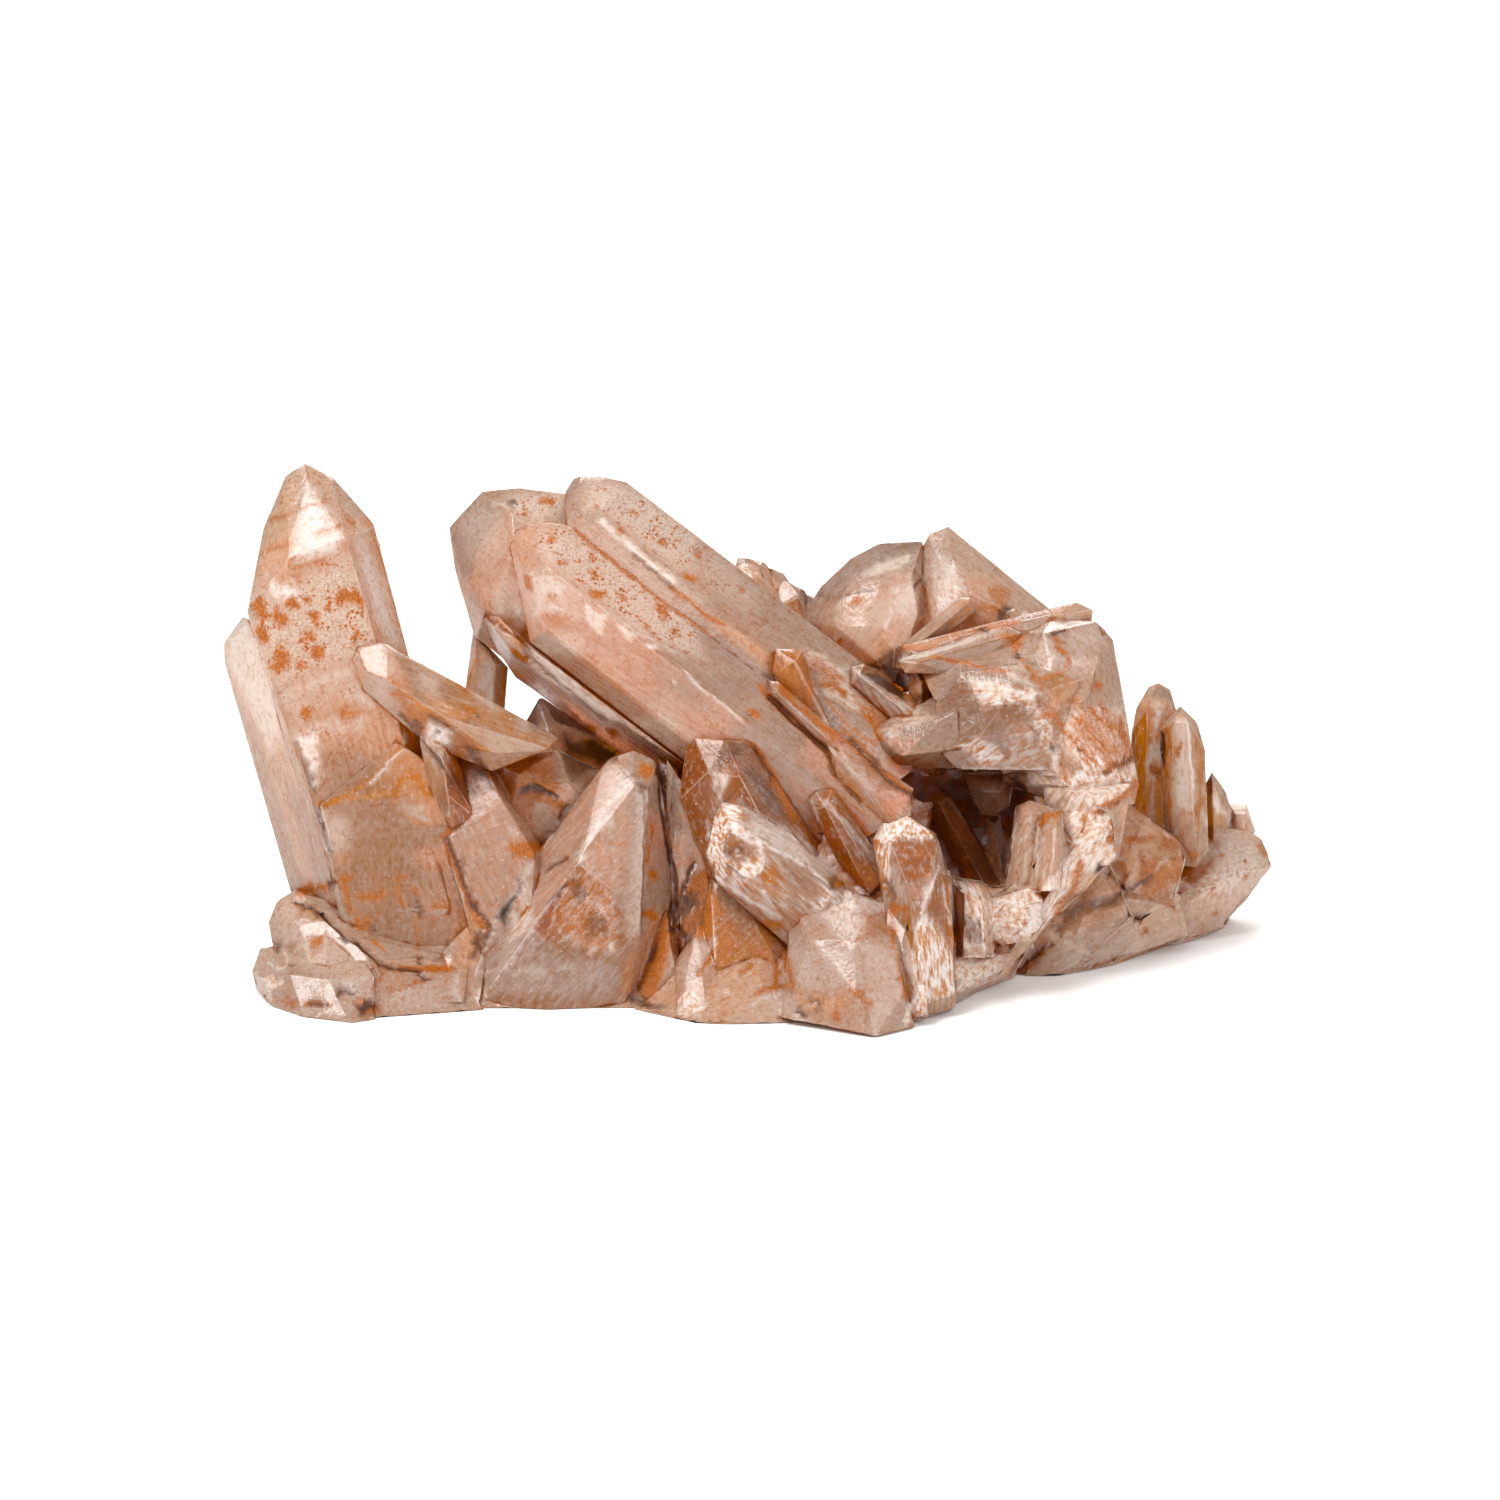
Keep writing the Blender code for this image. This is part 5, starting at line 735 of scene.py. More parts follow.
    ("tan", 0.7, (19, 47), (26, 52), (27, 50.6), (24.4, 48.6), (20, 46)),
    ("rust", 0.5, (28.6, 53.6), (31.4, 53.6), (30.8, 50.8), (29.4, 50.2)),
    ("rust", 0.45, (19.6, 46.4), (22, 47.4), (26, 49.2), (31.6, 49.6), (27, 47.6)),
    ("tan", 0.55, (35.6, 50.8), (40, 52), (41.4, 50.8), (40.8, 49.4), (36, 49.8)),
    ("pale", 0.8, (36.4, 49.2), (38.3, 49.8), (37.9, 48.5), (36.3, 48.5)),
    ("rust", 0.8, (30.4, 47.6), (32.6, 47.4), (32.7, 45.4), (31.8, 45.6)),
    # Right plates: greyish face, pale facets, fibrous breaks
    ("pale", 0.35, (33.2, 48.3), (36, 47.7), (37.8, 44.8), (35.2, 42.6), (33, 44.4)),
    ("pale", 0.45, (30.8, 44.6), (32.6, 44.8), (35, 41.4), (34.2, 41.2)),
    ("pale", 0.3, (38, 48.6), (42.4, 49), (42.6, 47), (39.4, 46), (38, 46.4)),
    ("smoky", 0.5, (24.4, 43.6), (30, 43.2), (34.8, 41), (36, 37), (35, 33), (25.4, 33), (22.6, 37.6),
     (22.4, 41)),
    ("frost", 0.85, (26.2, 42.4), (29.8, 42.2), (34.6, 41.2), (34.2, 39.8), (30.5, 39.8), (28.4, 39.2),
     (26.8, 40.6)),
    ("frost", 1, (25.2, 34.8), (27.6, 35.2), (29.6, 34.8), (30.6, 33), (29.4, 32.2), (27.4, 32.3)),
    ("frost", 0.6, (32.8, 40.2), (36.2, 38), (36.6, 34), (35, 33.4), (34.6, 36.8)),
    ("frost", 0.45, (30.8, 36.4), (33.4, 36.8), (35.2, 33), (31, 32.2)),
    ("white", 0.9, (36.2, 34.4), (37, 34.6), (36.9, 31.3), (36.2, 31.4)),
    ("frost", 0.9, (37.6, 37.8), (41, 39.4), (44.8, 39), (45.8, 36.8), (46.4, 33.2), (43, 31.2), (40, 31.6),
     (37.2, 34.8)),
    ("rust", 0.45, (38, 37.4), (41, 39.2), (44.8, 38.4), (45.8, 36), (46, 33.6), (43.4, 32.2), (41, 33.6)),
    ("frost", 1, (37, 31), (42.6, 31.4), (46.4, 32.6), (46.6, 30), (42, 26.8), (38.4, 27.6)),
    ("tan", 0.4, (35.6, 42), (40, 44.4), (43.6, 44), (44.4, 39.6), (40, 39.8), (36.4, 38.4)),
    ("frost", 0.7, (33.2, 31.2), (37, 31.2), (37.6, 27), (35, 27.4), (33.2, 28.8)),
    ("smoky", 0.4, (14.6, 37), (22, 37.4), (24, 34.6), (20, 33.8), (15.6, 34.6)),
    ("frost", 0.4, (16, 36.6), (18, 37.6), (18.6, 35.4), (16.4, 34.6)),
    # Pocket and its rim
    # Painted shade deep in the pocket
    ("dark", 0.55, (24.4, 31.3), (33, 31.2), (33, 28), (31.2, 24), (30.4, 18.3), (29.4, 17.8), (23.8, 18.8),
     (23.2, 22), (21.4, 25.4), (21.8, 28.4), (23.8, 30.2)),
    ("red", 1, (19.6, 29.6), (25.6, 31.4), (33.4, 31.2), (33.2, 28), (31.2, 24), (30.4, 18.3), (29.4, 17.6),
     (23.8, 18.6), (23.2, 22), (21.2, 25.2), (19.4, 27)),
    ("tan", 0.9, (25.5, 31.1), (30.6, 30.7), (31.2, 29.2), (29.8, 26.2), (27.8, 26.1)),
    ("amber", 0.8, (30.2, 28.6), (31.1, 29.2), (29.8, 26.3), (29, 26.3), (29.4, 27.2)),
    ("amber", 0.5, (31.9, 27), (33.6, 28), (37.4, 26.6), (37.2, 18), (30.6, 17.6), (31.2, 22.4)),
    ("amber", 0.8, (35.2, 26.2), (37.4, 26.6), (37.2, 25.2), (35.4, 25)),
    ("frost", 0.35, (32.4, 27.2), (35.2, 26), (35.8, 17.6), (31.4, 17.8)),
    ("frost", 1, (37.6, 27.2), (41, 27), (44, 26.4), (44.4, 24.4), (43.8, 22.8), (44.6, 21.4), (43, 19.6),
     (40.4, 19.4), (37.4, 15.4), (36.2, 12.6), (33.6, 11), (33.8, 16.8), (36, 18.4), (38.4, 21.6),
     (37.8, 24)),
    ("white", 0.7, (34.2, 15.4), (36.6, 15.6), (36.2, 13), (34, 12.4)),
    ("amber", 0.7, (42, 22.6), (43.2, 22.4), (43, 21.2), (42, 21.2)),
    ("frost", 1, (24.1, 19), (27.6, 18.5), (28.8, 15.4), (28.6, 10), (25, 10.2), (24.4, 15)),
    ("dark", 0.5, (25, 14), (26.4, 14.4), (28.2, 12), (28, 10.4), (26.6, 10.8), (25.2, 12.4)),
    ("frost", 1, (28.6, 16), (31.6, 18), (34.8, 17.4), (35, 12), (31, 10), (29.2, 11.4)),
    ("amber", 0.85, (30.6, 6.4), (32.2, 9.1), (35.6, 11.4), (36.8, 10.6), (33.2, 8.4), (32.8, 6.6)),
    ("dark", 0.45, (31, 6.4), (32.2, 8.8), (33.6, 9.6), (32.6, 6.6)),
    ("amber", 0.75, (36.4, 13.2), (38.6, 16.8), (41, 18), (44.6, 20.6), (47.8, 18.2), (44, 14.4),
     (40.4, 12.6), (37.4, 11.2)),
    ("dark", 0.5, (36.6, 13), (38.8, 16.4), (43.4, 16.8), (47.4, 18.2), (43.8, 15.4), (40, 14.4),
     (38.4, 12.4)),
    ("smoky", 0.5, (33.2, 8.8), (37, 11.2), (41, 12.6), (45.4, 13.8), (47, 9.6), (36, 6.2), (33, 6.4)),
    ("tan", 0.5, (40.4, 13.2), (46, 15.2), (45, 13.6), (41, 12.4)),
    # Right end
    ("amber", 0.8, (44, 27.4), (46.6, 30), (50.6, 30.2), (50.8, 25.4), (49.2, 24.6), (49, 21.5), (47, 17.6),
     (44.2, 20.2), (44.8, 23)),
    ("amber", 0.8, (44.4, 27), (45.6, 29.4), (52, 24.6), (53, 20), (48, 17), (44, 14), (42.6, 18.6)),
    ("red", 1, (44, 27), (45.4, 28), (50.2, 24.8), (48.6, 21.4), (47, 17.8), (43, 19.4), (44.8, 23)),
    ("rust", 1, (47, 21.4), (49.2, 21.2), (48.4, 18), (46.8, 18.2)),
    ("rust", 1, (49.9, 24), (52.1, 23.8), (51.4, 22.2), (49.9, 22.4)),
    ("amber", 0.75, (45.8, 36.6), (46.8, 40.2), (47.8, 40.4), (48, 35), (47.4, 31), (46.4, 31.4)),
    ("smoky", 0.5, (48, 42.2), (50.6, 41.8), (51.2, 39.6), (49.4, 39.2), (47.8, 40.2)),
    ("white", 1, (48.8, 39.4), (49.3, 39.4), (49, 36.8), (48.4, 36), (48.5, 37.6)),
    ("white", 0.85, (48, 34.9), (49.1, 34.6), (49.3, 32.5), (48.4, 33), (48.1, 31), (47.6, 31.6)),
    ("amber", 0.5, (46.6, 30.2), (50.2, 30.8), (50.6, 25.8), (46, 25.6)),
    ("pale", 1, (50.8, 36.8), (51.2, 37.4), (52.4, 37.5), (53.2, 29.2), (53.1, 26.4), (51, 27), (50.6, 30),
     (51.3, 34)),
    ("amber", 0.6, (49.3, 36.7), (50.8, 37.8), (51, 36), (50.4, 32)),
    ("tan", 0.9, (50.2, 37.8), (51.6, 39.2), (53.6, 37.6), (54.8, 33), (54.8, 27), (53.4, 26.4), (53.3, 30),
     (52.6, 37.3)),
    ("white", 0.8, (55.2, 29.8), (55.9, 29.4), (57, 26.2), (56.2, 26.2), (55.2, 27.8)),
    ("tan", 0.8, (54.4, 29.8), (55.6, 31.2), (56.8, 29.8), (55.6, 29.8), (55.2, 28)),
    ("tan", 0.7, (53.2, 24.8), (54.6, 28), (55.2, 26.6), (56.8, 23.8)),
    ("tan", 0.7, (57.2, 27.6), (59.8, 27.6), (59.2, 26.4), (57.6, 26.4), (57.2, 24.6), (56.6, 25)),
    ("pale", 0.7, (57.6, 26.2), (58.8, 26), (58.6, 25), (57.6, 25)),
    ("tan", 0.4, (50.6, 24.6), (56, 24.4), (56.4, 21.6), (50.4, 21.4)),
    ("pale", 0.45, (56.6, 24), (60.4, 24), (62.8, 20.4), (60.6, 17.4), (56.4, 18), (55.6, 21.6)),
    ("frost", 0.5, (50.4, 18), (56, 20), (60, 21.6), (62.6, 20.4), (58, 16.8), (51, 14.8)),
    ("smoky", 0.35, (46, 10.2), (52, 12.6), (56.6, 14.2), (56.8, 12.2), (47, 8.8)),
)

# Lines and dots that are drawn over the crystals: a finish, its strength, the width in millimetres, and the
# points (u, v) of each line that has them.
# White strokes and dots are painted highlights and glints; dark ones are cracks and joints
STROKES = (
    # Tower, its flank and its foot
    ("white", 0.6, 0.25, [(-56, 9.9), (-55.4, 8.4), (-56.6, 7.8), (-58.2, 8.6)]),
    ("pale", 0.8, 0.25, [(-36.3, 26.2), (-35.9, 25.4)]),
    ("pale", 0.7, 0.2, [(-41.4, 36.6), (-41.4, 34.3), (-43.8, 31.9), (-45.8, 29.8)]),
    ("pale", 0.7, 0.25, [(-36.9, 23), (-35.7, 20), (-34, 15.2)]),
    ("tan", 0.9, 0.4, [(-46, 61.6), (-40.2, 45.6)]),
    ("tan", 0.8, 0.3, [(-60.6, 50.2), (-57.4, 42.4), (-55.4, 36.4)], [(-36.2, 60.4), (-35, 55),
     (-33, 48.8)]),
    ("tan", 0.8, 0.35, [(-40.4, 45), (-34.4, 41.4)]),
    ("tan", 0.8, 0.5, [(-52.2, 27.3), (-49, 28.1), (-42.4, 28.8)]),
    ("tan", 0.6, 0.3, [(-38.6, 42.4), (-37.2, 39.8)]),
    ("amber", 0.8, 0.3, [(-46.2, 44), (-43, 42), (-40, 39.6), (-38.6, 38.4), (-36, 36.8)]),
    ("amber", 0.7, 0.9, [(-54.2, 9.5)]), ("amber", 0.6, 0.4, [(-47.2, 58.4), (-45.3, 50.2), (-44.4, 47)]),
    ("amber", 0.55, 0.25, [(-41.7, 37.6), (-41.6, 34.4), (-44, 32), (-46, 30), (-48.6, 28.5),
     (-51.4, 27.4)]),
    ("amber", 0.5, 0.25, [(-62.6, 43.6), (-59.6, 37.6), (-58.4, 35)], [(-42.4, 27.8), (-42.4, 30),
     (-41, 30.8), (-39.4, 30.2), (-38.3, 27), (-38, 25), (-40, 25.4), (-41.4, 26.4)]),
    ("rust", 0.9, 0.5, [(-53.4, 3.8), (-52.3, 3.7), (-50.7, 3.5)]),
    ("rust", 0.9, 0.7, [(-47.4, 13.1), (-46.6, 12.8), (-45.8, 13.3)], [(-36.7, 23.6), (-35.3, 20),
     (-33.6, 15.4), (-32, 12.6)]),
    ("rust", 0.9, 1, [(-47.3, 52.6), (-46.8, 51.8)], [(-52.2, 50.1)], [(-55.2, 51.7), (-54.5, 51.6)]),
    ("rust", 0.9, 1.1, [(-49.3, 52.3), (-48.4, 52.6)], [(-58.9, 48.2), (-58.3, 47.6)], [(-56.5, 45.5),
     (-55.9, 45.2)], [(-52.2, 45.2), (-51.6, 45.7)]),
    ("rust", 0.9, 1.2, [(-56.8, 50.1), (-56, 49.7)]), ("rust", 0.9, 1.4, [(-58.9, 51.4), (-58.6, 50.6)]),
    ("rust", 0.8, 0.3, [(-54, 16.7), (-51, 17.8), (-50, 18.1), (-48, 18.9)], [(-36.2, 14.2)]),
    ("rust", 0.8, 0.5, [(-42, 7.9), (-39.6, 8), (-36, 7.9)]),
    ("rust", 0.8, 0.8, [(-52.2, 10.8), (-51.6, 11.4)]),
    ("rust", 0.8, 0.9, [(-52.7, 47.4)], [(-47.4, 47.5)], [(-53.1, 52)], [(-50.7, 51)]),
    ("rust", 0.8, 1, [(-53.2, 38.4)]), ("rust", 0.8, 1.4, [(-46.6, 3.4), (-45.4, 3.4)]),
    ("rust", 0.7, 0.4, [(-48.8, 18), (-48, 15), (-47.7, 14.4)], [(-45.2, 11.2), (-44.1, 10.2)]),
    ("rust", 0.7, 0.5, [(-46.8, 16.1), (-45.4, 16.4), (-44.6, 16.3), (-43.8, 17)]),
    ("rust", 0.7, 0.8, [(-53.6, 17.5), (-53, 17.9)]), ("rust", 0.7, 0.9, [(-57.2, 43.8)], [(-54, 44.3)]),
    ("rust", 0.6, 0.18, [(-42.4, 18.5), (-41.7, 15.4)], [(-42.1, 19.1), (-41.1, 18.2), (-40.5, 17)]),
    ("rust", 0.6, 0.2, [(-45, 8.8), (-44.2, 7.1), (-45.2, 5.3)]),
    ("rust", 0.6, 0.3, [(-52, 60), (-49.1, 60.9)]),
    ("rust", 0.6, 0.4, [(-51.9, 15.4)], [(-55.6, 3.8), (-55.2, 3.5)]), ("rust", 0.6, 0.8, [(-47.8, 61.3)]),
    ("rust", 0.5, 0.18, [(-40, 14), (-39.9, 9)]), ("rust", 0.5, 0.2, [(-43.2, 5.1), (-38.5, 6.7)]),
    ("rust", 0.5, 0.25, [(-54, 62.9), (-50.6, 63.8)], [(-39.6, 14.6), (-36, 15.4)]),
    ("rust", 0.5, 0.9, [(-49, 38.2), (-46.8, 38.4)]), ("rust", 0.45, 0.3, [(-54.8, 55.9), (-51, 56.9)]),
    ("rust", 0.4, 0.3, [(-57.6, 61.7), (-54.6, 62.5)], [(-58.2, 58.1), (-55, 58.8)]),
    ("dark", 1, 0.34, [(-54.6, 15.9), (-53.5, 15.6), (-51, 14.2), (-50, 13.1), (-48.4, 11.4), (-47, 10.9),
     (-45.3, 9)]),
    ("dark", 1, 0.9, [(-46.5, 3.1), (-46.2, 2.7)]), ("dark", 1, 1, [(-45.8, 3.6), (-45.3, 3.5)]),
    ("dark", 0.9, 0.26, [(-45.3, 9), (-43.5, 8.2), (-41.5, 7.8), (-39.6, 7.9), (-39, 6.7)]),
    ("dark", 0.9, 0.3, [(-49.4, 4.9), (-48.7, 5.4), (-47.6, 5.1)]),
    ("dark", 0.85, 0.3, [(-42, 38.2), (-39.4, 35.2), (-36.8, 31.8)]),
    ("dark", 0.85, 0.35, [(-36.5, 23.5), (-35, 20), (-33.3, 15.2), (-31.2, 12.8), (-32.2, 9.8)]),
    ("dark", 0.8, 0.25, [(-39.9, 15.9), (-39.5, 14.4)]), ("dark", 0.8, 0.3, [(-39.8, 9.1), (-39.6, 8.6)]),
    ("dark", 0.8, 0.35, [(-57.1, 10.9), (-56.8, 10.6)], [(-55, 8.5)]),
    ("dark", 0.8, 0.6, [(-50.5, 17.9), (-50, 18.1)]), ("dark", 0.7, 0.2, [(-53.2, 3.8), (-50.8, 3.5)]),
    ("dark", 0.7, 0.22, [(-38.8, 38.2), (-37.6, 37.6), (-36, 36.6)]),
    ("dark", 0.7, 0.3, [(-45.4, 13), (-45, 12.1)], [(-37.7, 36.1), (-37.4, 36)]),
    ("dark", 0.7, 0.4, [(-47.5, 12.9)]), ("dark", 0.7, 0.5, [(-40, 37.4), (-39.6, 36.6)]),
    ("dark", 0.6, 0.16, [(-54.4, 34.8), (-53.6, 32), (-52.4, 29)], [(-52.2, 27.2), (-51.4, 24.4),
     (-50.4, 21.6)]),
    ("dark", 0.5, 0.14, [(-51.9, 27), (-50.9, 24), (-50.2, 21.8)]),
    # Pyramid, red wedge and the back ends of the middle crystals
    ("white", 0.8, 0.5, [(-12.2, 46.4), (-11.4, 46.4)]), ("white", 0.7, 0.3, [(-28.6, 24.4), (-27.8, 24)]),
    ("white", 0.7, 0.4, [(-22.4, 53.9)]), ("white", 0.6, 0.3, [(-26.4, 61.2), (-25.6, 61)]),
    ("pale", 0.75, 0.28, [(-14.2, 30.3), (-17.2, 27.3), (-18.6, 24.4), (-20.3, 22), (-20.4, 20.4)]),
    ("pale", 0.7, 0.25, [(-20.6, 17.2), (-18.8, 15.6), (-17.2, 13.8), (-16.4, 9.6)]),
    ("pale", 0.6, 0.2, [(-35, 6.8), (-35.6, 5), (-34.4, 3.6)], [(-26.6, 55.3), (-23.9, 55.6)], [(-24, 55.6),
     (-20, 52.6), (-14, 48.4), (-9, 45.8)]),
    ("pale", 0.6, 0.28, [(-32.9, 7), (-30.8, 13), (-25.5, 21.2), (-22.8, 25.4)]),
    ("pale", 0.5, 0.2, [(-26, 46.2), (-15.6, 37.4)]),
    ("pale", 0.5, 0.25, [(-10.6, 13), (-12.6, 8), (-13.6, 5.4)]),
    ("pale", 0.4, 0.2, [(-32.2, 7.3), (-29, 7.6), (-25.6, 7.3), (-21.6, 7.8)]),
    ("tan", 0.8, 0.4, [(-32.4, 47.4), (-25, 40.2), (-16, 33.2)]),
    ("tan", 0.7, 0.3, [(-22, 60.9), (-25.4, 61.1), (-28.4, 59.4)]),
    ("amber", 0.7, 0.3, [(-30.2, 31.8), (-24, 34.3)]), ("amber", 0.7, 0.35, [(-26.8, 55.2), (-26.3, 47.2)]),
    ("rust", 0.9, 0.6, [(-25.4, 32.6), (-24.6, 31.6)]),
    ("rust", 0.9, 0.8, [(-12.4, 14.4), (-11.6, 14)], [(-24.8, 64), (-24, 63.8)]),
    ("rust", 0.85, 0.8, [(-28.4, 45.9), (-27.8, 45.3), (-27, 44.9)]),
    ("rust", 0.8, 0.5, [(-26.8, 54.8), (-26.6, 53.6)]), ("rust", 0.8, 0.6, [(-16.9, 36.3), (-16.4, 36)]),
    ("rust", 0.8, 0.7, [(-11.8, 19.2), (-11.4, 18.8)], [(-21.1, 37.9)], [(-19.5, 36.7), (-18.8, 36.3)],
     [(-26.9, 62.2)], [(-23.8, 59.4)], [(-18.6, 55.1)]),
    ("rust", 0.8, 0.8, [(-25, 27.8), (-22.4, 27.2)], [(-22.8, 56.5)]),
    ("rust", 0.8, 0.9, [(-18.6, 52.6), (-17.8, 52.8)]),
    ("rust", 0.7, 0.26, [(-21.2, 60.7), (-15, 55.4), (-9.6, 51.2), (-5, 48)]),
    ("rust", 0.7, 0.3, [(-35.9, 25.8), (-36.4, 23.6)], [(-31.8, 50.2), (-28.4, 47.8), (-27, 46.4)]),
    ("rust", 0.7, 0.5, [(-24.2, 41)], [(-20.4, 54.4)]),
    ("rust", 0.7, 0.6, [(-29.8, 31.2), (-27.8, 30.4)], [(-18.9, 57.2)], [(-15.2, 52.2)], [(-18.4, 63.2)],
     [(-14, 62.6)]),
    ("rust", 0.7, 0.7, [(-10.8, 51.2), (-10.4, 50.4)], [(-10.6, 59)]),
    ("rust", 0.7, 0.8, [(-12.4, 48.8)], [(-15.6, 60.4)]),
    ("rust", 0.6, 0.3, [(-12.2, 22.4), (-12.2, 20.6)]), ("rust", 0.6, 0.5, [(-34.4, 39.2), (-33.4, 38.6)]),
    ("red", 0.8, 0.3, [(-14.5, 30.1), (-17, 27)]),
    ("dark", 1, 0.34, [(-11.1, 32.9), (-10.7, 28), (-10.1, 24.5), (-9.3, 20), (-8.9, 17.5), (-9.5, 14.6)]),
    ("dark", 1, 0.55, [(-27.4, 29.1), (-26.2, 29.5), (-25, 29.1), (-23.2, 28.3)]),
    ("dark", 0.8, 0.3, [(-32.6, 38)], [(-19, 35.1), (-16, 33.2)], [(-13.3, 29.9), (-12.3, 29.7)],
     [(-28.6, 63.9), (-28, 63.6)]),
    ("dark", 0.7, 0.3, [(-32.8, 37)]), ("dark", 0.7, 0.35, [(-11.4, 10.4), (-12.2, 8.8)]),
    ("dark", 0.7, 0.5, [(-32.9, 10.8), (-32.4, 12.2)], [(-14.4, 4.2), (-11.2, 3.4)]),
    ("dark", 0.7, 0.6, [(-10.4, 26.4), (-10, 25.2)]), ("dark", 0.6, 0.18, [(-23.6, 24.2), (-21.8, 27.4)]),
    ("dark", 0.6, 0.3, [(-24, 20), (-21.9, 21)], [(-23.4, 16.4), (-22, 18)]),
    ("dark", 0.6, 0.5, [(-33.4, 9.2), (-32.6, 10.2)]),
    ("dark", 0.5, 0.16, [(-32.2, 50.2), (-28, 47.6), (-26.6, 46.4)]),
    ("dark", 0.5, 0.2, [(-13.9, 57.5), (-9.4, 53.6)]),
    ("dark", 0.45, 0.14, [(-12.6, 29.4), (-12.6, 20), (-12.9, 12)]),
    ("dark", 0.4, 0.14, [(-26.8, 45.4), (-22, 41.2), (-17.4, 37.4)]),
    # Middle crystals, flat top, pale block, stub and smoky block
    ("white", 0.9, 0.5, [(18.9, 1.4), (19.4, 3.6), (20, 4.4)]),
    ("white", 0.8, 0.24, [(17.8, 53.5), (17.2, 51), (16.4, 48.8)]),
    ("white", 0.8, 0.3, [(-4.4, 18.8), (0, 15.7), (3.6, 13.6)]),
    ("white", 0.75, 0.22, [(-1.3, 23.7), (0.6, 22.7), (1.8, 21.1)], [(-0.7, 20.2), (0.8, 20.2),
     (1.6, 21.2)]),
    ("white", 0.7, 0.2, [(0, 18.6), (1.2, 19.4), (1.6, 20.8)]),
    ("white", 0.7, 0.22, [(11.4, 52.2), (13.4, 52.8), (15.4, 53.4)]),
    ("white", 0.7, 0.25, [(-0.4, 24.3), (2.6, 22.4), (6, 20.7), (9.8, 17.9)]),
    ("white", 0.7, 0.3, [(-8, 3.4), (-6.8, 4.6)], [(-6.8, 2.8), (-5.6, 3.8)], [(-9.4, 50.6), (-8.6, 50)]),
    ("white", 0.7, 0.35, [(-9, 42.2)], [(-7.8, 43.4), (-7.2, 43)]),
    ("white", 0.6, 0.22, [(-7.2, 6), (-5.8, 7.4), (-4.4, 8.9)]),
    ("white", 0.6, 0.25, [(21, 7.4), (23, 5.6)]), ("white", 0.6, 0.4, [(-5.7, 57.4)]),
    ("pale", 0.7, 0.2, [(0, 3.4), (2.5, 5)]),
    ("pale", 0.7, 0.22, [(-2.8, 17.8), (0.4, 15.4), (3, 14.4)], [(-7.6, 43.2), (-5, 40.7), (-1, 37.6)]),
    ("pale", 0.7, 0.26, [(11.8, 43.8), (13, 43.4), (18.2, 40.2)]),
    ("pale", 0.7, 0.3, [(17.8, 44.8), (21, 45.4), (25, 46.8), (31, 49)]),
    ("pale", 0.6, 0.2, [(-6, 35.1), (-5, 35.2)]),
    ("pale", 0.6, 0.22, [(9, 28), (12.6, 24), (13.8, 22)], [(7.2, 28.2), (8, 26.4), (8, 24.4)]),
    ("pale", 0.6, 0.25, [(-0.9, 27.3), (1.6, 26), (6.4, 23.2), (10, 19.4)], [(7, 45.4), (11.2, 43.2)],
     [(10.9, 52.2), (10.3, 49.6), (11.2, 47.8)]),
    ("smoky", 0.9, 0.4, [(6.8, 51.6), (9.2, 54.4), (15.4, 59)]),
    ("tan", 0.8, 0.3, [(20.2, 58), (20, 54.8), (22.6, 50.2)]),
    ("amber", 0.8, 0.3, [(17.6, 31.2), (20, 30.8), (22.8, 31.4), (22, 33.2)]),
    ("amber", 0.8, 0.35, [(-6.2, 35.4), (-2, 35.4), (0, 35)]),
    ("amber", 0.6, 0.25, [(18.8, 15), (19.4, 8.4)]),
    ("amber", 0.6, 0.3, [(-3.4, 9.2), (-1.4, 12), (0.2, 13.4)]),
    ("rust", 0.9, 0.3, [(-9.5, 14.8), (-11.4, 10.8), (-12.6, 7.6)], [(0.6, 9.6), (2.3, 9.4), (3.2, 8.2),
     (3.2, 6.8), (3, 5.5)]),
    ("rust", 0.9, 0.35, [(9.9, 29.3), (12.4, 26.2), (14.9, 23)]),
    ("rust", 0.9, 0.5, [(0.6, 34.6), (3, 30.5), (5.2, 26)], [(11.8, 35.3), (14.6, 32.5), (19.6, 28.4)],
     [(14.2, 38.2), (15.4, 35.4)], [(10.6, 47), (11, 47.2)], [(18, 46.4), (21, 46.2), (22.4, 46.8)]),
    ("rust", 0.9, 0.6, [(1.9, 13.1), (2.3, 12.9)], [(12.6, 51.9), (13.1, 52.1)]),
    ("rust", 0.85, 0.3, [(16.8, 15.2), (17.2, 12), (18, 8), (18.9, 4.2)], [(3, 41.9), (6.5, 38.6),
     (9.4, 36.2)]),
    ("rust", 0.85, 0.35, [(7.3, 42.4), (7.2, 40.2), (6.8, 38.7)]),
    ("rust", 0.85, 0.4, [(2, 40.6), (5, 37.6), (8.8, 34.3)]),
    ("rust", 0.8, 0.3, [(-6.2, 7), (-3.8, 10.6)], [(10.4, 18), (12.6, 18.2), (16, 17.6)], [(7.4, 25.6),
     (9.2, 22.8), (11.6, 20)], [(11, 36.8), (13.2, 34.8), (15.4, 32.4)], [(21.6, 45.2), (25.8, 44.5),
     (30.6, 43.4)]),
    ("rust", 0.8, 0.35, [(16.8, 15.5), (18.2, 14.8), (18.9, 15.1)]),
    ("rust", 0.8, 0.4, [(-7.6, 17), (-6, 19), (-5.4, 19.2)], [(1.4, 41.8), (1.8, 40.4), (3, 39.8)],
     [(8.4, 41.8), (10.2, 42), (11.4, 40.8)]),
    ("rust", 0.8, 0.6, [(17.6, 33), (18.6, 31.6)]), ("rust", 0.8, 0.8, [(-7.4, 54.7), (-6.8, 54.4)]),
    ("rust", 0.7, 0.22, [(12.1, 6.8), (12.2, 5.2), (13.2, 4.4), (14.4, 3.8)]),
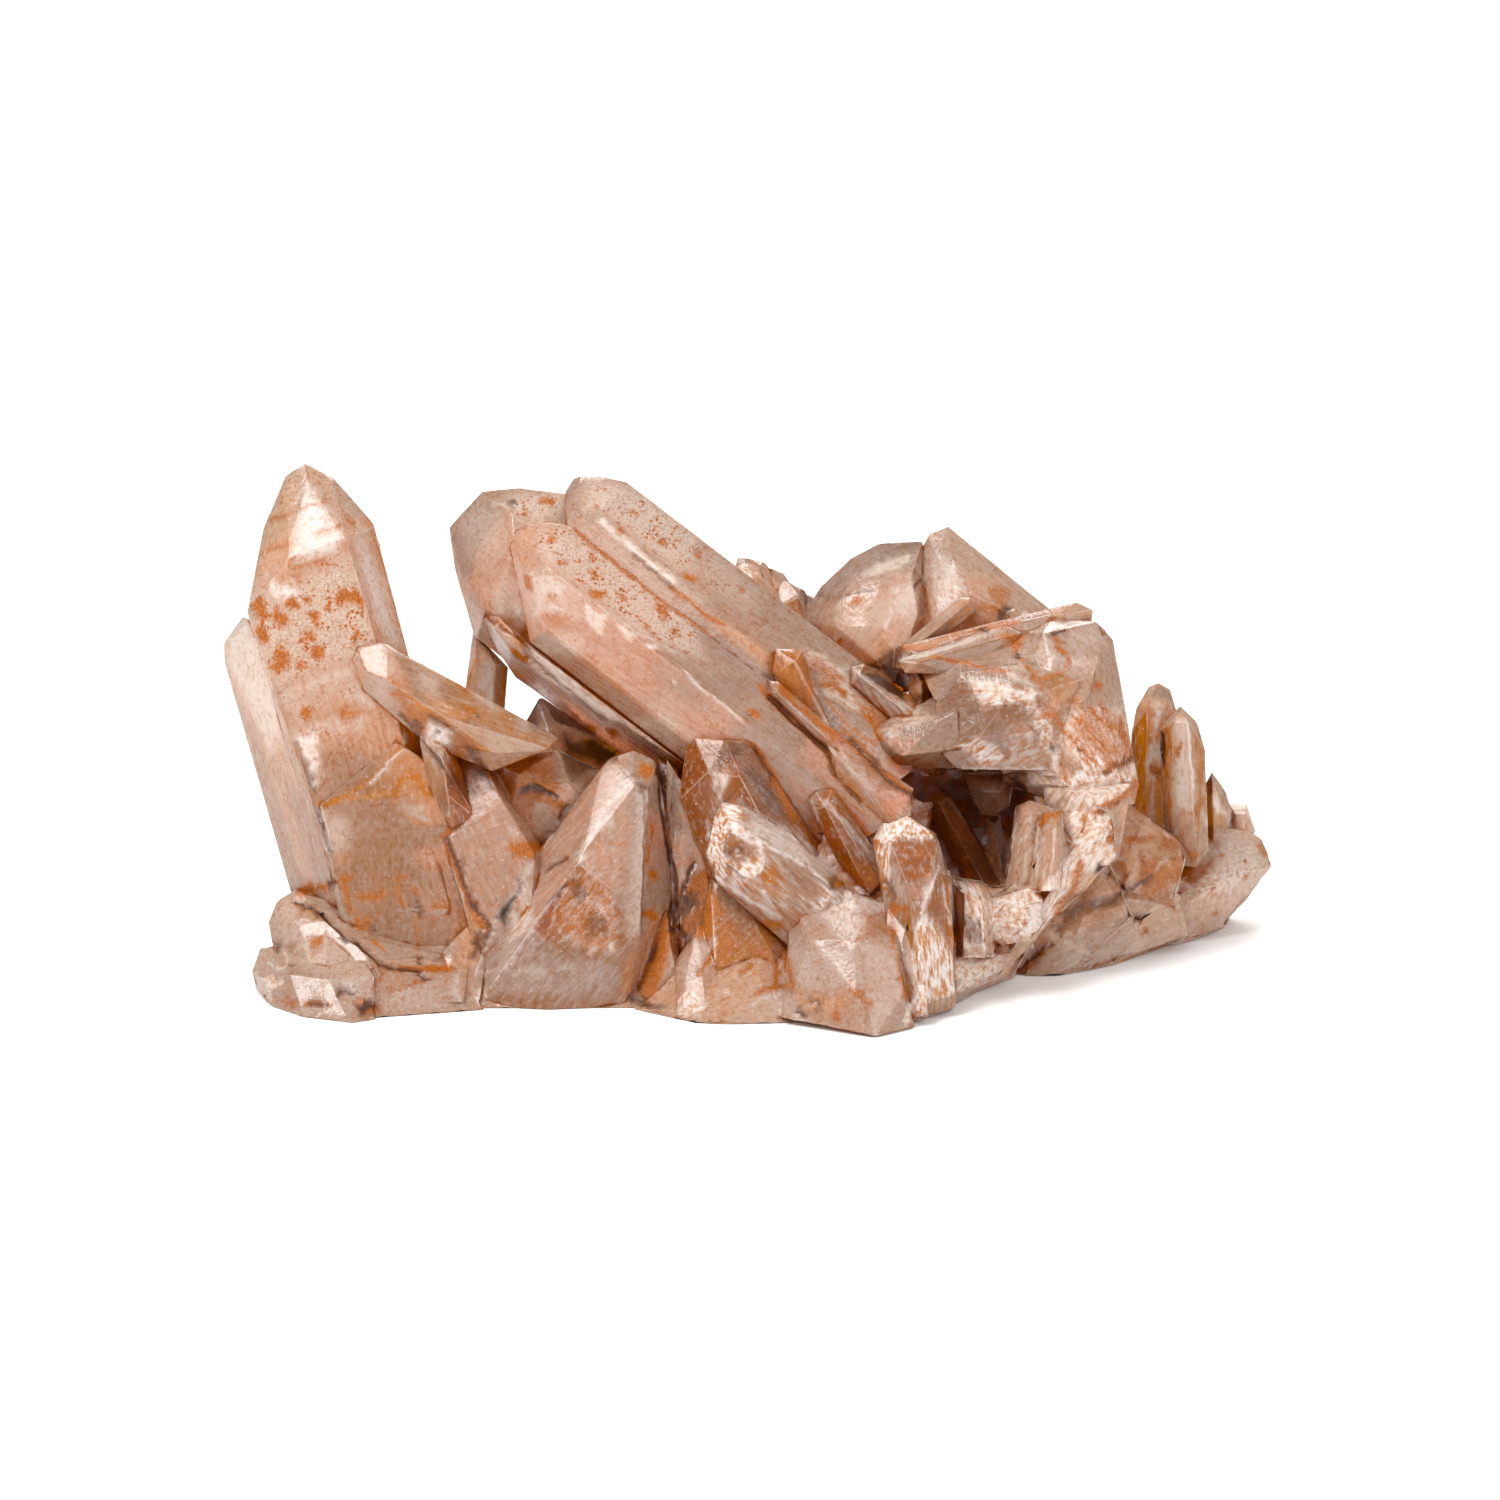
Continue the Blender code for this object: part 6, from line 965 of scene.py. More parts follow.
    ("rust", 0.7, 0.25, [(0.6, 5), (2, 5.6), (4.2, 5.8)], [(-1.2, 7.4), (-0.4, 8), (0.6, 9.6)]),
    ("rust", 0.7, 0.26, [(-9.4, 53.5), (-5, 49.9), (-3.4, 49.2)]),
    ("rust", 0.7, 0.3, [(4, 10), (4.5, 7.6), (5, 5.4)], [(3, 45.8), (2.9, 43.4), (5, 40.2)], [(6.9, 38.6),
     (9.4, 36.4), (12, 35.6)]),
    ("rust", 0.7, 0.6, [(-6.2, 57.4)]), ("rust", 0.7, 0.7, [(-9, 48.4)], [(0.2, 38.5), (1, 38.2)]),
    ("rust", 0.6, 0.22, [(12.2, 5.2), (14, 5)]), ("rust", 0.6, 0.3, [(9, 40), (12, 36.8), (15, 34.6)]),
    ("rust", 0.6, 0.4, [(10, 2.4), (10.6, 1.6)]), ("rust", 0.6, 0.8, [(-1, 53.2)]),
    ("rust", 0.5, 0.25, [(13, 11.2), (14.6, 14), (17.2, 15.6)]),
    ("dark", 1, 0.7, [(-7.8, 16), (-7.5, 15.7)]),
    ("dark", 0.9, 0.3, [(-9.3, 13.4), (-8.2, 14.8), (-6.2, 15.4)], [(-9.6, 12.4), (-8.5, 12.8), (-7.5, 11)],
     [(-9.4, 14), (-8.4, 16.2), (-6.6, 20.6)]),
    ("dark", 0.9, 0.5, [(5.8, 2.7), (6.4, 2.1)]),
    ("dark", 0.85, 0.24, [(2.2, 40.4), (5.2, 37.4), (9, 34.2)]),
    ("dark", 0.8, 0.24, [(14.8, 33), (16.4, 30.6), (18, 29.4)]),
    ("dark", 0.8, 0.25, [(15.9, 18.4), (17, 16.4)]),
    ("dark", 0.8, 0.26, [(11.9, 35.4), (14.6, 32.6), (17, 30), (19.8, 28.2)]),
    ("dark", 0.8, 0.3, [(20, 53.6), (20.4, 54.2)]), ("dark", 0.8, 0.6, [(20.2, 40.1), (20.8, 40.2)]),
    ("dark", 0.7, 0.35, [(0, 38.2)]),
    ("dark", 0.7, 0.4, [(10.2, 18.6), (10, 17.9)], [(13.6, 43.4), (15.8, 44.8), (17.8, 46.4)]),
    ("dark", 0.7, 0.5, [(-2.8, 22), (-2.5, 21.6)]),
    ("dark", 0.6, 0.2, [(0.4, 34.4), (2.8, 30.4)], [(9, 34.6), (9.9, 31.4), (13.4, 27.4)]),
    ("dark", 0.6, 0.25, [(-4.8, 19.6), (-4.6, 17.6)], [(-2.4, 19.8), (-1.2, 18.6)]),
    ("dark", 0.6, 0.3, [(-1.8, 22.6), (-1.2, 21.4)]),
    ("dark", 0.5, 0.2, [(7.6, 52.6), (10.4, 52.2), (15, 53.4)]),
    ("dark", 0.5, 0.3, [(1.8, 43.2), (2.8, 42.6)], [(15.4, 58.9), (18, 58.4), (20.4, 58.9)]),
    ("dark", 0.5, 0.4, [(7.2, 4), (8.4, 3.6)]),
    # Right plates, pocket, foot, needle and spear
    ("white", 0.8, 0.2, [(38.6, 36.8), (42.4, 32.8)], [(40.4, 38), (44.4, 34.8)]),
    ("white", 0.8, 0.25, [(22.9, 20), (20.5, 14.5), (21, 12.8)], [(43.6, 38.4), (45.4, 36)], [(40.2, 30.8),
     (42.2, 28.4)], [(42.4, 31), (44.8, 29.4)], [(25.4, 17.6), (26, 14.8)], [(26.6, 17.8), (27.6, 14.4)]),
    ("white", 0.8, 0.3, [(26.6, 42), (29.6, 42.1)]),
    ("white", 0.8, 0.4, [(30.4, 16), (31.6, 16.6)], [(32, 15.8), (33.2, 16.6)]),
    ("white", 0.8, 0.5, [(33, 50.5), (33.4, 50.2)]), ("white", 0.7, 0.2, [(52.5, 37.2), (53.2, 29.4)]),
    ("white", 0.7, 0.25, [(38.4, 30.6), (40.8, 28)], [(34.4, 25), (34.2, 19)]),
    ("white", 0.7, 0.3, [(30.6, 41), (34.4, 40.8)], [(31, 12), (30.6, 10.2)]),
    ("white", 0.6, 0.22, [(23.3, 18), (24.2, 13)], [(36.6, 24.8), (36.2, 18.6)], [(31.9, 26.8),
     (30.8, 19)]),
    ("pale", 0.8, 0.28, [(24.8, 31.6), (30, 31.5), (35.4, 31.7)]),
    ("pale", 0.6, 0.25, [(38.4, 45.2), (39.4, 44.4)], [(31, 43.4), (35, 40.8)], [(48.4, 30.8),
     (48.2, 25.2)], [(54.2, 26.4), (55.2, 24.2)]),
    ("pale", 0.5, 0.2, [(23.8, 28.2), (30.2, 20.2)]),
    ("pale", 0.5, 0.3, [(45, 15.2), (48.4, 19.2), (50.4, 21.4)]),
    ("pale", 0.45, 0.2, [(22.4, 27), (23.6, 19.2)]),
    ("tan", 0.9, 0.35, [(46, 36), (47.4, 40.4), (49, 42.2), (51.2, 40.6)]),
    ("tan", 0.6, 0.3, [(60.6, 23.2), (62.8, 20.2)]),
    ("amber", 0.9, 0.35, [(49.2, 36.6), (49.8, 33), (50.3, 28.6), (50.8, 27)]),
    ("amber", 0.8, 0.3, [(27.8, 18.2), (28.9, 15.2)]),
    ("amber", 0.8, 0.35, [(22.4, 50.2), (26.2, 52), (26.6, 50.8), (24.4, 49.6)], [(37.3, 26.2), (37, 22),
     (36.6, 18.8)], [(28, 18), (30.4, 17.6)]),
    ("amber", 0.8, 0.4, [(24, 18), (24, 14.4), (24.8, 10.6)]),
    ("amber", 0.7, 0.3, [(25.7, 30.8), (26.4, 28.6), (27.8, 26.2), (29.8, 26.2), (31.2, 29.2)]),
    ("rust", 1, 0.5, [(42.8, 31.3), (44.4, 32.2), (46.4, 33.5)]),
    ("rust", 1, 0.55, [(41.4, 26.7), (44.2, 28), (46.6, 30)]),
    ("rust", 0.9, 0.4, [(44.6, 37.2), (46, 33.6)]), ("rust", 0.9, 0.9, [(48.4, 31.8), (48.9, 31.4)]),
    ("rust", 0.85, 0.35, [(36.4, 47.8), (37.6, 45.6)]),
    ("rust", 0.85, 0.4, [(29.8, 47.8), (31.4, 47.4), (32.4, 47.6)]),
    ("rust", 0.8, 0.22, [(39, 38), (43.2, 33.8)], [(40.8, 39), (45, 35.8)]),
    ("rust", 0.8, 0.25, [(37.2, 36.6), (41.2, 32.6)]),
    ("rust", 0.8, 0.3, [(28, 48.4), (32, 49.4)], [(35.2, 42.6), (37.4, 43.2), (38.4, 45.2)]),
    ("rust", 0.8, 0.4, [(35.2, 38.2), (36.4, 38), (37.8, 36.6)], [(34.6, 25), (35.6, 26.4), (37.2, 26.4)]),
    ("rust", 0.8, 0.5, [(40, 20.4), (39, 17), (36.8, 13.6)], [(56.6, 21.6)], [(45.4, 23.4), (48.4, 23.6)]),
    ("rust", 0.8, 0.6, [(22.2, 30.8), (23, 28.6)], [(47.7, 12.2)], [(54.9, 29.8), (55.2, 29)]),
    ("rust", 0.7, 0.22, [(39.8, 36), (42, 34.4)], [(42, 39.4), (43.4, 38.6)]),
    ("rust", 0.7, 0.25, [(32.6, 45), (35.2, 41.4)]),
    ("rust", 0.7, 0.3, [(32.4, 13.4), (33.6, 13)], [(50.6, 15.8), (50.8, 15)]),
    ("rust", 0.7, 0.35, [(51.6, 34.6), (51.2, 33.4)]),
    ("rust", 0.7, 0.4, [(30.4, 10.8), (30.6, 10.2)], [(51.6, 18.7)], [(59.8, 18.4)]),
    ("rust", 0.7, 0.5, [(41.2, 41.6), (42, 41.9)], [(43.4, 23.2), (44.2, 24.2)], [(40.2, 26.4),
     (40, 24.6)]),
    ("rust", 0.6, 0.25, [(26, 17), (26.8, 14.6)]),
    ("rust", 0.6, 0.4, [(23, 28.6), (21.6, 26)], [(51, 21.1), (54, 21.3)], [(56, 14.2)], [(53.4, 26.6),
     (54.4, 28)]),
    ("rust", 0.5, 0.3, [(52, 26.3), (53, 26.4)]), ("rust", 0.5, 0.5, [(61.4, 22.6), (62, 21.8)]),
    ("dark", 1, 0.3, [(49.4, 36), (49.5, 33.6), (49.6, 32.4)]),
    ("dark", 1, 0.7, [(31.6, 30.4), (32.6, 28.8)]), ("dark", 1, 0.8, [(42.6, 19.6), (42.9, 19.2)]),
    ("dark", 0.9, 0.3, [(24.4, 31.2), (27.4, 31), (33, 31)]),
    ("dark", 0.9, 0.4, [(30, 49.8), (30.4, 50.8), (31.2, 51.2)]),
    ("dark", 0.8, 0.3, [(45.6, 14.3), (46.4, 14), (46.9, 14.1)]),
    ("dark", 0.8, 0.4, [(36.4, 48.1), (37.8, 48.4)]),
    ("dark", 0.8, 0.5, [(32.2, 45.3), (32.5, 45.6)], [(36.2, 34.5), (36.5, 34)], [(30.8, 22), (30.4, 19)]),
    ("dark", 0.8, 0.6, [(38.6, 14.6), (39.6, 15.4)]), ("dark", 0.7, 0.22, [(42.9, 31.2), (46.2, 33.2)]),
    ("dark", 0.7, 0.3, [(22.6, 31.4), (25, 31.5)], [(27.8, 48.6), (28.6, 48.2)], [(32.4, 8.6), (34, 9.8),
     (36.4, 11)], [(36.6, 13.4), (37.4, 11.8)]),
    ("dark", 0.7, 0.35, [(24.4, 18.2), (24.9, 17.8)]),
    ("dark", 0.7, 0.4, [(26.9, 38.4)], [(24.4, 27.2), (27.6, 23.6), (29.6, 20.6)], [(41, 15.6), (45, 17.2),
     (47.6, 18.2)]),
    ("dark", 0.6, 0.22, [(41.6, 26.5), (44.4, 27.8)]),
    ("dark", 0.6, 0.3, [(35.8, 30.6), (36.6, 30.8)], [(25.4, 14.2), (26.4, 11)], [(27.4, 13.4),
     (28.2, 11)]),
    ("dark", 0.6, 0.4, [(47.2, 18), (48.4, 18.8)]), ("dark", 0.4, 0.3, [(57.2, 13), (59.4, 15.2)]),
)


class QuartzShape(bpy.types.PropertyGroup):
    """Sizes of the cluster's fine shape."""

    edge_wear: bpy.props.FloatProperty(
        name="Edge wear", description="Width of the worn strip along a crystal's edges",
        default=0.00016, unit="LENGTH",
    )
    grain: bpy.props.FloatProperty(
        name="Grain", description="Length of the smallest mesh edges, in seams and on broken faces",
        default=0.0007, unit="LENGTH",
    )
    roughness_depth: bpy.props.FloatProperty(
        name="Break depth", description="Depth of the pits on broken rock",
        default=0.0007, unit="LENGTH",
    )
    stain_width: bpy.props.FloatProperty(
        name="Stain width", description="How far the rust spreads from a seam",
        default=0.0022, unit="LENGTH",
    )


class QuartzColours(bpy.types.PropertyGroup):
    """How clear the quartz is, and what colour its depths take on."""

    clarity: bpy.props.FloatProperty(
        name="Clarity", description="How much light the clearest quartz lets through",
        default=0.54, min=0.0, max=1.0, subtype="FACTOR",
    )
    depths: bpy.props.FloatVectorProperty(
        name="Depths", description="Colour that light takes on inside the quartz", subtype="COLOR",
        size=4, default=(0.97, 0.66, 0.44, 1.0),
    )
    density: bpy.props.FloatProperty(
        name="Density", description="How strongly a metre of quartz takes light away",
        default=110.0, min=0.0,
    )


def cut_away(mesh, planes):
    """Takes off the convex mesh what lies in front of each (point, normal) plane."""
    for point, normal in planes:
        cut = bmesh.ops.bisect_plane(
            mesh,
            geom=mesh.verts[:] + mesh.edges[:] + mesh.faces[:],
            dist=1e-4,
            plane_co=point,
            plane_no=normal,
            clear_outer=True,
        )
        rim = [e for e in cut["geom_cut"] if isinstance(e, bmesh.types.BMEdge)]
        if rim:
            bmesh.ops.contextual_create(mesh, geom=rim)


def inside_planes(planes, centre):
    """The closed mesh of the space behind every (point, normal) plane round centre."""
    mesh = bmesh.new()
    bmesh.ops.create_cube(mesh, size=BLOCK, matrix=Matrix.Translation(centre))
    cut_away(mesh, planes)
    bmesh.ops.remove_doubles(mesh, verts=mesh.verts[:], dist=ONE_POINT)
    bmesh.ops.recalc_face_normals(mesh, faces=mesh.faces[:])
    return mesh


def wear_planes(mesh, wear, draw):
    """Planes that take the sharpness off each edge of a convex mesh, some edges more than others."""
    planes = []
    for edge in mesh.edges:
        if len(edge.link_faces) != 2:
            continue
        one, other = (face.normal for face in edge.link_faces)
        bend = one.angle(other, 0.0)
        if bend < math.radians(BLUNT) or edge.calc_length() < wear:
            continue
        normal = (one + other).normalized()
        depth = wear * math.tan(bend / 4) * draw.uniform(*UNEVEN_WEAR)
        if draw.random() < CHIPPED:
            depth *= CHIP
            normal = (normal + one * draw.uniform(-0.3, 0.3)).normalized()
        planes.append(((edge.verts[0].co + edge.verts[1].co) / 2 - normal * depth, normal))
    return planes


def face_groups(mesh):
    """The faces of a convex mesh, gathered where they turn less than SAME_FACE from the largest of them."""
    waiting = sorted(mesh.faces, key=lambda f: -f.calc_area())
    while waiting:
        first = waiting[0]
        group = [f for f in waiting if f.normal.angle(first.normal, 3.0) < math.radians(SAME_FACE)]
        waiting = [f for f in waiting if f not in group]
        yield group


def drawn_planes(w, corners):
    """The flat faces of a drawn crystal: the hull of its corners, with nearly level faces made one."""
    hull = bmesh.new()
    farther = (EYE + w) / EYE
    for u, v, d in corners:
        for side in (-d, d):
            hull.verts.new((u * farther, EYE_HEIGHT + (v - EYE_HEIGHT) * farther, w + side))
    made = bmesh.ops.convex_hull(hull, input=hull.verts[:])
    spare = [v for v in made["geom_interior"] if isinstance(v, bmesh.types.BMVert)]
    bmesh.ops.delete(hull, geom=spare, context="VERTS")
    bmesh.ops.recalc_face_normals(hull, faces=hull.faces[:])
    planes = []
    for group in face_groups(hull):
        area = sum(f.calc_area() for f in group)
        normal = sum((f.normal * f.calc_area() for f in group), Vector()).normalized()
        point = sum((f.calc_center_median() * f.calc_area() for f in group), Vector()) / area
        planes.append((point, normal))
    points = [v.co.copy() for v in hull.verts]
    centre = sum(points, Vector()) / len(points)
    hull.free()
    spans = [((a - b).length, i, j) for i, a in enumerate(points) for j, b in enumerate(points[:i])]
    _, one, other = max(spans)
    return planes, centre, (points[one] - points[other]).normalized()


def grown_planes(tip, foot, side, turn):
    """The faces of a six-sided crystal: prism faces round its axis and sloping faces that close the tip."""
    tip, foot = Vector(tip), Vector(foot)
    axis = (tip - foot).normalized()
    front = Vector((0, 0, -1))
    front = (front - axis * front.dot(axis)).normalized()
    right = front.cross(axis)
    middle = (tip + foot) / 2
    planes = [(foot, -axis)]
    for k, step in enumerate(TIP_STEPS):
        turned = math.radians(turn + 60 * k)
        outward = front * math.cos(turned) + right * math.sin(turned)
        for slope, point in ((TAPER, middle + outward * side), (TIP_SLOPE, tip + axis * step * side / 5)):
            slope = math.radians(slope)
            planes.append((point, outward * math.cos(slope) + axis * math.sin(slope)))
    return planes, middle, axis


def lump_planes(centre, radii, count, seed):
    """The faces of a lump of massive quartz: flats in even directions, at uneven distances."""
    golden = math.pi * (3 - math.sqrt(5))
    planes = []
    for k in range(count):
        height = 1 - 2 * (k + 0.5) / count
        ring = math.sqrt(1 - height * height)
        turned = golden * k + seed
        normal = Vector((ring * math.cos(turned), height, ring * math.sin(turned)))
        reach = math.sqrt(sum((n * r) ** 2 for n, r in zip(normal, radii)))
        uneven = 0.9 + 0.1 * math.sin(7.3 * k * seed)
        planes.append((Vector(centre) + normal * reach * uneven, normal))
    return planes, Vector(centre), Vector((0, 1, 0))


def crystals():
    """(name, planes, centre, axis) of every crystal and lump, in the drawing."""
    for table, planes_of in ((DRAWN, drawn_planes), (GROWN, grown_planes), (LUMPS, lump_planes)):
        for name, row in table.items():
            yield (name, *planes_of(*row))


def in_world(place):
    """A place in the drawing, in millimetres, as a place in the standing cluster, in metres."""
    tilt = math.radians(DRAWING_TILT)
    x, up, away = place
    return Vector((
        (x - MIDDLE[0]) * MM,
        (up * math.sin(tilt) + away * math.cos(tilt) - MIDDLE[1]) * MM,
        (up * math.cos(tilt) - away * math.sin(tilt) + DRAWING_LIFT) * MM,
    ))


def turned_to_world(direction):
    """A direction in the drawing as one in the world."""
    return (in_world(direction) - in_world(Vector())).normalized()


def mesh_object(name, mesh, collection):
    """An object that holds the mesh, which is freed."""
    data = bpy.data.meshes.new(name)
    mesh.to_mesh(data)
    mesh.free()
    made = bpy.data.objects.new(name, data)
    collection.objects.link(made)
    return made


def worn_crystal(name, planes, centre, axis, wear, number):
    """One crystal with worn edges, in the world, with its finish written on its faces."""
    mesh = inside_planes(planes, centre)
    draw = random.Random(number)
    cut_away(mesh, wear_planes(mesh, wear / MM, draw))
    bmesh.ops.remove_doubles(mesh, verts=mesh.verts[:], dist=ONE_POINT)
    for v in mesh.verts:
        v.co = in_world(v.co)
    bmesh.ops.recalc_face_normals(mesh, faces=mesh.faces[:])
    flats = [turned_to_world(normal) for _, normal in planes]
    # A random lightness for each flat, which the material paints on as reflections that differ from facet to
    # facet
    tints = [draw.random() for _ in planes]
    rough, warmth, frost, specks = FINISH.get(name, PLAIN)
    facet = mesh.faces.layers.float.new("facet")
    looks = mesh.faces.layers.float_color.new("looks")
    along = mesh.faces.layers.float_vector.new("crystal_axis")
    specked = mesh.faces.layers.float.new("specked")
    crest = mesh.faces.layers.float.new("crest")
    for face in mesh.faces:
        k = max(range(len(flats)), key=lambda i: flats[i].dot(face.normal))
        face[facet] = tints[k]
        # Worn strips, which the material paints lighter: chipped wear and a painted highlight along the edge
        face[crest] = float(flats[k].dot(face.normal) < CREST)
        face[looks] = (rough, warmth, frost, 1.0)
        face[specked] = specks
        face[along] = turned_to_world(axis)
    return mesh


def combine(body, operation, **others):
    """Joins other objects to the body, or takes them away from it, with a Boolean modifier."""
    modifier = body.modifiers.new(operation, "BOOLEAN")
    modifier.operation = operation
    modifier.solver = "EXACT"
    for name, value in others.items():
        setattr(modifier, name, value)


def grown_together(wear):
    """One mesh of all the crystals and lumps, without what lies below the floor."""
    helpers = bpy.data.collections.new("crystals")
    bpy.context.scene.collection.children.link(helpers)
    for number, (name, planes, centre, axis) in enumerate(crystals()):
        mesh_object(name, worn_crystal(name, planes, centre, axis, wear, number), helpers)
    rest = list(helpers.objects)
    body = rest[0]
    helpers.objects.unlink(body)
    bpy.context.scene.collection.objects.link(body)
    ground = bmesh.new()
    bmesh.ops.create_cube(ground, size=1.0, matrix=Matrix.Translation((0, 0, -0.5)))
    ground = mesh_object("ground", ground, bpy.context.scene.collection)
    combine(body, "UNION", operand_type="COLLECTION", collection=helpers)
    combine(body, "DIFFERENCE", object=ground)
    bpy.context.view_layer.update()
    whole = bmesh.new()
    whole.from_object(body, bpy.context.evaluated_depsgraph_get())
    for helper in rest + [ground]:
        bpy.data.objects.remove(helper)
    bpy.data.collections.remove(helpers)
    return whole


def shells(mesh):
    """The separate closed surfaces of a mesh, as lists of faces."""
    left = set(mesh.faces)
    while left:
        shell, edge = [], [left.pop()]
        while edge:
            face = edge.pop()
            shell.append(face)
            for side in face.edges:
                for other in side.link_faces:
                    if other in left:
                        left.remove(other)
                        edge.append(other)
        yield shell


def keep_outside(mesh):
    """Fills the pockets that nothing reaches."""
    bmesh.ops.remove_doubles(mesh, verts=mesh.verts[:], dist=WELD * MM)
    outside = set(max(shells(mesh), key=len))
    bmesh.ops.delete(mesh, geom=[f for f in mesh.faces if f not in outside], context="FACES")


def tree_of(points):
    """A search tree of the points."""
    tree = KDTree(len(points))
    for k, point in enumerate(points):
        tree.insert(point, k)
    tree.balance()
    return tree


def along_line(points, spacing):
    """Places at even steps along a line through the points."""
    for a, b in zip(points, points[1:]):
        steps = max(1, math.ceil(math.dist(a, b) / spacing))
        for k in range(steps):
            yield Vector((*a, 0)).lerp(Vector((*b, 0)), (k + 0.5) / steps)


def strokes():
    """(finish, strength, width, points) of every stroke. A dot is a line that goes nowhere."""
    for kind, strength, width, *lines in STROKES:
        for points in lines:
            yield kind, strength, width, points if len(points) > 1 else points * 2


def outlines():
    """(finish, strength, points) of every patch, with its outline closed."""
    for kind, strength, *points in PATCHES:
        yield kind, strength, points + points[:1]


def seam_points(mesh, spacing):
    """A search tree of points along the seams, where two crystals meet in a hollow edge."""
    points = []
    for edge in mesh.edges:
        if edge.calc_face_angle_signed(0.0) < math.radians(-SEAM_BEND):
            a, b = (v.co for v in edge.verts)
            steps = max(1, int(edge.calc_length() / spacing))
            points += [a.lerp(b, (k + 0.5) / steps) for k in range(steps)]
    return tree_of(points)


def on_drawing(places):
    """Where places in the world, an array in metres, show in the drawing."""
    tilt = math.radians(DRAWING_TILT)
    x = places[:, 0] / MM + MIDDLE[0]
    y = places[:, 1] / MM + MIDDLE[1]
    z = places[:, 2] / MM - DRAWING_LIFT
    farther = 1 + (y * math.cos(tilt) - z * math.sin(tilt)) / EYE
    up = y * math.sin(tilt) + z * math.cos(tilt)
    return np.stack([x / farther, EYE_HEIGHT + (up - EYE_HEIGHT) / farther], axis=1)


def in_sight(tree, places, facing):
    """Whether each place can be seen from the drawing's eye, where its surface faces it."""
    eye = in_world((0.0, EYE_HEIGHT, -EYE))
    seen = np.zeros(len(places), bool)
    for k, (place, normal) in enumerate(zip(places, facing)):
        to_eye = (eye - place).normalized()
        if normal.dot(to_eye) > EDGE_ON:
            seen[k] = tree.ray_cast(place + to_eye * CLEAR_OF_FACE, to_eye)[0] is None
    return seen


def too_long(mesh, whole, seams, grain, drawn_lines, drawn_outlines, settled):
    """The edges that still have to be split. The others are marked as settled."""
    looks = mesh.faces.layers.float_color["looks"]
    found, asked = [], []
    for edge in mesh.edges:
        if edge[settled]:
            continue
        length = edge.calc_length()
        middle = (edge.verts[0].co + edge.verts[1].co) / 2
        rough = max(face[looks][0] for face in edge.link_faces)
        wanted = grain * (2.0 + 5.0 * (1 - rough))
        wanted = min(wanted, grain * 2.0 + 0.9 * seams.find(middle)[2])
        if length > wanted:
            found.append(edge)
        elif length > FINEST * MM:
            asked.append((edge, length, middle))
        else:
            edge[settled] = 1
    spots = on_drawing(np.array([row[2] for row in asked]).reshape(-1, 3))
    for (edge, length, middle), spot in zip(asked, spots):
        spot = Vector((*spot, 0))
        wanted = min(FINEST + 1.3 * drawn_lines.find(spot)[2], 2 * FINEST + drawn_outlines.find(spot)[2])
        if length > wanted * MM and in_sight(whole, [middle], [edge.link_faces[0].normal])[0]:
            found.append(edge)
        else:
            edge[settled] = 1
    return found


def refine(mesh, seams, grain):
    """Splits long edges until they are short in seams, on broken faces and along what is drawn in front."""
    whole = BVHTree.FromBMesh(mesh)
    drawn_lines = tree_of([p for *_, points in strokes() for p in along_line(points, 0.15)])
    drawn_outlines = tree_of([p for *_, points in outlines() for p in along_line(points, 0.2)])
    settled = mesh.edges.layers.int.new("settled")
    for _ in range(SPLITS):
        bmesh.ops.triangulate(mesh, faces=[f for f in mesh.faces if len(f.verts) > 3])
        long_edges = too_long(mesh, whole, seams, grain, drawn_lines, drawn_outlines, settled)
        if not long_edges:
            break
        bmesh.ops.subdivide_edges(mesh, edges=long_edges, cuts=1, use_grid_fill=True)
    bmesh.ops.triangulate(mesh, faces=[f for f in mesh.faces if len(f.verts) > 3])
    mesh.edges.layers.int.remove(settled)


def gap_to_line(spots, points):
    """How far each spot lies from a line through the points."""
    least = np.full(len(spots), 1e9)
    for a, b in zip(points, points[1:]):
        a, b = np.array(a), np.array(b)
        along = np.clip(((spots - a) @ (b - a)) / max((b - a) @ (b - a), 1e-9), 0, 1)
        least = np.minimum(least, np.linalg.norm(spots - a - along[:, None] * (b - a), axis=1))
    return least


def depth_inside(spots, gap, outline):
    """How deep each spot lies inside the closed outline, or below nothing how far outside."""
    inside = np.zeros(len(spots), bool)
    u, v = spots[:, 0], spots[:, 1]
    for (u0, v0), (u1, v1) in zip(outline, outline[1:]):
        crossed = (v0 > v) != (v1 > v)
        inside ^= crossed & (u < (u1 - u0) * (v - v0) / ((v1 - v0) or 1e-9) + u0)
    return np.where(inside, gap, -gap)


def drawn_over(mesh):
    """How much of each finish that is drawn on the front lies on each point of the mesh."""
    mesh.normal_update()
    places = [v.co for v in mesh.verts]
    seen = in_sight(BVHTree.FromBMesh(mesh), places, [v.normal for v in mesh.verts])
    noise.seed_set(NOISE_SEED)
    jitter = np.array([noise.noise_vector(p / MM * 0.8) for p in places])[:, :2]
    spots = on_drawing(np.array(places)) + jitter * RAGGED
    spots[~seen] = 1e6
    painted = {kind: np.zeros(len(places)) for kind in KINDS}

    def lay_on(kind, strength, points, reach, amount_at):
        low = np.min(points, axis=0) - reach
        high = np.max(points, axis=0) + reach
        near = np.flatnonzero((spots > low).all(axis=1) & (spots < high).all(axis=1))
        if len(near):
            amount = np.clip(amount_at(spots[near], gap_to_line(spots[near], points)), 0, 1)
            painted[kind][near] = np.maximum(painted[kind][near], amount * strength ** 0.75)

    for kind, strength, outline in outlines():
        edge = SOFT_EDGE if kind in SOFT_KINDS else PATCH_EDGE
        lay_on(kind, strength, outline, REACH, lambda at, gap: 0.5 + depth_inside(at, gap, outline) / edge)
    for kind, strength, width, points in strokes():
        core = width * (0.3 if kind in THIN_KINDS else 0.5)
        lay_on(kind, strength, points, REACH + width, lambda at, gap: 1.0 - (gap - core) / STROKE_EDGE)
    return painted


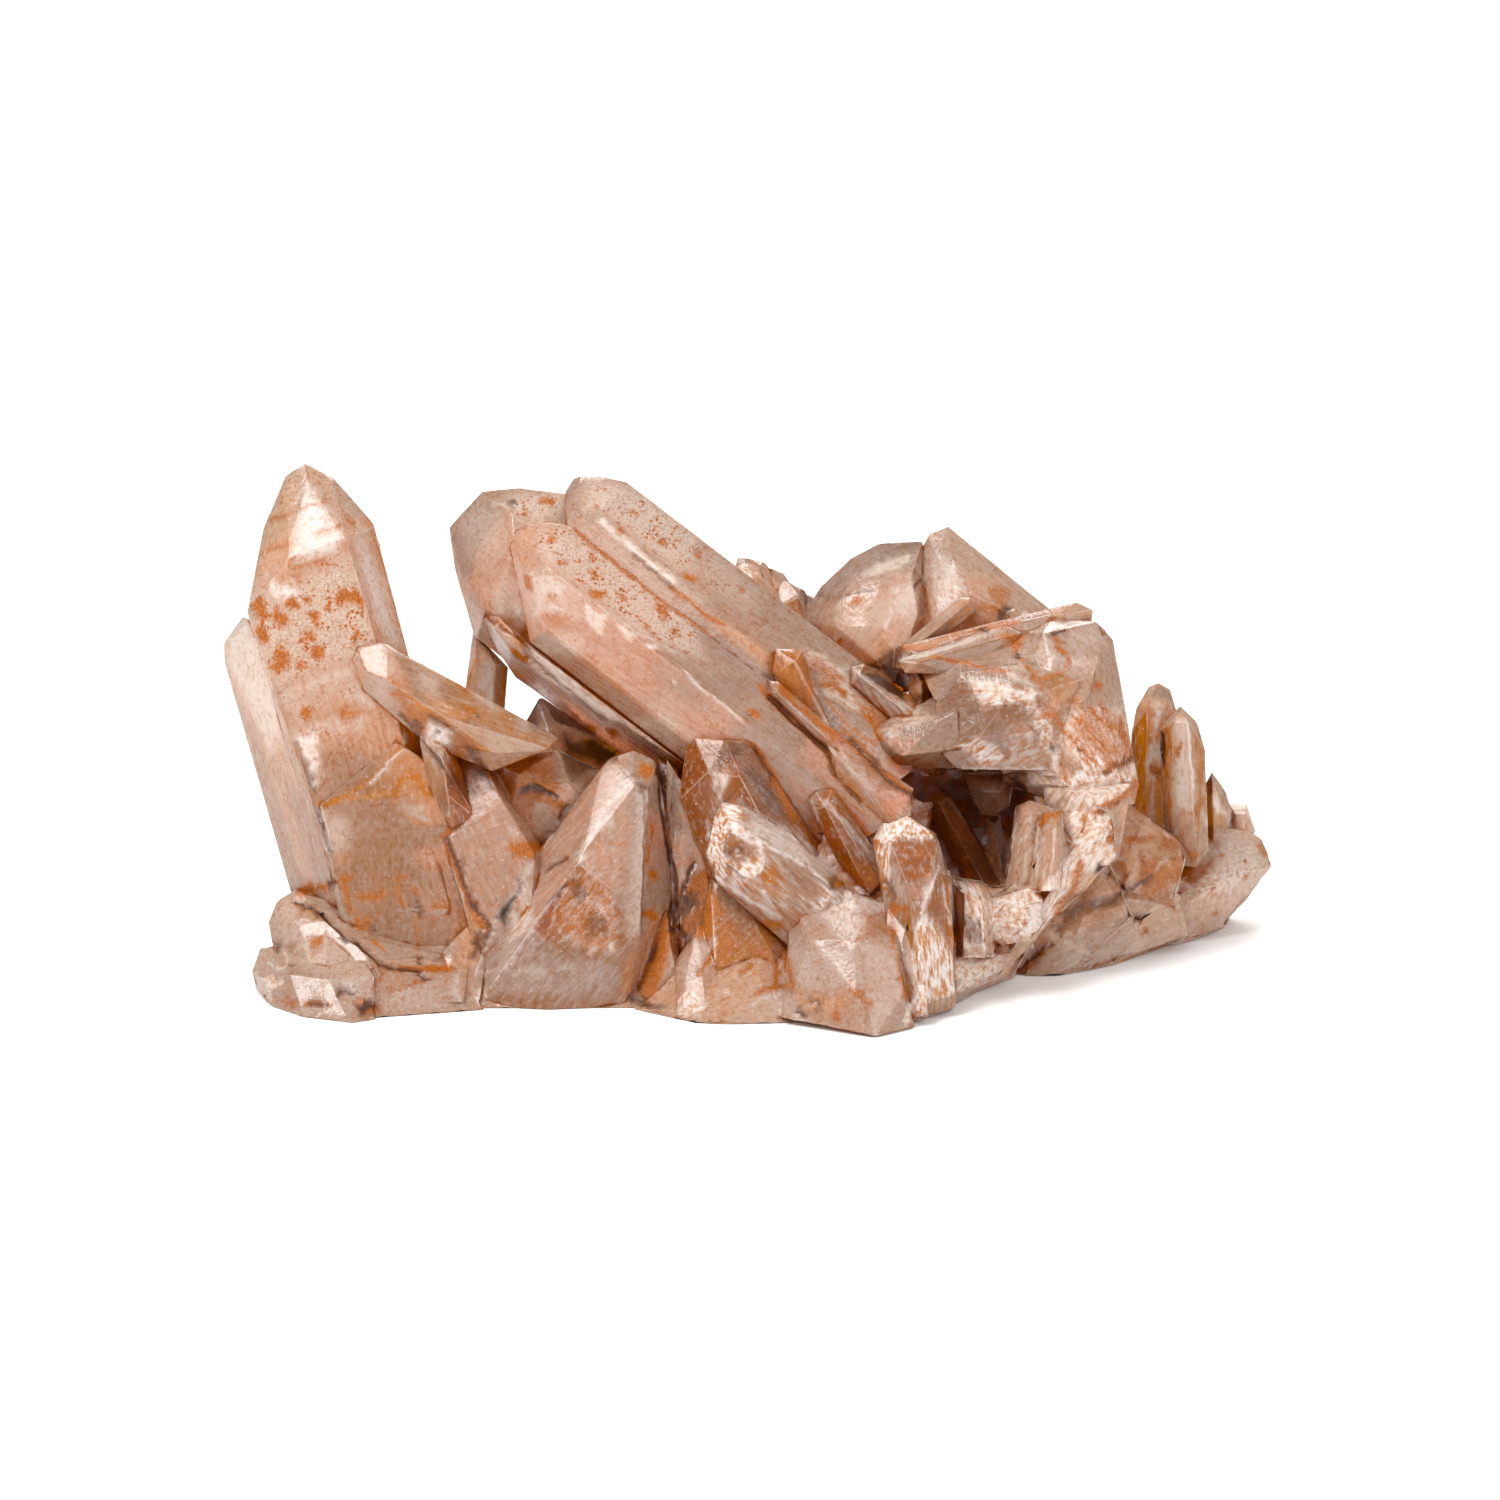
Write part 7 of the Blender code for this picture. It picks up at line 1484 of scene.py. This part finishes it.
def break_faces(mesh, depth, frost, dark):
    """Pits broken faces, opens the cracks and makes flat faces barely uneven. Everything moves inwards."""
    looks = mesh.faces.layers.float_color["looks"]
    along = mesh.faces.layers.float_vector["crystal_axis"]
    mesh.normal_update()
    moves = []
    for k, v in enumerate(mesh.verts):
        rough = sum(f[looks][0] for f in v.link_faces) / len(v.link_faces)
        axis = v.link_faces[0][along]
        place = v.co / MM
        place = place - axis * place.dot(axis) * 0.55
        coarse = noise.noise(place * 0.28)
        cells = noise.voronoi(place * 0.55)[0]
        fine = noise.fractal(place * 1.3, 0.9, 2.1, 3)
        broken = 0.55 * cells[0] + 0.35 * (0.5 + 0.5 * coarse) + 0.22 * (0.5 + 0.5 * fine)
        even = 0.05 * (1 + noise.noise(place * 0.6))
        amount = depth * (rough * broken * 1.5 + (1 - rough) * even)
        if frost[k] > 0.0:
            chips = noise.voronoi(place * 0.9)[0]
            amount += depth * frost[k] * (0.55 * min(chips[1] - chips[0], 0.8) + 0.3 * abs(fine))
        amount += CRACK_DEPTH * MM * dark[k]
        if v.co.z < ON_FLOOR:
            amount = 0
        moves.append((v, v.normal * -amount))
    for v, move in moves:
        v.co += move
        v.co.z = max(v.co.z, 0.0)


def write_hollows(mesh, seams, stain_width):
    """Writes on each point how near a seam it is, and how deep in a hollow; the material paints the hollows
    darker, as rust and as painted shade.
    """
    near = mesh.verts.layers.float.new("seam")
    deep = mesh.verts.layers.float.new("hollow")
    tree = BVHTree.FromBMesh(mesh)
    draw = random.Random(5)
    rays = [Vector([draw.gauss(0, 1) for _ in range(3)]).normalized() for _ in range(10)]
    for v in mesh.verts:
        v[near] = math.exp(-seams.find(v.co)[2] / stain_width)
        start = v.co + v.normal * 5e-5
        blocked = 0.0
        for ray in rays:
            ray = (ray + v.normal * 1.05).normalized()
            hit = tree.ray_cast(start, ray, HOLLOW)
            if hit[0] is not None:
                blocked += 1 - 0.6 * hit[3] / HOLLOW
        v[deep] = blocked / len(rays)


def write_painted(data, painted):
    """Writes the drawn finishes on the points of a mesh, three to a layer."""
    unused = np.zeros(len(data.vertices))
    for k in range(0, len(KINDS), 3):
        layer = data.attributes.new(f"finish_{k // 3 + 1}", "FLOAT_COLOR", "POINT")
        amounts = [painted[kind] for kind in KINDS[k:k + 3]]
        amounts += [unused] * (4 - len(amounts))
        layer.data.foreach_set("color", np.stack(amounts, axis=1).astype(np.float32).ravel())


class MESH_OT_quartz_crystals(bpy.types.Operator):
    """Grow the crystals into one piece of quartz, with worn edges and broken faces"""

    bl_idname = "mesh.quartz_crystals"
    bl_label = "Quartz crystals"

    def execute(self, context):
        shape = context.scene.quartz_shape
        mesh = grown_together(shape.edge_wear)
        keep_outside(mesh)
        seams = seam_points(mesh, shape.grain)
        refine(mesh, seams, shape.grain)
        painted = drawn_over(mesh)
        break_faces(mesh, shape.roughness_depth, painted["frost"], painted["dark"])
        write_hollows(mesh, seams, shape.stain_width)
        made = mesh_object("crystals", mesh, context.scene.collection)
        write_painted(made.data, painted)
        made.data.materials.append(quartz_material(context.scene.quartz_colours))
        made.data.shade_smooth()
        made.data.set_sharp_from_angle(angle=math.radians(SHARP))
        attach(made, "root")
        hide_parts("quartz_cluster")
        return {"FINISHED"}


def paint(red, green, blue):
    """A colour as it looks on screen, 0 to 255, as the shader's linear value."""
    shares = [c / 255 for c in (red, green, blue)]
    return (*[c / 12.92 if c < 0.04045 else ((c + 0.055) / 1.055) ** 2.4 for c in shares], 1.0)


class Shader:
    """Short ways to add and link the nodes of one material."""

    def __init__(self, name):
        self.material = bpy.data.materials.new(name)
        self.material.use_nodes = True
        self.tree = self.material.node_tree
        self.surface = self.tree.nodes["Principled BSDF"]
        self.output = self.tree.nodes["Material Output"]
        self.place = self.add("ShaderNodeTexCoord").outputs["Object"]

    def add(self, kind, **settings):
        """A new node with its settings."""
        node = self.tree.nodes.new(kind)
        for name, value in settings.items():
            setattr(node, name, value)
        return node

    def feed(self, socket, value):
        """Links a value that comes from a node, or sets a plain one."""
        if isinstance(value, bpy.types.NodeSocket):
            self.tree.links.new(value, socket)
        else:
            socket.default_value = value

    def made(self, kind, output, inputs, **settings):
        """The output of a new node, with its inputs fed."""
        node = self.add(kind, **settings)
        for name, value in inputs.items():
            self.feed(node.inputs[name], value)
        return node.outputs[output]

    def attribute(self, name, output="Fac"):
        """What is written on the mesh under a name."""
        return self.made("ShaderNodeAttribute", output, {}, attribute_name=name)

    def three(self, name):
        """The three amounts that a layer of the mesh holds."""
        parts = self.add("ShaderNodeSeparateColor")
        self.feed(parts.inputs["Color"], self.attribute(name, "Color"))
        return parts.outputs

    def math(self, operation, *values, clamp=False):
        """A sum of two values, by its operation."""
        return self.made("ShaderNodeMath", 0, dict(enumerate(values)), operation=operation, use_clamp=clamp)

    def times(self, first, *rest):
        """All the values multiplied."""
        for value in rest:
            first = self.math("MULTIPLY", first, value)
        return first

    def most(self, first, *rest):
        """The largest of the values."""
        for value in rest:
            first = self.math("MAXIMUM", first, value)
        return first

    def between(self, value, low, high):
        """0 below low, 1 above high, and a smooth step between."""
        ends = {"Value": value, "From Min": low, "From Max": high}
        return self.made("ShaderNodeMapRange", "Result", ends, interpolation_type="SMOOTHSTEP")

    def mix(self, amount, first, second):
        """The first colour with an amount of the second."""
        return self.made("ShaderNodeMix", 2, {"Factor": amount, 6: first, 7: second}, data_type="RGBA")

    def noise(self, size_mm, detail, rough, place=None):
        """Cloudy noise with patches of a size in millimetres."""
        return self.made("ShaderNodeTexNoise", "Fac", {
            "Vector": self.place if place is None else place, "Scale": 1 / (size_mm * MM),
            "Detail": detail, "Roughness": rough, "Distortion": 0.0,
        })

    def cells(self, size_mm):
        """The distance to the nearest of scattered points, in cells of a size in millimetres."""
        inputs = {"Vector": self.place, "Scale": 1 / (size_mm * MM)}
        return self.made("ShaderNodeTexVoronoi", "Distance", inputs)

    def bump(self, height, strength, depth_mm, under=None):
        """The surface's direction with a relief that is depth_mm deep, laid over another."""
        inputs = {"Height": height, "Strength": strength, "Distance": depth_mm * MM}
        if under is not None:
            inputs["Normal"] = under
        return self.made("ShaderNodeBump", "Normal", inputs)

    def mottled(self, name, by, low=0.35, high=0.7):
        """A finish's two colours, one changing to the other with a noise."""
        first, second = COLOURS[name]
        return self.mix(self.between(by, low, high), paint(*first), paint(*second))

    def ragged(self, amount, by, much=1.6):
        """The amount with its edge broken up by a noise, where it is neither nothing nor full."""
        edge = self.times(amount, self.math("SUBTRACT", 1.0, amount))
        shift = self.times(self.math("SUBTRACT", by, 0.5), much * 2, edge)
        return self.math("ADD", amount, shift, clamp=True)


def quartz_material(colours):
    """Peach quartz: its body, what is drawn over it with painted highlights and shade, rusty seams, specks,
    growth lines and clear depths.
    """
    s = Shader("quartz")
    rough, warmth, frosty = s.three("looks")
    white, pale, frost = s.three("finish_1")
    smoky, tan, amber = s.three("finish_2")
    rust, red, specks = s.three("finish_3")
    dark, black, _ = s.three("finish_4")
    specked, facet, crest, seam, hollow = map(s.attribute, ("specked", "facet", "crest", "seam", "hollow"))
    axis = s.attribute("crystal_axis", "Vector")

    clouds = s.noise(8.0, 2.0, 0.5)
    cover = s.noise(1.6, 3.0, 0.65)
    grain = s.noise(0.7, 3.0, 0.65)
    fine = s.noise(0.28, 2.0, 0.6)
    height = s.made("ShaderNodeVectorMath", "Value", {0: s.place, 1: axis}, operation="DOT_PRODUCT")
    shrunk = {0: axis, 1: s.times(height, -0.82), 2: s.place}
    fibres = s.noise(0.45, 3.0, 0.6, s.made("ShaderNodeVectorMath", 0, shrunk, operation="MULTIPLY_ADD"))
    rings = {"W": height, "Scale": 1 / (0.5 * MM), "Detail": 4.0}
    lines = s.made("ShaderNodeTexNoise", "Fac", rings, noise_dimensions="1D")

    # The body, with painted facet reflections, and the finishes drawn over it, painted highlights among them
    body = s.mottled("peach", clouds, 0.3)
    # Each flat made lighter by a random amount: painted reflections that differ from facet to facet
    body = s.mix(s.times(facet, 0.35), body, paint(228, 206, 192))
    body = s.mix(s.times(s.between(grain, 0.45, 0.7), 0.3), body, paint(240, 222, 208))
    body = s.mix(s.times(warmth, 0.6), body, s.mottled("warm", cover))
    body = s.mix(s.times(frosty, s.times(s.between(fibres, 0.45, 0.62), 0.6)), body, paint(244, 232, 224))
    body = s.mix(s.ragged(tan, cover), body, s.mottled("tan", cover, 0.3))
    body = s.mix(s.ragged(red, cover), body, s.mottled("red", cover))
    body = s.mix(s.ragged(amber, grain), body, s.mottled("amber", grain))
    body = s.mix(s.ragged(smoky, cover), body, s.mottled("smoky", cover))
    # Pale patches: pale quartz with painted reflections on its glossy facets
    body = s.mix(s.ragged(pale, cover), body, s.mottled("pale", grain))
    body = s.mix(s.times(s.ragged(frost, grain), 0.85), body, s.mottled("frost", fibres, 0.4, 0.58))
    # White patches: painted highlights and glints on the facets
    body = s.mix(s.times(s.ragged(white, grain), 0.85), body, paint(250, 245, 241))

    # Worn edges lighter as chipped wear and painted highlight, growth lines, fibres, grain and painted glints
    dust = s.times(s.between(grain, 0.54, 0.66), s.between(cover, 0.45, 0.65))
    for amount, colour in (
        # Lighter worn strips: whitish chipped wear and a painted highlight along each edge
        (s.times(crest, 0.45), (240, 222, 210)),
        (s.times(s.between(lines, 0.5, 0.7), 0.1), (244, 228, 216)),
        (s.times(s.between(fibres, 0.52, 0.66), 0.28), (246, 234, 224)),
        (s.times(s.between(fibres, 0.46, 0.34), 0.28), (176, 118, 86)),
        (s.times(s.between(grain, 0.46, 0.3), 0.35), (170, 110, 80)),
        (s.times(dust, 0.35), (208, 118, 66)),
        # Tiny scattered white dots: painted glints
        (s.times(s.between(s.cells(1.2), 0.12, 0.06), 0.7), (252, 244, 238)),
    ):
        body = s.mix(amount, body, paint(*colour))

    # Specks, rust, rust and painted shade in hollows, seams, and cracks with painted shade in holes and gaps
    rusty = s.mottled("rust", fine, 0.35, 0.65)
    body = s.mix(s.times(s.ragged(specks, cover), 0.7), body, s.mottled("specked", fine, 0.35, 0.65))
    everywhere = s.times(s.between(cover, 0.46, 0.62), s.most(specks, s.times(specked, 0.45)))
    body = s.mix(s.times(s.between(s.cells(0.5), 0.5, 0.3), everywhere), body, rusty)
    pits = s.times(s.between(s.cells(0.42), 0.3, 0.12), s.times(specks, 0.8))
    body = s.mix(pits, body, paint(120, 104, 96))
    blots = s.ragged(rust, fine, 2.0)
    body = s.mix(blots, body, rusty)
    # Red-brown darkening where rays from a point are blocked: rust in the hollows and painted shade
    body = s.mix(s.times(s.between(hollow, 0.4, 0.85), 0.75), body, paint(146, 70, 38))
    near = s.math("ADD", seam, s.times(s.math("SUBTRACT", cover, 0.5), 0.18))
    stain = s.times(s.between(near, 0.84, 0.94), s.between(clouds, 0.4, 0.56), 0.7)
    body = s.mix(stain, body, paint(156, 84, 48))
    # dark: cracks and joints, and painted shade in holes, gaps and the pocket
    cracks_and_shade = s.ragged(dark, fine, 1.4)
    body = s.mix(cracks_and_shade, body, paint(78, 40, 24))
    # black: painted shade in a deep gap
    body = s.mix(black, body, paint(44, 34, 30))
    deeper = {"Hue": 0.504, "Saturation": 1.5, "Value": 0.7, "Color": body}
    s.feed(s.surface.inputs["Base Color"], s.made("ShaderNodeHueSaturation", "Color", deeper))

    # How clear and how glossy it is
    stained = s.most(s.times(red, 0.7), s.times(s.most(amber, tan), 0.5))
    opaque = s.most(s.times(pale, 0.75), blots, stained, cracks_and_shade, white, frost)
    opaque = s.most(opaque, s.times(specks, 0.7), s.times(rough, 0.7))
    clear = s.math("SUBTRACT", 1.0, s.times(opaque, 0.85), clamp=True)
    s.feed(s.surface.inputs["Transmission Weight"], s.times(clear, colours.clarity))
    s.feed(s.surface.inputs["Roughness"], s.math("ADD", 0.14, s.times(opaque, 0.3)))
    s.surface.inputs["IOR"].default_value = 1.544
    relief = s.bump(lines, 0.25, 0.12)
    relief = s.bump(fibres, 0.3, 0.12, relief)
    relief = s.bump(grain, 0.35, 0.15, relief)
    relief = s.bump(fine, 0.3, 0.06, relief)
    s.feed(s.surface.inputs["Normal"], relief)
    depths = {"Color": tuple(colours.depths), "Density": colours.density}
    s.feed(s.output.inputs["Volume"], s.made("ShaderNodeVolumeAbsorption", 0, depths))
    return s.material


class SCENE_OT_quartz_stage(bpy.types.Operator):
    """Set the cluster on a pale floor under soft studio light, with the camera in front"""

    bl_idname = "scene.quartz_stage"
    bl_label = "Floor, lights and camera"

    def execute(self, context):
        scene = context.scene
        scene.view_settings.view_transform = "Standard"
        world = bpy.data.worlds.new("studio")
        scene.world = world
        world.use_nodes = True
        background = world.node_tree.nodes["Background"]
        background.inputs["Color"].default_value = (1.0, 1.0, 1.0, 1.0)
        background.inputs["Strength"].default_value = 0.55

        bpy.ops.mesh.primitive_plane_add(size=6.0, location=(0, 0, -0.0001))
        floor = context.object
        floor.name = "floor"
        white = bpy.data.materials.new("floor")
        white.use_nodes = True
        surface = white.node_tree.nodes["Principled BSDF"]
        surface.inputs["Base Color"].default_value = (0.95, 0.95, 0.95, 1.0)
        surface.inputs["Roughness"].default_value = 0.9
        surface.inputs["Specular IOR Level"].default_value = 0.1
        floor.data.materials.append(white)

        for name, place, size, power in LIGHTS:
            light = bpy.data.lights.new(name, "AREA")
            light.size = size
            light.energy = power
            lamp = bpy.data.objects.new(name, light)
            lamp.location = place
            lamp.rotation_euler = (Vector((0, 0, 0.02)) - Vector(place)).to_track_quat("-Z", "Y").to_euler()
            scene.collection.objects.link(lamp)

        camera = bpy.data.cameras.new("camera")
        camera.sensor_width = SENSOR
        camera.lens = SENSOR * EYE / SEEN_WIDTH
        camera.clip_end = 20.0
        eye = bpy.data.objects.new("camera", camera)
        eye.location = in_world((0.0, EYE_HEIGHT, -EYE))
        eye.rotation_euler = (math.radians(90 - DRAWING_TILT), 0, 0)
        scene.collection.objects.link(eye)
        scene.camera = eye
        return {"FINISHED"}


class VIEW3D_PT_quartz(bpy.types.Panel):
    """Lists the cluster's pieces and their settings"""

    bl_label = "Quartz cluster"
    bl_space_type = "VIEW_3D"
    bl_region_type = "UI"
    bl_category = "Quartz"

    def draw(self, context):
        layout = self.layout
        for settings in (context.scene.quartz_shape, context.scene.quartz_colours):
            for name in settings.__annotations__:
                layout.prop(settings, name)
        for operator in (MESH_OT_quartz_crystals, SCENE_OT_quartz_stage):
            layout.operator(operator.bl_idname)


CLASSES = (
    QuartzShape,
    QuartzColours,
    MESH_OT_quartz_crystals,
    SCENE_OT_quartz_stage,
    VIEW3D_PT_quartz,
)


def register():
    for made in CLASSES:
        bpy.utils.register_class(made)
    bpy.types.Scene.quartz_shape = bpy.props.PointerProperty(type=QuartzShape)
    bpy.types.Scene.quartz_colours = bpy.props.PointerProperty(type=QuartzColours)


def unregister():
    del bpy.types.Scene.quartz_colours
    del bpy.types.Scene.quartz_shape
    for made in reversed(CLASSES):
        bpy.utils.unregister_class(made)


def make_pieces():
    """Makes every piece of the cluster, in order."""
    bpy.ops.mesh.quartz_crystals()


def main():
    register()
    bpy.ops.scene.quartz_stage()
    make_pieces()


if __name__ == "__main__":
    main()
